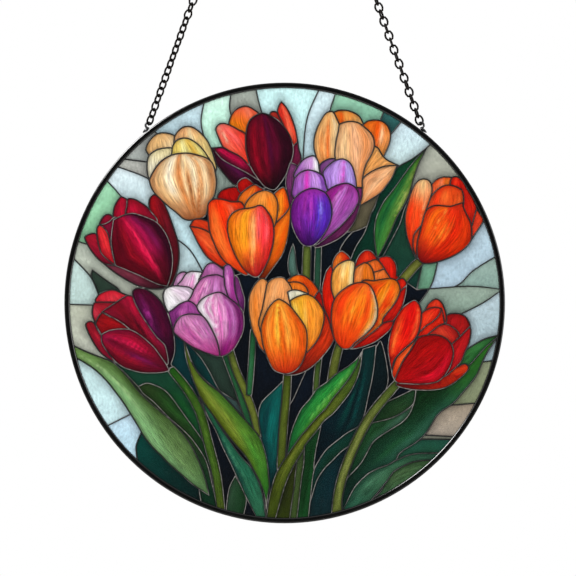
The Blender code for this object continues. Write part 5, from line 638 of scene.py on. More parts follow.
        (-9.2, -92), (-8.5, -99, 0), (-12, -99, 0), (-17.9, -87.3), (-21.1, -80.3), (-24.3, -73.3),
        (-28.1, -65.6), (-31.3, -58), (-35.1, -51)], "2c6c48 1c5440 348060 3c7c5c", [(0.05, 0.13, "5ca480",
        0.2, 0.75), (-0.4, 0.2, "2c7458", 0.2, 0.8), (0.6, 0.2, "1c5048", 0.1, 0.9)])),
 ("stem_pink_b", stem([(-28.5, -20), (-22.5, -35.7), (-20, -42.7), (-17.2, -51), (-13, -60)], 2.9,
        "2c6444 245c34 3c7c50 1c4c2c")),
 ("stem_pink", stem([(-25.5, -19), (-22.3, -30), (-19.4, -36.5), (-16.8, -43), (-14.3, -50), (-11.6, -61)],
        3.5, "74843c 68742c 84903c 4c5c2c", [(0.1, 0.3, "8c9848", 0, 1)])),
 ("reed", stem([(-14.3, -12), (-15, -26), (-16.2, -42)], 2.9, "3c8450 2c7040 4c9464 1c5434")),
 ("thin_sage", blade([(-20, -50), (-29, -41)], [(-31, -38.8, 0), (-26.2, -42), (-21.7, -44.6, 0),
        (-18.5, -52, 0), (-24, -47.5), (-28, -43)], "4c6460 3c5450 4c6460 3c4c48")),
 ("olive_leaf", blade([(-8.6, -92), (-13, -74), (-26, -53), (-40, -34), (-45, -20)], [(-46, -15, 0),
        (-43.9, -22.4), (-42, -27.5), (-38.2, -33.2), (-34.4, -37), (-30.2, -40), (-24.9, -45.3),
        (-19.8, -51), (-14.7, -56.7), (-11.2, -61.2), (-9.3, -66.3), (-8, -71.4), (-7.1, -77.1),
        (-6.8, -82.2), (-7.7, -87.3), (-8.4, -93.5, 0), (-9, -87.9), (-10.9, -82.2), (-14.1, -75.8),
        (-17.9, -69.5), (-22.4, -64.4), (-27.5, -58), (-32.5, -51), (-36.8, -45.2), (-40.2, -38.5),
        (-43.3, -30), (-44.9, -24.3)], "6c7c2c 7c8c2c 68983c 2c7c28", [(0.1, 0.3, "94a444", 0.3, 0.9),
        (-0.3, 0.2, "5ca440", 0.1, 0.5), (0.75, 0.2, "5c6c1c", 0.2, 0.9),
        (-0.8, 0.2, "4c7c2c", 0.2, 0.8)])),
 # middle
 ("teal_pane", blade([(-7, -82), (-7, -58), (-1.5, -38)], [(-0.3, -35, 0), (-5.8, -40.4), (-9, -43.4),
        (-11, -46.2), (-12, -51), (-11.3, -57.5), (-10.2, -63), (-8, -72), (-6.6, -86, 0), (-1, -76),
        (1, -50)], "147068 0c4c4c 147068 082c30", [(0.0, 0.2, "148078", 0.4, 0.9),
        (0.4, 0.15, "0c3c40", 0.1, 0.9)])),
 ("stem_yellow_b", stem([(15.8, -24), (14.6, -33), (14.0, -42)], 2.7, "5c7034 4c6430 5c7434 34502a")),
 ("stem_yellow", stem([(25.5, -17), (23, -26), (20.8, -38)], 4.1, "6c7830 626c2c 788038 4c5c2c", [(0.0, 0.3,
        "808a40", 0, 1)])),
 ("stem_apricot", stem([(1.4, -29), (0.8, -41.5), (-0.2, -51.6), (-1, -62), (-1.8, -76)], 3.9,
        "586828 505c20 667830 4c5c1c", [(0.2, 0.3, "70802f", 0.1, 0.9)])),
 ("bottom_reed_2", blade([(8, -98), (11, -80), (14, -60)], [(8.5, -62, 0), (16.5, -56, 0), (14.2, -66.5),
        (13.3, -73), (12.3, -82.5), (10.5, -100, 0), (4, -100, 0), (7.2, -79.3), (8.2, -72)],
        "1c4c28 143c1c 1c5c2c 1c5428", [(0.2, 0.2, "0c3414", 0, 1)])),
 ("bottom_reed_1", stem([(7.5, -62), (7.2, -72), (6, -80), (4, -99)], 3.1, "48602f 42582a 587040 3a5030")),
 ("bottom_reed_0", blade([(0, -99), (3, -82), (6, -72)], [(9, -66, 0), (6, -70), (5, -76), (4.2, -84),
        (3, -92), (2, -100, 0), (-6, -100, 0), (-1, -86), (3, -76)], "343c10 242c0c 3c4814 34400f")),
 ("fresh_leaf", blade([(1, -69.5), (12, -50), (24, -36), (34.5, -23)], [(34.9, -22.2, 0), (32.4, -25.8),
        (28.5, -29), (23.5, -32.2), (19, -36), (14.5, -39.2), (11.4, -43.6), (7.5, -48.1), (5, -53.2),
        (3.1, -58.3), (1.9, -63.4), (0.9, -69.6, 0), (4.4, -64.6), (7.5, -60.2), (11.4, -55.7),
        (15.2, -51.3), (19, -47.5), (22.2, -43), (26, -38.5), (29.8, -33.5), (32.6, -28.6)],
        "3c9444 2c9044 50b048 1c6434", [(-0.35, 0.14, "84d86c", 0.2, 0.95), (0.1, 0.2, "3cb450", 0.4, 0.95),
        (0.8, 0.16, "186430", 0, 0.9), (-0.1, 0.08, "1c7c34", 0.2, 0.7),
        (-0.75, 0.14, "5c9c38", 0.1, 0.9)])),
 ("olive_half", blade([(-5.5, -98), (-1, -80), (8, -63), (24, -45), (34.5, -27)], [(35.2, -22, 0),
        (34.4, -29), (32.7, -34.7), (29.8, -40.5), (26, -45.5), (22.2, -50), (17.7, -53.8), (14.5, -58.3),
        (10.7, -62.7), (7.5, -67.2), (5, -71.6), (3.1, -76.1), (0.9, -80.5), (-0.9, -86.3), (-2.6, -92),
        (-4.8, -100, 0), (-8.5, -100, 0), (-7.4, -90.5), (-6.1, -84.7), (-4.5, -79), (-2, -73.9),
        (0.9, -69.6, 0), (4.4, -64.6), (7.5, -60.2), (11.4, -55.7), (15.2, -51.3), (19, -47.5), (22.2, -43),
        (26, -38.5), (29.8, -33.5), (32.6, -28.6)], "4c7030 5c6820 6c7c2c 445414", [(0.1, 0.25, "88943c",
        0.15, 0.85), (-0.7, 0.2, "4c6020", 0, 1), (0.8, 0.15, "4c5818", 0, 0.6)])),
 ("stem_red", stem([(51.5, -36), (46.7, -41.5), (42.2, -46.8), (38.4, -52), (35.2, -57.5), (31.5, -65),
        (29, -71), (26.3, -78.6), (24.3, -87), (22.8, -99)], 4.3, "74803c 6c7c38 808c48 607434", [(0.15,
        0.3, "9ca45c", 0.1, 0.95), (-0.8, 0.2, "50602c", 0, 1)])),
 ("gap_leaf", petal((-74, 4), (-88, 14.5), [(-87.4, 15, 0), (-87.9, 12), (-86.2, 8.2), (-84.2, 3, 0),
        (-80, 4), (-74, 4, 0), (-76, 6.8), (-79.5, 9.2), (-83.5, 12)], "3c5044 34483c 405448 2c3c34")),
]

# %% [markdown]
# The background is parted by seams of its own. Each runs on beneath whatever covers its ends. Then a
# point in each background pane gives its glass: the colour at its top and at its foot. A background pane
# with no point of its own is cut from near-black glass.

# %% Background seams and panes
BACKGROUND_SEAMS = [
 [(-84, 59), (-74, 48), (-66, 36)],
 [(-79, 63), (-63, 57), (-54, 50)],
 [(-36, 94), (-38, 82), (-35, 70)],
 [(-36.5, 70.4), (-31, 70.4)],
 [(-13.5, 100), (-12, 92), (-9, 82)],
 [(17, 100), (10, 83), (8, 60)],
 [(24, 98), (21, 89), (18, 80)],
 [(47, 92), (43, 82), (40, 76)],
 [(56, 86), (47, 75), (42, 68)],
 [(70, 74.5), (64.4, 70.4), (58, 62)],
 [(86, 37.5), (99, 36.5)],
 [(99, 23), (86, 15), (80, 9), (75, 6.5)],
 [(100, 6), (84, 7.6), (60, 6)],
 [(100, 7), (90, 0), (78, -6)],
 [(70, 21), (66.5, 8), (58, -4)],
 [(-99, 30), (-91, 27), (-84, 26)],
 [(-99, 22.5), (-95.2, 19.5), (-91, 15.2), (-88, 11.6), (-85.9, 7.6), (-84, 2)],
 [(-101, -0.5), (-86, -1)],
 [(-83, -57), (-69, -50)],
 [(-63, -54), (-66.9, -63), (-67.5, -67), (-66.5, -75)],
 [(-52, 31), (-43, 24), (-36, 12)],
 [(-47, 42), (-44, 34), (-36, 20)],
 [(96, -26), (84, -27.5)],
 [(92, -45), (74, -46.6)],
 [(82, -61), (60, -59.8)],
 [(-78, 66), (-62, 64)],
 [(40, 36.2), (34.5, 33.5), (31, 32.4), (28.5, 32.2), (26, 32.5)],
 [(32, 33), (30.4, 31.8), (28.4, 29.6), (26.4, 26.8), (25, 24), (24.5, 20)],
 [(-24, 12), (-16, 14), (-8, 12)],
 [(-24, 98), (-25, 88), (-22, 80)],
 [(-64, 82), (-57, 76), (-52, 70)],
 [(-13.5, -46), (-11.2, -38.3), (-8, -24)],
 [(1, -48), (3.7, -44), (6.3, -38.3), (10, -30)],
]
BACKGROUND_GLASS = [
 ((-86, 42), "a4d4b4 94c8a2"),
 ((-71, 52), "dce8ec c4d8dc"),
 ((-67, 61), "b4b6b0 a8a8a2"),
 ((-67, 67), "b4b8b6 a4aaa6"),
 ((-47, 82), "cfe4ea bcd4dc"),
 ((-31, 86), "d8f4e8 c0ecd8"),
 ((-18, 94), "a8b0a8 9ca098"),
 ((3, 92), "cfeeee c4e4e4"),
 ((15, 92), "d8eaee c4dce4"),
 ((31, 90), "9cc8b0 8cbca4"),
 ((47, 85), "3c6c68 2c5454"),
 ((55, 74), "d2e4ec c8dcdc"),
 ((72, 62), "b0b4a8 9c9c90"),
 ((84, 23), "bcd0da acc0cc"),
 ((90, 12), "9cb0a8 8ca49c"),
 ((84, 5), "98a89c 84988c"),
 ((93, -6), "b8c8ce a8bcc2"),
 ((62, 11), "7ca890 6c987e"),
 ((-93, 14), "cce0dc b8ccc8"),
 ((-93, -8), "b8bcac c4c8bc"),
 ((-86, 19), "c0c8bc a4a89c"),
 ((-84, -46), "cfe8e8 c4dce0"),
 ((-74, -59), "c8e0ec b8d4e0"),
 ((-56, -78), "0b443c 041414"),
 ((-46, 30), "d0e8ee c0dce2"),
 ((-43, 20), "c8dee2 b8ccd0"),
 ((90, -33), "98a084 848c70"),
 ((80, -52), "9c9080 a89e92"),
 ((70, -60.9), "a8a898 8c9080"),
 ((-28, -30), "2a3c34 223028"),
 ((-29, 57), "98a8a0 8c9890"),
 ((35, 39), "645c4c 5c5844"),
]
NIGHT_GLASS = "0a1420 06090f"

# %% [markdown]
# ## Outlines
#
# Every line is a Catmull-Rom curve through its points. A petal's edge is such a curve closed on itself, or
# several of them from corner to corner. A leaf's two sides swell away from its spine along a superellipse
# on each side of the belly, which gives a round, a full or a pointed end with one number.


# %% From points to outlines
EDGE_STEPS = 5
OUTLINE_STEPS = 18


def between_knots(knots, steps):
    """The curve from the second knot up to, but not including, the last but one."""
    knots = [Vector(p[:2]) for p in knots]
    curve = []
    for a, b, c, d in zip(knots, knots[1:], knots[2:], knots[3:]):
        for step in range(steps):
            t = step / steps
            curve.append(0.5 * (2 * b + (c - a) * t + (2 * a - 5 * b + 4 * c - d) * t * t
                                + (3 * b - a - 3 * c + d) * t ** 3))
    return curve


def smooth(points, steps=10):
    """A curve through the points, from the first to the last."""
    points = [Vector(p[:2]) for p in points]
    ends = 2 * points[0] - points[1], 2 * points[-1] - points[-2]
    return between_knots([ends[0], *points, ends[1]], steps) + [points[-1]]


def smooth_loop(points):
    """A closed curve through the points, with the corners kept."""
    corners = [k for k, point in enumerate(points) if len(point) == 3]
    if not corners:
        return between_knots([points[-1], *points, *points[:2]], EDGE_STEPS)
    points = points[corners[0]:] + points[:corners[0] + 1]
    corners = [k - corners[0] for k in corners] + [len(points) - 1]
    return [spot for start, end in zip(corners, corners[1:])
            for spot in smooth(points[start:end + 1], EDGE_STEPS)[:-1]]


def along(curve, fraction):
    """The point and the direction at a fraction of the curve's length."""
    lengths = [(b - a).length for a, b in zip(curve, curve[1:])]
    left = fraction * sum(lengths)
    for k, length in enumerate(lengths):
        if left <= length or k == len(lengths) - 1:
            break
        left -= length
    return curve[k].lerp(curve[k + 1], min(left / length, 1)), (curve[k + 1] - curve[k]).normalized()


def swell(shape, t):
    """How much of its full width a leaf has at a fraction of its length."""
    belly = shape["belly"]
    if t < belly:
        return max(0, 1 - ((belly - t) / belly) ** 2) ** shape["heel"]
    return max(0, 1 - ((t - belly) / (1 - belly)) ** 2) ** shape["sharp"]


def outline(shape):
    """The shape's edge as a closed loop of points."""
    if "edge" in shape:
        return smooth_loop(shape["edge"])
    curve = smooth(shape["spine"])
    right_side, left_side = [], []
    for step in range(OUTLINE_STEPS + 1):
        t = 0.5 - 0.5 * math.cos(math.pi * step / OUTLINE_STEPS)
        point, direction = along(curve, t)
        leftwards = Vector((-direction.y, direction.x)) * swell(shape, t) * shape["width"] / 2
        right_side.append(point - leftwards)
        left_side.append(point + leftwards)
    return right_side[:-1] + left_side[:0:-1]


def circle(radius, steps, centre=(0, 0)):
    angles = [math.tau * step / steps for step in range(steps)]
    return [Vector((centre[0] + radius * math.cos(a), centre[1] + radius * math.sin(a))) for a in angles]


SHAPES = [shape for _, shape in GREENERY] + [shape for head in TULIPS.values() for shape in head]
print(len(SHAPES), "petals, leaves and stems")

# %% [markdown]
# ## Cutting the disc into panes
#
# A constrained Delaunay triangulation keeps every line of the drawing as triangle edges. Each triangle then
# belongs to the last shape that covers it, as with paper laid on paper, and triangles of one shape that
# touch form one pane. What nothing covers is background, which its own seams part.


# %% Triangles along every line of the drawing
MERGE_DISTANCE = 0.01
GLASS_RADIUS = PANEL_RADIUS - 1.0
DISC_STEPS = 144


def as_edges(lines, loops):
    """Open lines and closed loops as one list of points and one of edges, the open lines first."""
    points, edges = [], []
    for path, closed in [(line, False) for line in lines] + [(loop, True) for loop in loops]:
        start = len(points)
        points += path
        edges += [(start + k, start + k + 1) for k in range(len(path) - 1)]
        if closed:
            edges.append((len(points) - 1, start))
    return points, edges


def covers(polygon, spots):
    """Which of the spots a polygon covers."""
    inside = np.zeros(len(spots), bool)
    for a, b in zip(polygon, polygon[1:] + polygon[:1]):
        if a.y != b.y:
            beside = (a.y > spots[:, 1]) != (b.y > spots[:, 1])
            inside ^= beside & (spots[:, 0] < a.x + (spots[:, 1] - a.y) * (b.x - a.x) / (b.y - a.y))
    return inside


seams = [smooth(seam) for seam in BACKGROUND_SEAMS]
outlines = [outline(shape) for shape in SHAPES]
points, edges = as_edges(seams, [circle(GLASS_RADIUS, DISC_STEPS)] + outlines)
plan = delaunay_2d_cdt(points, edges, [], 0, MERGE_DISTANCE, True)
spots = np.array(plan[0])
triangles = np.array(plan[2])
middles = spots[triangles].mean(axis=1)
triangles = triangles[np.hypot(*middles.T) < GLASS_RADIUS]
middles = spots[triangles].mean(axis=1)
owner = np.full(len(triangles), -1)
for number, polygon in enumerate(outlines):
    owner[covers(polygon, middles)] = number
seam_edge_count = sum(len(seam) - 1 for seam in seams)
seam_edges = {frozenset(edge) for edge, source in zip(plan[1], plan[4])
              if any(number < seam_edge_count for number in source)}
print(len(triangles), "triangles in the plan")


# %% Triangles that touch within one shape form a pane
def touching(triangles):
    """The triangles on each edge."""
    table = {}
    for number, (a, b, c) in enumerate(triangles.tolist()):
        for side in ((a, b), (b, c), (c, a)):
            table.setdefault(frozenset(side), []).append(number)
    return table


def joined(count, pairs):
    """A group number for each of count things, where the pairs belong together."""
    parent = list(range(count))

    def root(number):
        while parent[number] != number:
            parent[number] = parent[parent[number]]
            number = parent[number]
        return number

    for a, b in pairs:
        parent[root(a)] = root(b)
    return np.unique([root(number) for number in range(count)], return_inverse=True)[1]


neighbours = {side: pair for side, pair in touching(triangles).items() if len(pair) == 2}
panes = joined(len(triangles), [(a, b) for side, (a, b) in neighbours.items() if owner[a] == owner[b]
                                and not (owner[a] == -1 and side in seam_edges)])
print(panes.max() + 1, "panes before the slivers are joined")

# %% [markdown]
# No glazier cuts a splinter. A pane smaller than a few square millimetres joins the neighbour with which
# it shares the longest edge.


# %% Splinters join their neighbours
SMALLEST_PANE = 4.0


def triangle_areas(spots, triangles):
    a, b, c = (spots[triangles[:, k]] for k in range(3))
    return abs(np.cross(b - a, c - a)) / 2


def join_splinters(panes):
    """Each splinter takes the number of the neighbour with the longest edge in common."""
    panes = panes.copy()
    sizes = triangle_areas(spots, triangles)
    ends = np.array([tuple(side) for side in neighbours])
    lengths = np.hypot(*(spots[ends[:, 0]] - spots[ends[:, 1]]).T)
    pairs = np.array(list(neighbours.values()))
    while True:
        areas = np.bincount(panes, weights=sizes)
        areas[areas == 0] = np.inf
        smallest = areas.argmin()
        if areas[smallest] > SMALLEST_PANE:
            return panes
        sides = panes[pairs]
        edge = (sides == smallest).sum(axis=1) == 1
        other = np.where(sides[edge, 0] == smallest, sides[edge, 1], sides[edge, 0])
        panes[panes == smallest] = np.bincount(other, weights=lengths[edge]).argmax()


owner_of = dict(zip(panes.tolist(), owner.tolist()))
panes = join_splinters(panes)
print(len(set(panes.tolist())), "panes of glass to cut")

# %% [markdown]
# ## The seams
#
# A seam runs along the edges between two panes, from one meeting point to the next. Points that lie in line
# with their neighbours are left out, so that the bead which follows the seam is even.


# %% Lines between panes
SEAM_TOLERANCE = 0.04


def simpler(line, tolerance):
    """The line with the points left out that lie within the tolerance of it."""
    if len(line) < 3:
        return line
    start, end = line[0], line[-1]
    chord = end - start
    if chord.length < tolerance:
        distances = [(p - start).length for p in line]
    else:
        distances = [abs(chord.cross(p - start)) / chord.length for p in line]
    furthest = max(range(len(line)), key=distances.__getitem__)
    if distances[furthest] < tolerance:
        return [start, end]
    return simpler(line[:furthest + 1], tolerance)[:-1] + simpler(line[furthest:], tolerance)


def seam_lines():
    """The lines between panes, each from one meeting point to the next."""
    beside = {}
    for side, (one, other) in neighbours.items():
        if panes[one] != panes[other]:
            a, b = side
            beside.setdefault(a, set()).add(b)
            beside.setdefault(b, set()).add(a)
    meetings = [p for p in beside if len(beside[p]) != 2]
    lines, used = [], set()
    for start in meetings + list(beside):
        for step in sorted(beside[start]):
            if frozenset((start, step)) in used:
                continue
            line = [start, step]
            used.add(frozenset(line))
            while len(beside[line[-1]]) == 2 and line[-1] != start:
                onward = (beside[line[-1]] - {line[-2]}).pop()
                used.add(frozenset((line[-1], onward)))
                line.append(onward)
            lines.append(simpler([Vector(spots[p]) for p in line], SEAM_TOLERANCE))
    return lines


lines = seam_lines()
seam_length = sum((b - a).length for line in lines for a, b in zip(line, line[1:]))
print(f"{len(lines)} seams, {seam_length / 1000:.1f} m of solder")

# %% [markdown]
# ## One mesh plan for solder and glass
#
# Copper foil wraps the edge of every pane, and solder runs over it in a rounded bead on each face, with a
# thin heart between the panes. Seen from its end a seam is an H lying down. So two rails run along each
# side of every seam: where the heart ends and the glass begins, and where the bead ends. A second
# triangulation keeps all the rails, and how far a point lies from the nearest seam says what it is.

# %% Rails beside the seams
HEART = 0.15
BEAD_EDGE = 0.29
NETWORK_RADIUS = PANEL_RADIUS - 2.45


def rails(line, reach):
    """The two lines that run beside a seam, one reach away."""
    left, right = [], []
    for k, point in enumerate(line):
        before = (point - line[k - 1]).normalized() if k else (line[1] - point).normalized()
        after = (line[k + 1] - point).normalized() if k < len(line) - 1 else before
        square = Vector((-after.y, after.x))
        across = square + Vector((-before.y, before.x))
        across = across.normalized() if across.length > 0.3 else square
        step = across * reach / max(across.dot(square), 0.75)
        left.append(point + step)
        right.append(point - step)
    return left, right


rail_lines = list(lines)
for line in lines:
    inner, outer = rails(line, HEART), rails(line, BEAD_EDGE)
    rail_lines += [*inner, *outer] + [list(pair) for pair in zip(*outer)]
print(len(rail_lines), "rails")

# %% [markdown]
# Rolled glass is never flat. A loose grid of extra points inside the panes lets their faces swell and dip.

# %% Points inside the glass, then the triangulation
GRID = 1.1
rng = np.random.default_rng(7)
seam_walls = BVHTree.FromPolygons(
    [(p.x, p.y, side) for line in lines for p in line for side in (-1, 1)],
    [(k, k + 1, k + 3, k + 2) for start, line in
     zip(np.cumsum([0] + [2 * len(line) for line in lines]).tolist(), lines)
     for k in range(start, start + 2 * len(line) - 2, 2)])


def from_seam(spot):
    """How far a spot of the drawing lies from the nearest seam."""
    return seam_walls.find_nearest((spot[0], spot[1], 0))[3]


rows = np.arange(-PANEL_RADIUS, PANEL_RADIUS, GRID)
grid = np.array([(x + GRID / 2 * (k % 2), z) for k, z in enumerate(rows) for x in rows])
grid += rng.uniform(-0.25, 0.25, grid.shape)
grid = [Vector(spot) for spot in grid[np.hypot(*grid.T) < NETWORK_RADIUS - 1]
        if from_seam(spot) > BEAD_EDGE + 0.4]
points, edges = as_edges(rail_lines, [circle(GLASS_RADIUS, DISC_STEPS), circle(NETWORK_RADIUS, DISC_STEPS)])
plan = delaunay_2d_cdt(points + grid, edges, [], 0, 0.02, False)
fine_spots = np.array(plan[0])
fine = np.array(plan[2])
middles = fine_spots[fine].mean(axis=1)
fine = fine[np.hypot(*middles.T) < GLASS_RADIUS]
middles = fine_spots[fine].mean(axis=1)
from_centre = np.hypot(*middles.T)
seam_distance = np.array([from_seam(spot) for spot in fine_spots])
middle_distance = np.array([from_seam(spot) for spot in middles])
print(len(fine), "triangles in the fine plan,", len(grid), "points inside the glass")

# %% [markdown]
# Glass is everything beyond the heart, and the bead covers everything nearer than its edge. Where seams run
# so close together that hardly any glass would show between them, the solder has flowed across.


# %% Which triangles are glass, and which the bead covers
SMALLEST_GLASS = 0.8
flat_plan = BVHTree.FromPolygons([(x, z, 0) for x, z in spots.tolist()], triangles.tolist())


def pane_at(spot):
    """The number of the pane that lies under a spot of the drawing."""
    return panes[flat_plan.find_nearest((spot[0], spot[1], 0))[2]]


sizes = triangle_areas(fine_spots, fine)
glass = np.flatnonzero(middle_distance > HEART)
pane_under = [pane_at(spot) for spot in middles[glass]]
pairs = [pair for pair in touching(fine[glass]).values()
         if len(pair) == 2 and pane_under[pair[0]] == pane_under[pair[1]]]
cell = joined(len(glass), pairs)
shows = sizes[glass] * (middle_distance[glass] > BEAD_EDGE)
flooded = (np.bincount(cell, weights=shows) < SMALLEST_GLASS)[cell]
bead = (middle_distance < BEAD_EDGE) & (from_centre < NETWORK_RADIUS)
bead[glass[flooded]] = from_centre[glass[flooded]] < NETWORK_RADIUS
heart = (middle_distance < HEART) & (from_centre < NETWORK_RADIUS)
glass, cell = glass[~flooded], joined(len(glass), pairs)[~flooded]
print(len(set(cell.tolist())), "pieces of glass,", int(bead.sum()), "triangles of bead on each face")

# %% [markdown]
# ## Colour in the glass
#
# Streaky glass is rolled from a few colours ladled together, so one sheet runs from a pale tip to a deep
# foot with threads drawn out along it. Each spot of a petal has a place on its sheet: how far along the
# spine, and how far across between the two sides. The four colours blend over that place.


# %% Hex colours, and where a spot lies on its sheet
SHEET_STEPS = 48
DEEPER = 1.15
PETAL_LIGHT, LEAF_LIGHT, ROOM_LIGHT = 0.96, 0.79, 1.04
# How strongly painted shade darkens the glass beside the seams, and how far it reaches.
EDGE_SHADE = 0.16
EDGE_REACH = 0.7


def hex_rgb(text):
    """An sRGB hex value as three numbers from 0 to 1."""
    return np.array([int(text[k:k + 2], 16) / 255 for k in (0, 2, 4)])


def linear(rgb):
    """sRGB numbers as the linear ones that light adds up in."""
    rgb = np.asarray(rgb, float)
    return np.where(rgb < 0.04045, rgb / 12.92, ((rgb + 0.055) / 1.055) ** 2.4)


def sheet_place(shape, spots):
    """How far along the shape each spot lies, how far across, from -1 to 1 on the left, and its size."""
    curve = smooth(shape["spine"])
    steps = np.linspace(0, 1, SHEET_STEPS)
    spine = np.array([along(curve, t)[0] for t in steps])
    length = np.hypot(*np.diff(spine, axis=0).T).sum()
    ahead = np.gradient(spine, axis=0)
    ahead /= np.hypot(*ahead.T)[:, None]

    def from_spine(spots):
        nearest = ((spots[:, None] - spine) ** 2).sum(axis=2).argmin(axis=1)
        apart = spots - spine[nearest]
        forward = (apart * ahead[nearest]).sum(axis=1)
        sideways = ahead[nearest, 0] * apart[:, 1] - ahead[nearest, 1] * apart[:, 0]
        return steps[nearest] + forward / length, sideways

    edge_u, edge_across = from_spine(np.array(outline(shape)))
    order = edge_u.argsort()
    u, across = from_spine(spots)
    v = np.zeros(len(spots))
    for side in (1, -1):
        edge = order[side * edge_across[order] > 0]
        reach = np.interp(u, edge_u[edge], side * edge_across[edge])
        here = side * across > 0
        v[here] = (across / np.maximum(reach, 0.8))[here]
    return np.clip(u, 0, 1), np.clip(v, -1, 1), (np.ptp(edge_across), length)


def petal_colours(shape, u, v):
    """The sheet's sRGB colour at each place on it, with painted shade that darkens it a little towards both
    sides.
    """
    tip, left, right, foot = (hex_rgb(text) for text in shape["glass"].split())
    over = (0.5 - 0.5 * np.clip(1.3 * v, -1, 1))[:, None]
    to_tip = (np.clip((u - 0.62) / 0.38, 0, 1) ** 1.2)[:, None]
    to_foot = (np.clip((0.42 - u) / 0.42, 0, 1) ** 1.1)[:, None]
    colour = left * (1 - over) + right * over
    colour = (colour * (1 - to_tip) + tip * to_tip) * (1 - to_foot) + foot * to_foot
    for across, breadth, text, start, end in shape["streaks"]:
        thread = np.exp(-((v - across) / breadth) ** 2) * np.clip((u - start) / 0.2, 0, 1)
        thread = (thread * np.clip((end - u) / 0.2, 0, 1))[:, None]
        colour = colour * (1 - thread) + hex_rgb(text) * thread
    # Painted shade: a little darker towards both sides of the petal.
    return colour * (1 - 0.12 * v ** 4)[:, None]


def deepened_with_painted_seam_shade(colours, distance):
    """Colours more saturated, and darker beside the seams with painted shade, as if the foil shaded the
    glass.
    """
    grey = colours.mean(axis=1, keepdims=True)
    shaded = 1 - EDGE_SHADE * np.exp(-np.maximum(distance - BEAD_EDGE, 0) / EDGE_REACH)
    return np.clip(grey + DEEPER * (colours - grey), 0, 1) * shaded[:, None]


# %% [markdown]
# A background pane has two colours, from its top to its foot, and painted shade makes it greyer close to the
# flowers. The pane that each colour pair belongs to is found by the point given with it.

# %% Match the background colours to their panes
FLOWER_SHADE = 0.2
FLOWER_REACH = 3.0
drawn_faces = BVHTree.FromPolygons([(x, z, 0) for x, z in spots.tolist()], triangles[owner >= 0].tolist())


def from_flowers(spot):
    """How far a spot of the background lies from the nearest petal or leaf."""
    return drawn_faces.find_nearest((spot[0], spot[1], 0))[3]


background = {}
for spot, colours in BACKGROUND_GLASS:
    pane = pane_at(spot)
    if owner_of[pane] != -1 or pane in background:
        print("no background pane of its own at", spot)
    background[pane] = colours
print(len(background), "background panes have a colour of their own")

# %% [markdown]
# ## Mesh of the glass
#
# Each piece of glass is a closed slab: a front face, a back face and a wall round its edge. Both faces
# ripple a little, except under the bead. All the pieces cut from one CAD solid's glass become one object,
# and that object stands for the solid.

# %% Colours, ripples and sheet coordinates of every spot of glass
RIPPLE = 0.07
RIPPLE_LENGTH = 3.2
CM = 10.0

colour_at = np.zeros((len(fine_spots), 3))
sheet_at = np.zeros((len(fine_spots), 2))
cell_middle = {}
for number in sorted(set(cell.tolist())):
    faces = glass[cell == number]
    largest = faces[sizes[faces].argmax()]
    cell_middle[number] = middles[largest]
    pane = pane_at(middles[largest])
    used = np.unique(fine[faces])
    here = fine_spots[used]
    if owner_of[pane] >= 0:
        shape = SHAPES[owner_of[pane]]
        u, v, (breadth, length) = sheet_place(shape, here)
        light = LEAF_LIGHT if owner_of[pane] < len(GREENERY) else PETAL_LIGHT
        colour_at[used] = light * petal_colours(shape, u, v)
        sheet_at[used] = np.stack([v * breadth / 2 / CM + 3.7 * pane, u * length / CM], axis=1)
    else:
        top, foot = (hex_rgb(text) for text in background.get(pane, NIGHT_GLASS).split())
        height = (here[:, 1] - here[:, 1].min()) / np.ptp(here[:, 1])
        away = np.array([from_flowers(spot) for spot in here])
        # Painted shade: the background glass is greyer close to the petals and leaves.
        shade = ROOM_LIGHT * (1 - FLOWER_SHADE * np.exp(-(away / FLOWER_REACH) ** 2))
        colour_at[used] = (top * height[:, None] + foot * (1 - height[:, None])) * shade[:, None]
        sheet_at[used] = here / CM + 3.7 * pane

# Painted shade beside every seam, and deeper colours.
colour_at = deepened_with_painted_seam_shade(colour_at, seam_distance)
ripple = np.array([noise.noise(Vector((x, z, 0)) / RIPPLE_LENGTH) for x, z in fine_spots.tolist()])
back_ripple = np.array([noise.noise(Vector((x, z, 50)) / RIPPLE_LENGTH) for x, z in fine_spots.tolist()])
clear = np.clip((seam_distance - BEAD_EDGE) / 1.5, 0, 1)
front_y = -GLASS_HALF_DEPTH + RIPPLE * clear * (ripple + 0.4)
back_y = GLASS_HALF_DEPTH - RIPPLE * clear * (back_ripple + 0.4)
print("ripples from", round(float(ripple.min()), 2), "to", round(float(ripple.max()), 2))


# %% Gather the pieces under the CAD solids that they stand for
def borders(faces):
    """The directed edges that only one of the triangles has."""
    once = {side for side, pair in touching(faces).items() if len(pair) == 1}
    return [(a, b) for a, b, c in faces.tolist() for a, b in ((a, b), (b, c), (c, a))
            if frozenset((a, b)) in once]


solids = {part["node"]: part["material_slot"] for part in frame["record"]["subparts"]
          if part["material_slot"].startswith("glass_")}
wanted, corners_at, triangles_of = [], [], []
for name in solids:
    mesh = frame["nodes"][name].data
    for polygon in mesh.polygons:
        if polygon.normal.y < -0.9:
            triangles_of.append([len(corners_at) + k for k in range(len(polygon.vertices))])
            corners_at += [mesh.vertices[k].co for k in polygon.vertices]
            wanted.append(name)
solid_faces = BVHTree.FromPolygons(corners_at, triangles_of)
cells_of = {name: [] for name in solids}
for number, (x, z) in cell_middle.items():
    nearest = solid_faces.find_nearest(hung(x, -GLASS_HALF_DEPTH, z))[2]
    cells_of[wanted[nearest]].append(number)
stand_in = {}
for name in [name for name in solids if not cells_of[name]]:
    middle = sum(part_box(name), Vector()) / 2 / MM
    target = middle.x, middle.z - PANEL_Z
    nearest = min(cell_middle, key=lambda number: math.dist(cell_middle[number], target))
    stand_in[name] = next(node for node, numbers in cells_of.items() if nearest in numbers)
    del cells_of[name]
print({name: len(numbers) for name, numbers in cells_of.items()}, stand_in)


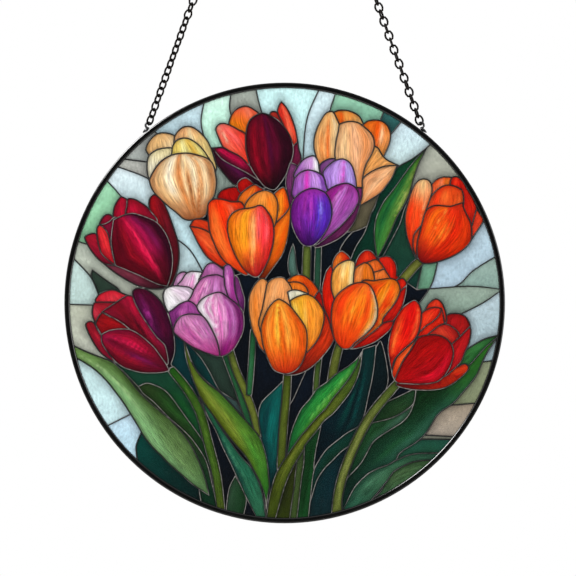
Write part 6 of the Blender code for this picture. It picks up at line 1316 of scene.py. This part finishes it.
# %% Build each glass object
def new_piece(name, corners, faces, finish, slot, *stands_for):
    """Make a mesh object of corners in metres that rides on the panel and stands for CAD solids."""
    mesh = bpy.data.meshes.new(name)
    mesh.from_pydata(corners, [], faces)
    mesh.materials.append(finish)
    piece = bpy.data.objects.new(name, mesh)
    bpy.context.scene.collection.objects.link(piece)
    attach(piece, "root")
    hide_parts(*stands_for)
    return piece


def glass_piece(node, numbers, finish):
    """The closed slabs of these cells as one object."""
    faces = fine[glass[np.isin(cell, numbers)]]
    used, inverse = np.unique(faces, return_inverse=True)
    faces = inverse.reshape(-1, 3)
    count = len(used)
    corners = [hung(x, y, z) for y_of in (front_y, back_y)
               for (x, z), y in zip(fine_spots[used].tolist(), y_of[used].tolist())]
    slabs = faces.tolist() + [(c + count, b + count, a + count) for a, b, c in faces.tolist()]
    slabs += [(b, a, a + count, b + count) for a, b in borders(faces)]
    nodes = [node] + [other for other, host in stand_in.items() if host == node]
    piece = new_piece("glass_" + node, corners, slabs, finish, solids[node], *nodes)
    mesh = piece.data
    colours = np.ones((2 * count, 4))
    colours[:, :3] = np.tile(linear(colour_at[used]), (2, 1))
    mesh.attributes.new("glass_colour", "FLOAT_COLOR", "POINT").data.foreach_set("color", colours.ravel())
    corner_of = np.empty(len(mesh.loops), int)
    mesh.loops.foreach_get("vertex_index", corner_of)
    sheet = np.tile(sheet_at[used], (2, 1))[corner_of]
    mesh.uv_layers.new(name="sheet").data.foreach_set("uv", sheet.ravel())
    mesh.shade_smooth()
    mesh.set_sharp_from_angle(angle=math.radians(40))
    return piece


# %% [markdown]
# ## Materials
#
# One function adds a node to a tree: its settings, and for each input either a number or the output that
# feeds it.


# %% Adding nodes
def add_node(tree, kind, inputs=None, **settings):
    """Add a node; inputs are numbers, colours or the outputs that feed them."""
    node = tree.nodes.new(kind)
    for name, value in settings.items():
        setattr(node, name, value)
    for name, value in (inputs or {}).items():
        if isinstance(value, bpy.types.NodeSocket):
            tree.links.new(value, node.inputs[name])
        else:
            node.inputs[name].default_value = value
    return node


def colour4(text):
    return (*linear(hex_rgb(text)), 1)


def new_material(name):
    """An empty material and its node tree."""
    made = bpy.data.materials.new(name)
    made.use_nodes = True
    made.node_tree.nodes.clear()
    return made, made.node_tree


def mottle(tree, millimetres, detail):
    """A cloudy pattern with blotches that many millimetres across."""
    spot = add_node(tree, "ShaderNodeTexCoord").outputs["Object"]
    return add_node(tree, "ShaderNodeTexNoise", {
        "Vector": spot, "Scale": 1000 / millimetres, "Detail": detail}).outputs[0]


def spread(tree, value, low, high, least=0.3, most=0.7, **settings):
    """A value from least to most, stretched to run from low to high."""
    return add_node(tree, "ShaderNodeMapRange", {
        "Value": value, "From Min": least, "From Max": most, "To Min": low, "To Max": high},
        **settings).outputs[0]


def blend(tree, part, first, second):
    """A colour between two hex colours."""
    return add_node(tree, "ShaderNodeMix", {0: part, 6: colour4(first), 7: colour4(second)},
                    data_type="RGBA").outputs[2]


def surfaced(made, tree, surface):
    """Finish a material with one principled surface."""
    shader = add_node(tree, "ShaderNodeBsdfPrincipled", surface)
    add_node(tree, "ShaderNodeOutputMaterial", {"Surface": shader.outputs[0]})
    return made


# %% [markdown]
# Streaky opalescent glass, hand-rolled from a ladle of several colours. It gives the eye long threads of
# lighter and darker colour that follow the petal, a slight clouding and a soft gloss, and it lets about
# three quarters of the light through. The threads are about half a millimetre wide and 8 mm long. Hammered
# cloudy glass and near-black glass are rolled the same way, with other sizes and fainter threads.


# %% Streaky opalescent glass
def rolled_glass(name, thread, run, depth, clouds, ripple):
    """Glass whose threads are that many millimetres wide and long, with clouds that many across."""
    made, tree = new_material(name)
    sheet = add_node(tree, "ShaderNodeUVMap", uv_map="sheet").outputs["UV"]
    base = add_node(tree, "ShaderNodeAttribute", attribute_name="glass_colour").outputs["Color"]
    drawn = add_node(tree, "ShaderNodeMapping", {"Vector": sheet, "Scale": (CM / thread, CM / run, 1)})
    threads = add_node(tree, "ShaderNodeTexNoise", {
        "Vector": drawn.outputs[0], "Scale": 1.0, "Detail": 4.0, "Roughness": 0.6}).outputs[0]
    lighter = spread(tree, threads, 1 - depth, 1 + depth)
    hazier = spread(tree, mottle(tree, clouds, 2.0), 0.9, 1.1)
    both = add_node(tree, "ShaderNodeMath", {0: lighter, 1: hazier}, operation="MULTIPLY")
    coloured = add_node(tree, "ShaderNodeHueSaturation", {"Color": base, "Value": both.outputs[0]})
    bump = add_node(tree, "ShaderNodeBump", {
        "Height": mottle(tree, ripple, 1.0), "Strength": 0.25, "Distance": 0.0002})
    return surfaced(made, tree, {
        "Base Color": coloured.outputs[0], "Roughness": 0.16, "IOR": 1.5, "Specular IOR Level": 0.25,
        "Transmission Weight": 0.78, "Normal": bump.outputs[0]})


# %% Cut every glass object
FINISHES = {
    "glass_mist": rolled_glass("hammered_cloudy_glass", 0.9, 1.8, 0.17, 6.0, 1.2),
    "glass_night": rolled_glass("near_black_rolled_glass", 1.5, 8.0, 0.2, 9.0, 2.0),
}
glass_pieces = []
for node, numbers in cells_of.items():
    slot = solids[node]
    if slot not in FINISHES:
        FINISHES[slot] = rolled_glass("streaky_opalescent_" + slot, 0.55, 8.0, 0.5, 4.0, 1.8)
    glass_pieces.append(glass_piece(node, numbers, FINISHES[slot]))
print(len(glass_pieces), "glass objects,", sum(len(p.data.polygons) for p in glass_pieces), "faces")

# %% [markdown]
# ## The solder bead
#
# A seam is a mound of tin and lead, highest over the seam, blackened with patina. Where it runs between
# dark panes a painted highlight turns its crown silver grey, so that the line still shows; between
# pale panes it stays black. How bright the glass beside each spot of the bead is decides which.

# %% Heights of the bead, and where its crown gets a painted highlight
BEAD_FOOT = 0.05
BEAD_REST = 0.02
DARK_GLASS, PALE_GLASS = 0.16, 0.36
bead_rise = SEAM_HALF_DEPTH - GLASS_HALF_DEPTH
glass_spots = np.unique(fine[glass])
glass_spots = glass_spots[seam_distance[glass_spots] > BEAD_EDGE]
beside_seam = KDTree(len(glass_spots))
for number in glass_spots.tolist():
    beside_seam.insert((*fine_spots[number], 0), number)
beside_seam.balance()


def highlight_beside_dark_glass(spots):
    """How strong the painted crown highlight is at each spot: 1 between dark panes, 0 between pale ones."""
    bright = []
    for x, z in spots.tolist():
        near = [number for _, number, _ in beside_seam.find_n((x, z, 0), 6)]
        bright.append(float((colour_at[near] @ (0.3, 0.6, 0.1)).mean()))
    return np.clip((PALE_GLASS - np.array(bright)) / (PALE_GLASS - DARK_GLASS), 0, 1)


def solder_piece(finish):
    faces = fine[bead]
    used, inverse = np.unique(faces, return_inverse=True)
    faces = inverse.reshape(-1, 3)
    in_heart = heart[bead]
    count = len(used)
    off = np.clip(seam_distance[used] / BEAD_EDGE, 0, 1)
    rise = BEAD_FOOT + (bead_rise - BEAD_FOOT) * np.sqrt(1 - off ** 2)
    levels = [-(GLASS_HALF_DEPTH + rise), np.full(count, -(GLASS_HALF_DEPTH + BEAD_REST)),
              np.full(count, GLASS_HALF_DEPTH + BEAD_REST), GLASS_HALF_DEPTH + rise]
    corners = [hung(x, y, z) for level in levels
               for (x, z), y in zip(fine_spots[used].tolist(), level.tolist())]
    first, second, third = count, 2 * count, 3 * count
    skin = faces.tolist() + [(c + third, b + third, a + third) for a, b, c in faces.tolist()]
    for a, b, c in faces[~in_heart].tolist():
        skin += [(c + first, b + first, a + first), (a + second, b + second, c + second)]
    for a, b in borders(faces):
        skin += [(b, a, a + first, b + first), (b + second, a + second, a + third, b + third)]
    skin += [(b + first, a + first, a + second, b + second) for a, b in borders(faces[in_heart])]
    piece = new_piece("solder_bead", corners, skin, finish, "black_solder", "solder_network")
    mesh = piece.data
    # Painted highlight along the crown of the bead, strongest between dark panes.
    crown_highlight = np.tile((1 - off ** 2) * highlight_beside_dark_glass(fine_spots[used]), 4)
    mesh.attributes.new("crown_highlight", "FLOAT", "POINT").data.foreach_set("value", crown_highlight)
    stray = bmesh.new()
    stray.from_mesh(mesh)
    bmesh.ops.delete(stray, geom=[v for v in stray.verts if not v.link_faces], context="VERTS")
    stray.to_mesh(mesh)
    stray.free()
    mesh.shade_smooth()
    mesh.set_sharp_from_angle(angle=math.radians(50))
    return piece


def patinated_solder_with_painted_highlight(name):
    made, tree = new_material(name)
    crown_highlight = add_node(tree, "ShaderNodeAttribute", attribute_name="crown_highlight").outputs["Fac"]
    uneven = spread(tree, mottle(tree, 1.5, 3.0), 0.7, 1.1)
    uneven_highlight = add_node(tree, "ShaderNodeMath", {0: crown_highlight, 1: uneven}, operation="MULTIPLY")
    # Painted highlight: the crown turns silver grey where it is strong; elsewhere the black patina stays.
    highlight_mix = spread(tree, uneven_highlight.outputs[0], 0.0, 0.85, 0.45, 1.0, interpolation_type="SMOOTHSTEP")
    return surfaced(made, tree, {
        "Base Color": blend(tree, highlight_mix, "060607", "7a7672"), "Roughness": 0.42, "Specular IOR Level": 0.3})


solder = solder_piece(patinated_solder_with_painted_highlight("black_patina_solder_with_painted_highlight"))
print("solder:", len(solder.data.polygons), "faces")

# %% [markdown]
# ## The rim
#
# The panel is held in a U-shaped channel of thin metal, bent to a ring and lacquered black. Its edges are
# bevelled on both sides, so that a light from the side draws one bright line along them.
# The profile is drawn once, its corners are rounded, and it is turned round the panel.

# %% A channel turned round the panel
RIM_FACE, RIM_WEB, RIM_CLEARANCE = 2.4, 0.6, 0.3
RIM_LIP = PANEL_RADIUS - RIM_FACE
RIM_INSIDE = PANEL_RADIUS - RIM_WEB
RIM_GAP = GLASS_HALF_DEPTH + RIM_CLEARANCE
RIM_TURNS = 180


def rounded(points, radii, steps=5):
    """The closed polygon with each corner turned on its own radius."""
    ring = []
    for k, (corner, radius) in enumerate(zip(points, radii)):
        corner = Vector(corner)
        back = (Vector(points[k - 1]) - corner).normalized()
        on = (Vector(points[(k + 1) % len(points)]) - corner).normalized()
        start, end = corner + back * radius, corner + on * radius
        for step in range(steps + 1):
            t = step / steps
            ring.append(start * (1 - t) ** 2 + corner * 2 * t * (1 - t) + end * t ** 2)
    return ring


def turned_ring(profile, turns):
    """Corners and faces of a profile of (radius, depth) turned round the panel's axis."""
    corners, faces = [], []
    for step in range(turns):
        angle = math.tau * step / turns
        corners += [hung(p.x * math.cos(angle), p.y, p.x * math.sin(angle)) for p in profile]
    size = len(profile)
    for step in range(turns):
        here, there = step * size, (step + 1) % turns * size
        faces += [(here + k, here + (k + 1) % size, there + (k + 1) % size, there + k) for k in range(size)]
    return corners, faces


def lacquered_channel(name):
    """Rolled metal channel under satin black lacquer: dark, with a soft clear gloss on its edges."""
    made, tree = new_material(name)
    wear = mottle(tree, 6.0, 4.0)
    return surfaced(made, tree, {
        "Base Color": blend(tree, wear, "020202", "050505"), "Roughness": spread(tree, wear, 0.14, 0.22),
        "Specular IOR Level": 0.35})


BEVEL_WIDTH, BEVEL_DEPTH = 0.5, 0.3
shoulder = RIM_HALF_DEPTH - BEVEL_DEPTH
channel = [(RIM_LIP, -shoulder), (RIM_LIP + BEVEL_WIDTH, -RIM_HALF_DEPTH),
           (PANEL_RADIUS - BEVEL_WIDTH, -RIM_HALF_DEPTH), (PANEL_RADIUS, -shoulder), (PANEL_RADIUS, shoulder),
           (PANEL_RADIUS - BEVEL_WIDTH, RIM_HALF_DEPTH), (RIM_LIP + BEVEL_WIDTH, RIM_HALF_DEPTH),
           (RIM_LIP, shoulder), (RIM_LIP, RIM_GAP), (RIM_INSIDE, RIM_GAP),
           (RIM_INSIDE, -RIM_GAP), (RIM_LIP, -RIM_GAP)]
profile = rounded(channel, [0.1, 0.25, 0.25, 0.15, 0.15, 0.25, 0.25, 0.1, 0.05, 0.1, 0.1, 0.05])
black_lacquer = lacquered_channel("satin_black_lacquered_channel")
rim = new_piece("rim_channel", *turned_ring(profile, RIM_TURNS), black_lacquer, "black_rim", "rim")
rim.data.shade_smooth()
rim.data.set_sharp_from_angle(angle=math.radians(40))
print("rim:", len(rim.data.polygons), "faces")

# %% [markdown]
# ## The chain
#
# The chain is made of open oval links of blackened steel wire, each turned a quarter round against the next,
# from the loop on the rim up to the link that hangs on the hook. A chain is one shape repeated by a rule, so
# Geometry Nodes make it: an oval curve is given a round section, copied along a line, turned link by link,
# and leant over as a whole. A real chain never hangs without a twist, so its turn drifts along the way.

# %% A tree that makes a run of links
CHAIN_INPUTS = (("Links", "Int"), ("Pitch", "Float"), ("Wire", "Float"), ("Link Length", "Float"),
                ("Link Width", "Float"), ("First Link", "Vector"), ("Lean", "Float"), ("Twist", "Float"),
                ("Twist Middle", "Float"), ("Twist Spread", "Float"), ("Swing", "Float"),
                ("Start Turn", "Float"), ("Seed", "Int"), ("Finish", "Material"))


def chain_tree():
    """Geometry Nodes: one oval link, copied down a line and turned by a quarter each time."""
    tree = bpy.data.node_groups.new("open_link_chain", "GeometryNodeTree")
    for name, kind in CHAIN_INPUTS:
        tree.interface.new_socket(name, in_out="INPUT", socket_type="NodeSocket" + kind)
    tree.interface.new_socket("Chain", in_out="OUTPUT", socket_type="NodeSocketGeometry")
    given = tree.nodes.new("NodeGroupInput").outputs

    def maths(operation, a, b):
        return add_node(tree, "ShaderNodeMath", {0: a, 1: b}, operation=operation).outputs[0]

    long_way = maths("SUBTRACT", given["Link Length"], given["Wire"])
    wide_way = maths("SUBTRACT", given["Link Width"], given["Wire"])
    oblong = add_node(tree, "GeometryNodeCurvePrimitiveQuadrilateral", {0: wide_way, 1: long_way})
    oval = add_node(tree, "GeometryNodeFilletCurve", {"Curve": oblong.outputs[0],
                    "Radius": maths("MULTIPLY", wide_way, 0.499), "Count": 2}, mode="POLY")
    section = add_node(tree, "GeometryNodeCurvePrimitiveCircle", {
        "Resolution": 6, "Radius": maths("MULTIPLY", given["Wire"], 0.5)})
    wire = add_node(tree, "GeometryNodeCurveToMesh", {"Curve": oval.outputs[0],
                    "Profile Curve": section.outputs[0]})
    upright = add_node(tree, "GeometryNodeTransform", {
        "Geometry": wire.outputs[0], "Rotation": (math.pi / 2, 0, 0)})
    step = add_node(tree, "ShaderNodeCombineXYZ", {2: maths("MULTIPLY", given["Pitch"], -1.0)})
    row = add_node(tree, "GeometryNodeMeshLine", {"Count": given["Links"], "Offset": step.outputs[0]})
    number = add_node(tree, "GeometryNodeInputIndex").outputs[0]
    quarter = maths("ADD", maths("MULTIPLY", number, math.pi / 2), given["Start Turn"])
    away = maths("DIVIDE", maths("SUBTRACT", number, given["Twist Middle"]), given["Twist Spread"])
    hump = maths("POWER", math.e, maths("MULTIPLY", maths("MULTIPLY", away, away), -1.0))
    drift = maths("MULTIPLY", given["Twist"], hump)
    swing = add_node(tree, "FunctionNodeRandomValue", {"Seed": given["Seed"]}, data_type="FLOAT")
    tree.links.new(maths("MULTIPLY", given["Swing"], -1.0), swing.inputs[2])
    tree.links.new(given["Swing"], swing.inputs[3])
    turn = maths("ADD", maths("ADD", quarter, drift), swing.outputs[1])
    turned = add_node(tree, "ShaderNodeCombineXYZ", {2: turn})
    rotation = add_node(tree, "FunctionNodeEulerToRotation", {0: turned.outputs[0]})
    links = add_node(tree, "GeometryNodeInstanceOnPoints", {
        "Points": row.outputs[0], "Instance": upright.outputs[0], "Rotation": rotation.outputs[0]})
    lean = add_node(tree, "ShaderNodeCombineXYZ", {1: given["Lean"]})
    leant = add_node(tree, "GeometryNodeTransform", {
        "Geometry": links.outputs[0], "Translation": given["First Link"], "Rotation": lean.outputs[0]})
    real = add_node(tree, "GeometryNodeRealizeInstances", {0: leant.outputs[0]})
    finished = add_node(tree, "GeometryNodeSetMaterial", {
        "Geometry": real.outputs[0], "Material": given["Finish"]})
    tree.links.new(finished.outputs[0], tree.nodes.new("NodeGroupOutput").inputs[0])
    return tree


links_tree = chain_tree()
print(len(links_tree.nodes), "nodes in the chain's tree")

# %% [markdown]
# The hanging link of the CAD model says where the chain starts: each run begins in one bend of that link
# and ends in the loop on the rim, 37.5 degrees from the top.

# %% Two runs of chain
link_low, link_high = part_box("hanging_link")
LINK_LENGTH, LINK_WIDTH, LINK_WIRE = 5.3, 4.2, 0.95
LINK_BEND = (LINK_WIDTH - LINK_WIRE) / 2
LINK_PITCH = LINK_LENGTH - 2 * LINK_WIRE
LINKS_PER_SIDE = 53
BEND_X = (LINK_LENGTH - LINK_WIDTH) / 2
BEND_Z = (link_low.z + link_high.z) / 2 / MM
LOOP_ANGLE = math.radians(37.5)
LOOP_REACH = PANEL_RADIUS + 1.8
LOOP_RADIUS = 1.25
loop_x = LOOP_REACH * math.sin(LOOP_ANGLE)
loop_drop = BEND_Z - PANEL_Z - LOOP_REACH * math.cos(LOOP_ANGLE)
chain_lean = math.atan2(loop_x - BEND_X, loop_drop)


def blackened_steel(name):
    """Steel wire blackened in a hot salt bath: near black, with a dull oily gloss on its rounds."""
    made, tree = new_material(name)
    blotch = mottle(tree, 1.2, 3.0)
    return surfaced(made, tree, {
        "Base Color": blend(tree, blotch, "060505", "1c1816"), "Roughness": spread(tree, blotch, 0.3, 0.45),
        "Metallic": 1.0})


def as_piece(thing, name, slot, *stands_for):
    """Turn an object's evaluated shape into a plain mesh object that stands for CAD solids."""
    bpy.context.view_layer.update()
    mesh = bpy.data.meshes.new_from_object(thing.evaluated_get(bpy.context.evaluated_depsgraph_get()))
    bpy.data.objects.remove(thing)
    mesh.name = name
    piece = bpy.data.objects.new(name, mesh)
    bpy.context.scene.collection.objects.link(piece)
    mesh.shade_smooth()
    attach(piece, "root")
    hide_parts(*stands_for)
    return piece


def chain_run(name, side, start_turn, twist, twist_middle, node):
    """A run of links from the hanging link to the loop on one side."""
    down = Vector((side * math.sin(chain_lean), 0, -math.cos(chain_lean)))
    first = Vector((side * BEND_X, 0, BEND_Z)) + down * (LINK_BEND + LINK_LENGTH / 2 - 1.5 * LINK_WIRE)
    sizes_given = {"Links": LINKS_PER_SIDE, "Pitch": LINK_PITCH * MM, "Wire": LINK_WIRE * MM,
                   "Link Length": LINK_LENGTH * MM, "Link Width": LINK_WIDTH * MM, "First Link": first * MM,
                   "Lean": -side * chain_lean, "Twist": twist, "Twist Middle": twist_middle,
                   "Twist Spread": 5.0, "Swing": 0.14, "Start Turn": start_turn, "Seed": 4 + side,
                   "Finish": black_steel}
    holder = bpy.data.objects.new(name, bpy.data.meshes.new(name))
    bpy.context.scene.collection.objects.link(holder)
    run = holder.modifiers.new("links", "NODES")
    run.node_group = links_tree
    for socket in links_tree.interface.items_tree:
        if socket.in_out == "INPUT":
            run[socket.identifier] = sizes_given[socket.name]
    return as_piece(holder, name, "black_chain", node)


black_steel = blackened_steel("blackened_steel_wire")
chains = [chain_run("chain_links_left", -1, 0.8, 0.5, 33.0, "chain_left"),
          chain_run("chain_links_right", 1, 0.1, 0.3, 20.0, "chain_right")]
print("chain lean", round(math.degrees(chain_lean), 2), "faces", [len(c.data.polygons) for c in chains])

# %% [markdown]
# ## The hanging link and the loops
#
# The link on the hook is one more of the same, lying on its side. Each loop is a short wire bent to an eye,
# with one foot that lies along the rim and is held by a little solder. Both are curves with a round section.


# %% Bent wires
def bent_wire(name, path, swells, closed, finish, slot, node):
    """A round wire along a path in metres, thicker where a swell above 1 is given."""
    curve = bpy.data.curves.new(name, "CURVE")
    curve.dimensions = "3D"
    curve.bevel_depth = LINK_WIRE / 2 * MM
    curve.bevel_resolution = 3
    curve.use_fill_caps = not closed
    spline = curve.splines.new("POLY")
    spline.points.add(len(path) - 1)
    for point, spot, swollen in zip(spline.points, path, swells):
        point.co = (*spot, 1)
        point.radius = swollen
    spline.use_cyclic_u = closed
    curve.materials.append(finish)
    thing = bpy.data.objects.new(name, curve)
    bpy.context.scene.collection.objects.link(thing)
    return as_piece(thing, name, slot, node)


def tinned_wire(name):
    """Tinned copper wire: silvery, drawn smooth, a little dulled."""
    made, tree = new_material(name)
    dull = mottle(tree, 0.8, 3.0)
    return surfaced(made, tree, {
        "Base Color": blend(tree, dull, "0c0c0d", "5c5c5e"),
        "Roughness": spread(tree, dull, 0.15, 0.4, 0.0, 1.0), "Metallic": 1.0})


BEND_STEPS = 12
hook_path = []
for side in (1, -1):
    for step in range(BEND_STEPS + 1):
        angle = math.pi * (step / BEND_STEPS - 0.5)
        hook_path.append(Vector((side * (BEND_X + LINK_BEND * math.cos(angle)), 0,
                                 BEND_Z + side * LINK_BEND * math.sin(angle))) * MM)
bent_wire("hanging_link_wire", hook_path, [1] * len(hook_path), True, black_steel, "black_chain",
          "hanging_link")

silver = tinned_wire("tinned_copper_wire")
LOOP_FOOT = 4.0
loops = []
for side, label in ((-1, "left"), (1, "right")):
    rest = PANEL_RADIUS + 0.3 + LINK_WIRE / 2
    half = [(LOOP_FOOT, rest - 0.1), (3.0, rest), (1.9, rest), (1.2, rest + 0.01)]
    swells = [0.5, 1.2, 1.5, 1.4]
    half += [(LOOP_RADIUS * math.cos(a), LOOP_REACH + LOOP_RADIUS * math.sin(a))
             for a in (math.radians(turn) for turn in range(-55, 181, 10))]
    out = Vector((side * math.sin(LOOP_ANGLE), math.cos(LOOP_ANGLE)))
    on = Vector((side * math.cos(LOOP_ANGLE), -math.sin(LOOP_ANGLE)))
    flat = [on * t + out * r for t, r in half]
    path = [hung(p.x, 0, p.y) for p in flat]
    swells += [1.1] * (len(path) - len(swells))
    loops.append(bent_wire("loop_wire_" + label, path, swells, False, silver, "tinned_wire",
                           "hanging_loop_" + label))
print("loops:", [len(loop.data.polygons) for loop in loops])

# %% [markdown]
# ## Floor, light and camera
#
# The panel hangs over a pale floor in a plain bright room: white all round, so that light comes through the
# glass, and dim only in a cone straight in front, which is what the flat glass would mirror. A large soft
# light high on the left draws the bright line on the rim, and a weaker one on the right fills in.

# %% Floor and room
FLOOR_DROP = 0.6
floor_mesh = bpy.data.meshes.new("floor")
floor_z = cad_box[0].z - FLOOR_DROP
floor_mesh.from_pydata([(x, y, floor_z) for x, y in ((-3, -3), (3, -3), (3, 3), (-3, 3))],
                       [], [(0, 1, 2, 3)])
floor = bpy.data.objects.new("floor", floor_mesh)
bpy.context.scene.collection.objects.link(floor)
paint, tree = new_material("pale_painted_floor")
spot = add_node(tree, "ShaderNodeTexCoord").outputs["Object"]
grain = add_node(tree, "ShaderNodeTexNoise", {"Vector": spot, "Scale": 60.0, "Detail": 4.0})
tone = blend(tree, grain.outputs[0], "eceae6", "f4f2ee")
floor_mesh.materials.append(surfaced(paint, tree, {"Base Color": tone, "Roughness": 0.8}))

world = bpy.data.worlds.new("bright_room")
bpy.context.scene.world = world
world.use_nodes = True
world.node_tree.nodes.clear()
towards = add_node(world.node_tree, "ShaderNodeTexCoord").outputs["Generated"]
apart = add_node(world.node_tree, "ShaderNodeSeparateXYZ", {0: towards})
behind = spread(world.node_tree, apart.outputs[1], 0.08, 1.0, -0.92, -0.66, interpolation_type="SMOOTHSTEP")
room = add_node(world.node_tree, "ShaderNodeBackground", {"Color": (1, 1, 1, 1), "Strength": behind})
add_node(world.node_tree, "ShaderNodeOutputWorld", {"Surface": room.outputs[0]})
bpy.context.scene.view_settings.view_transform = "Standard"

# %% Lights and camera
VIEW_DISTANCE = 1.2
panel_centre = hung(0, 0, 0)


def soft_light(name, away, size, power):
    """A square lamp that faces the panel from a point beside its centre."""
    lamp = bpy.data.lights.new(name, "AREA")
    lamp.size = size
    lamp.energy = power
    thing = bpy.data.objects.new(name, lamp)
    thing.location = panel_centre + Vector(away)
    thing.rotation_euler = (-Vector(away)).to_track_quat("-Z", "Y").to_euler()
    bpy.context.scene.collection.objects.link(thing)


soft_light("key_left", (-0.75, -0.6, 0.75), 0.4, 22.0)
soft_light("fill_right", (0.9, -0.6, 0.1), 0.6, 5.0)

lens = bpy.data.cameras.new("camera")
lens.lens = 165.0
lens.clip_end = 20.0
camera = bpy.data.objects.new("camera", lens)
camera.location = hung(1.5, 0, 6.8) + Vector((0, -VIEW_DISTANCE, 0))
camera.rotation_euler = (math.pi / 2, 0, 0)
bpy.context.scene.collection.objects.link(camera)
bpy.context.scene.camera = camera
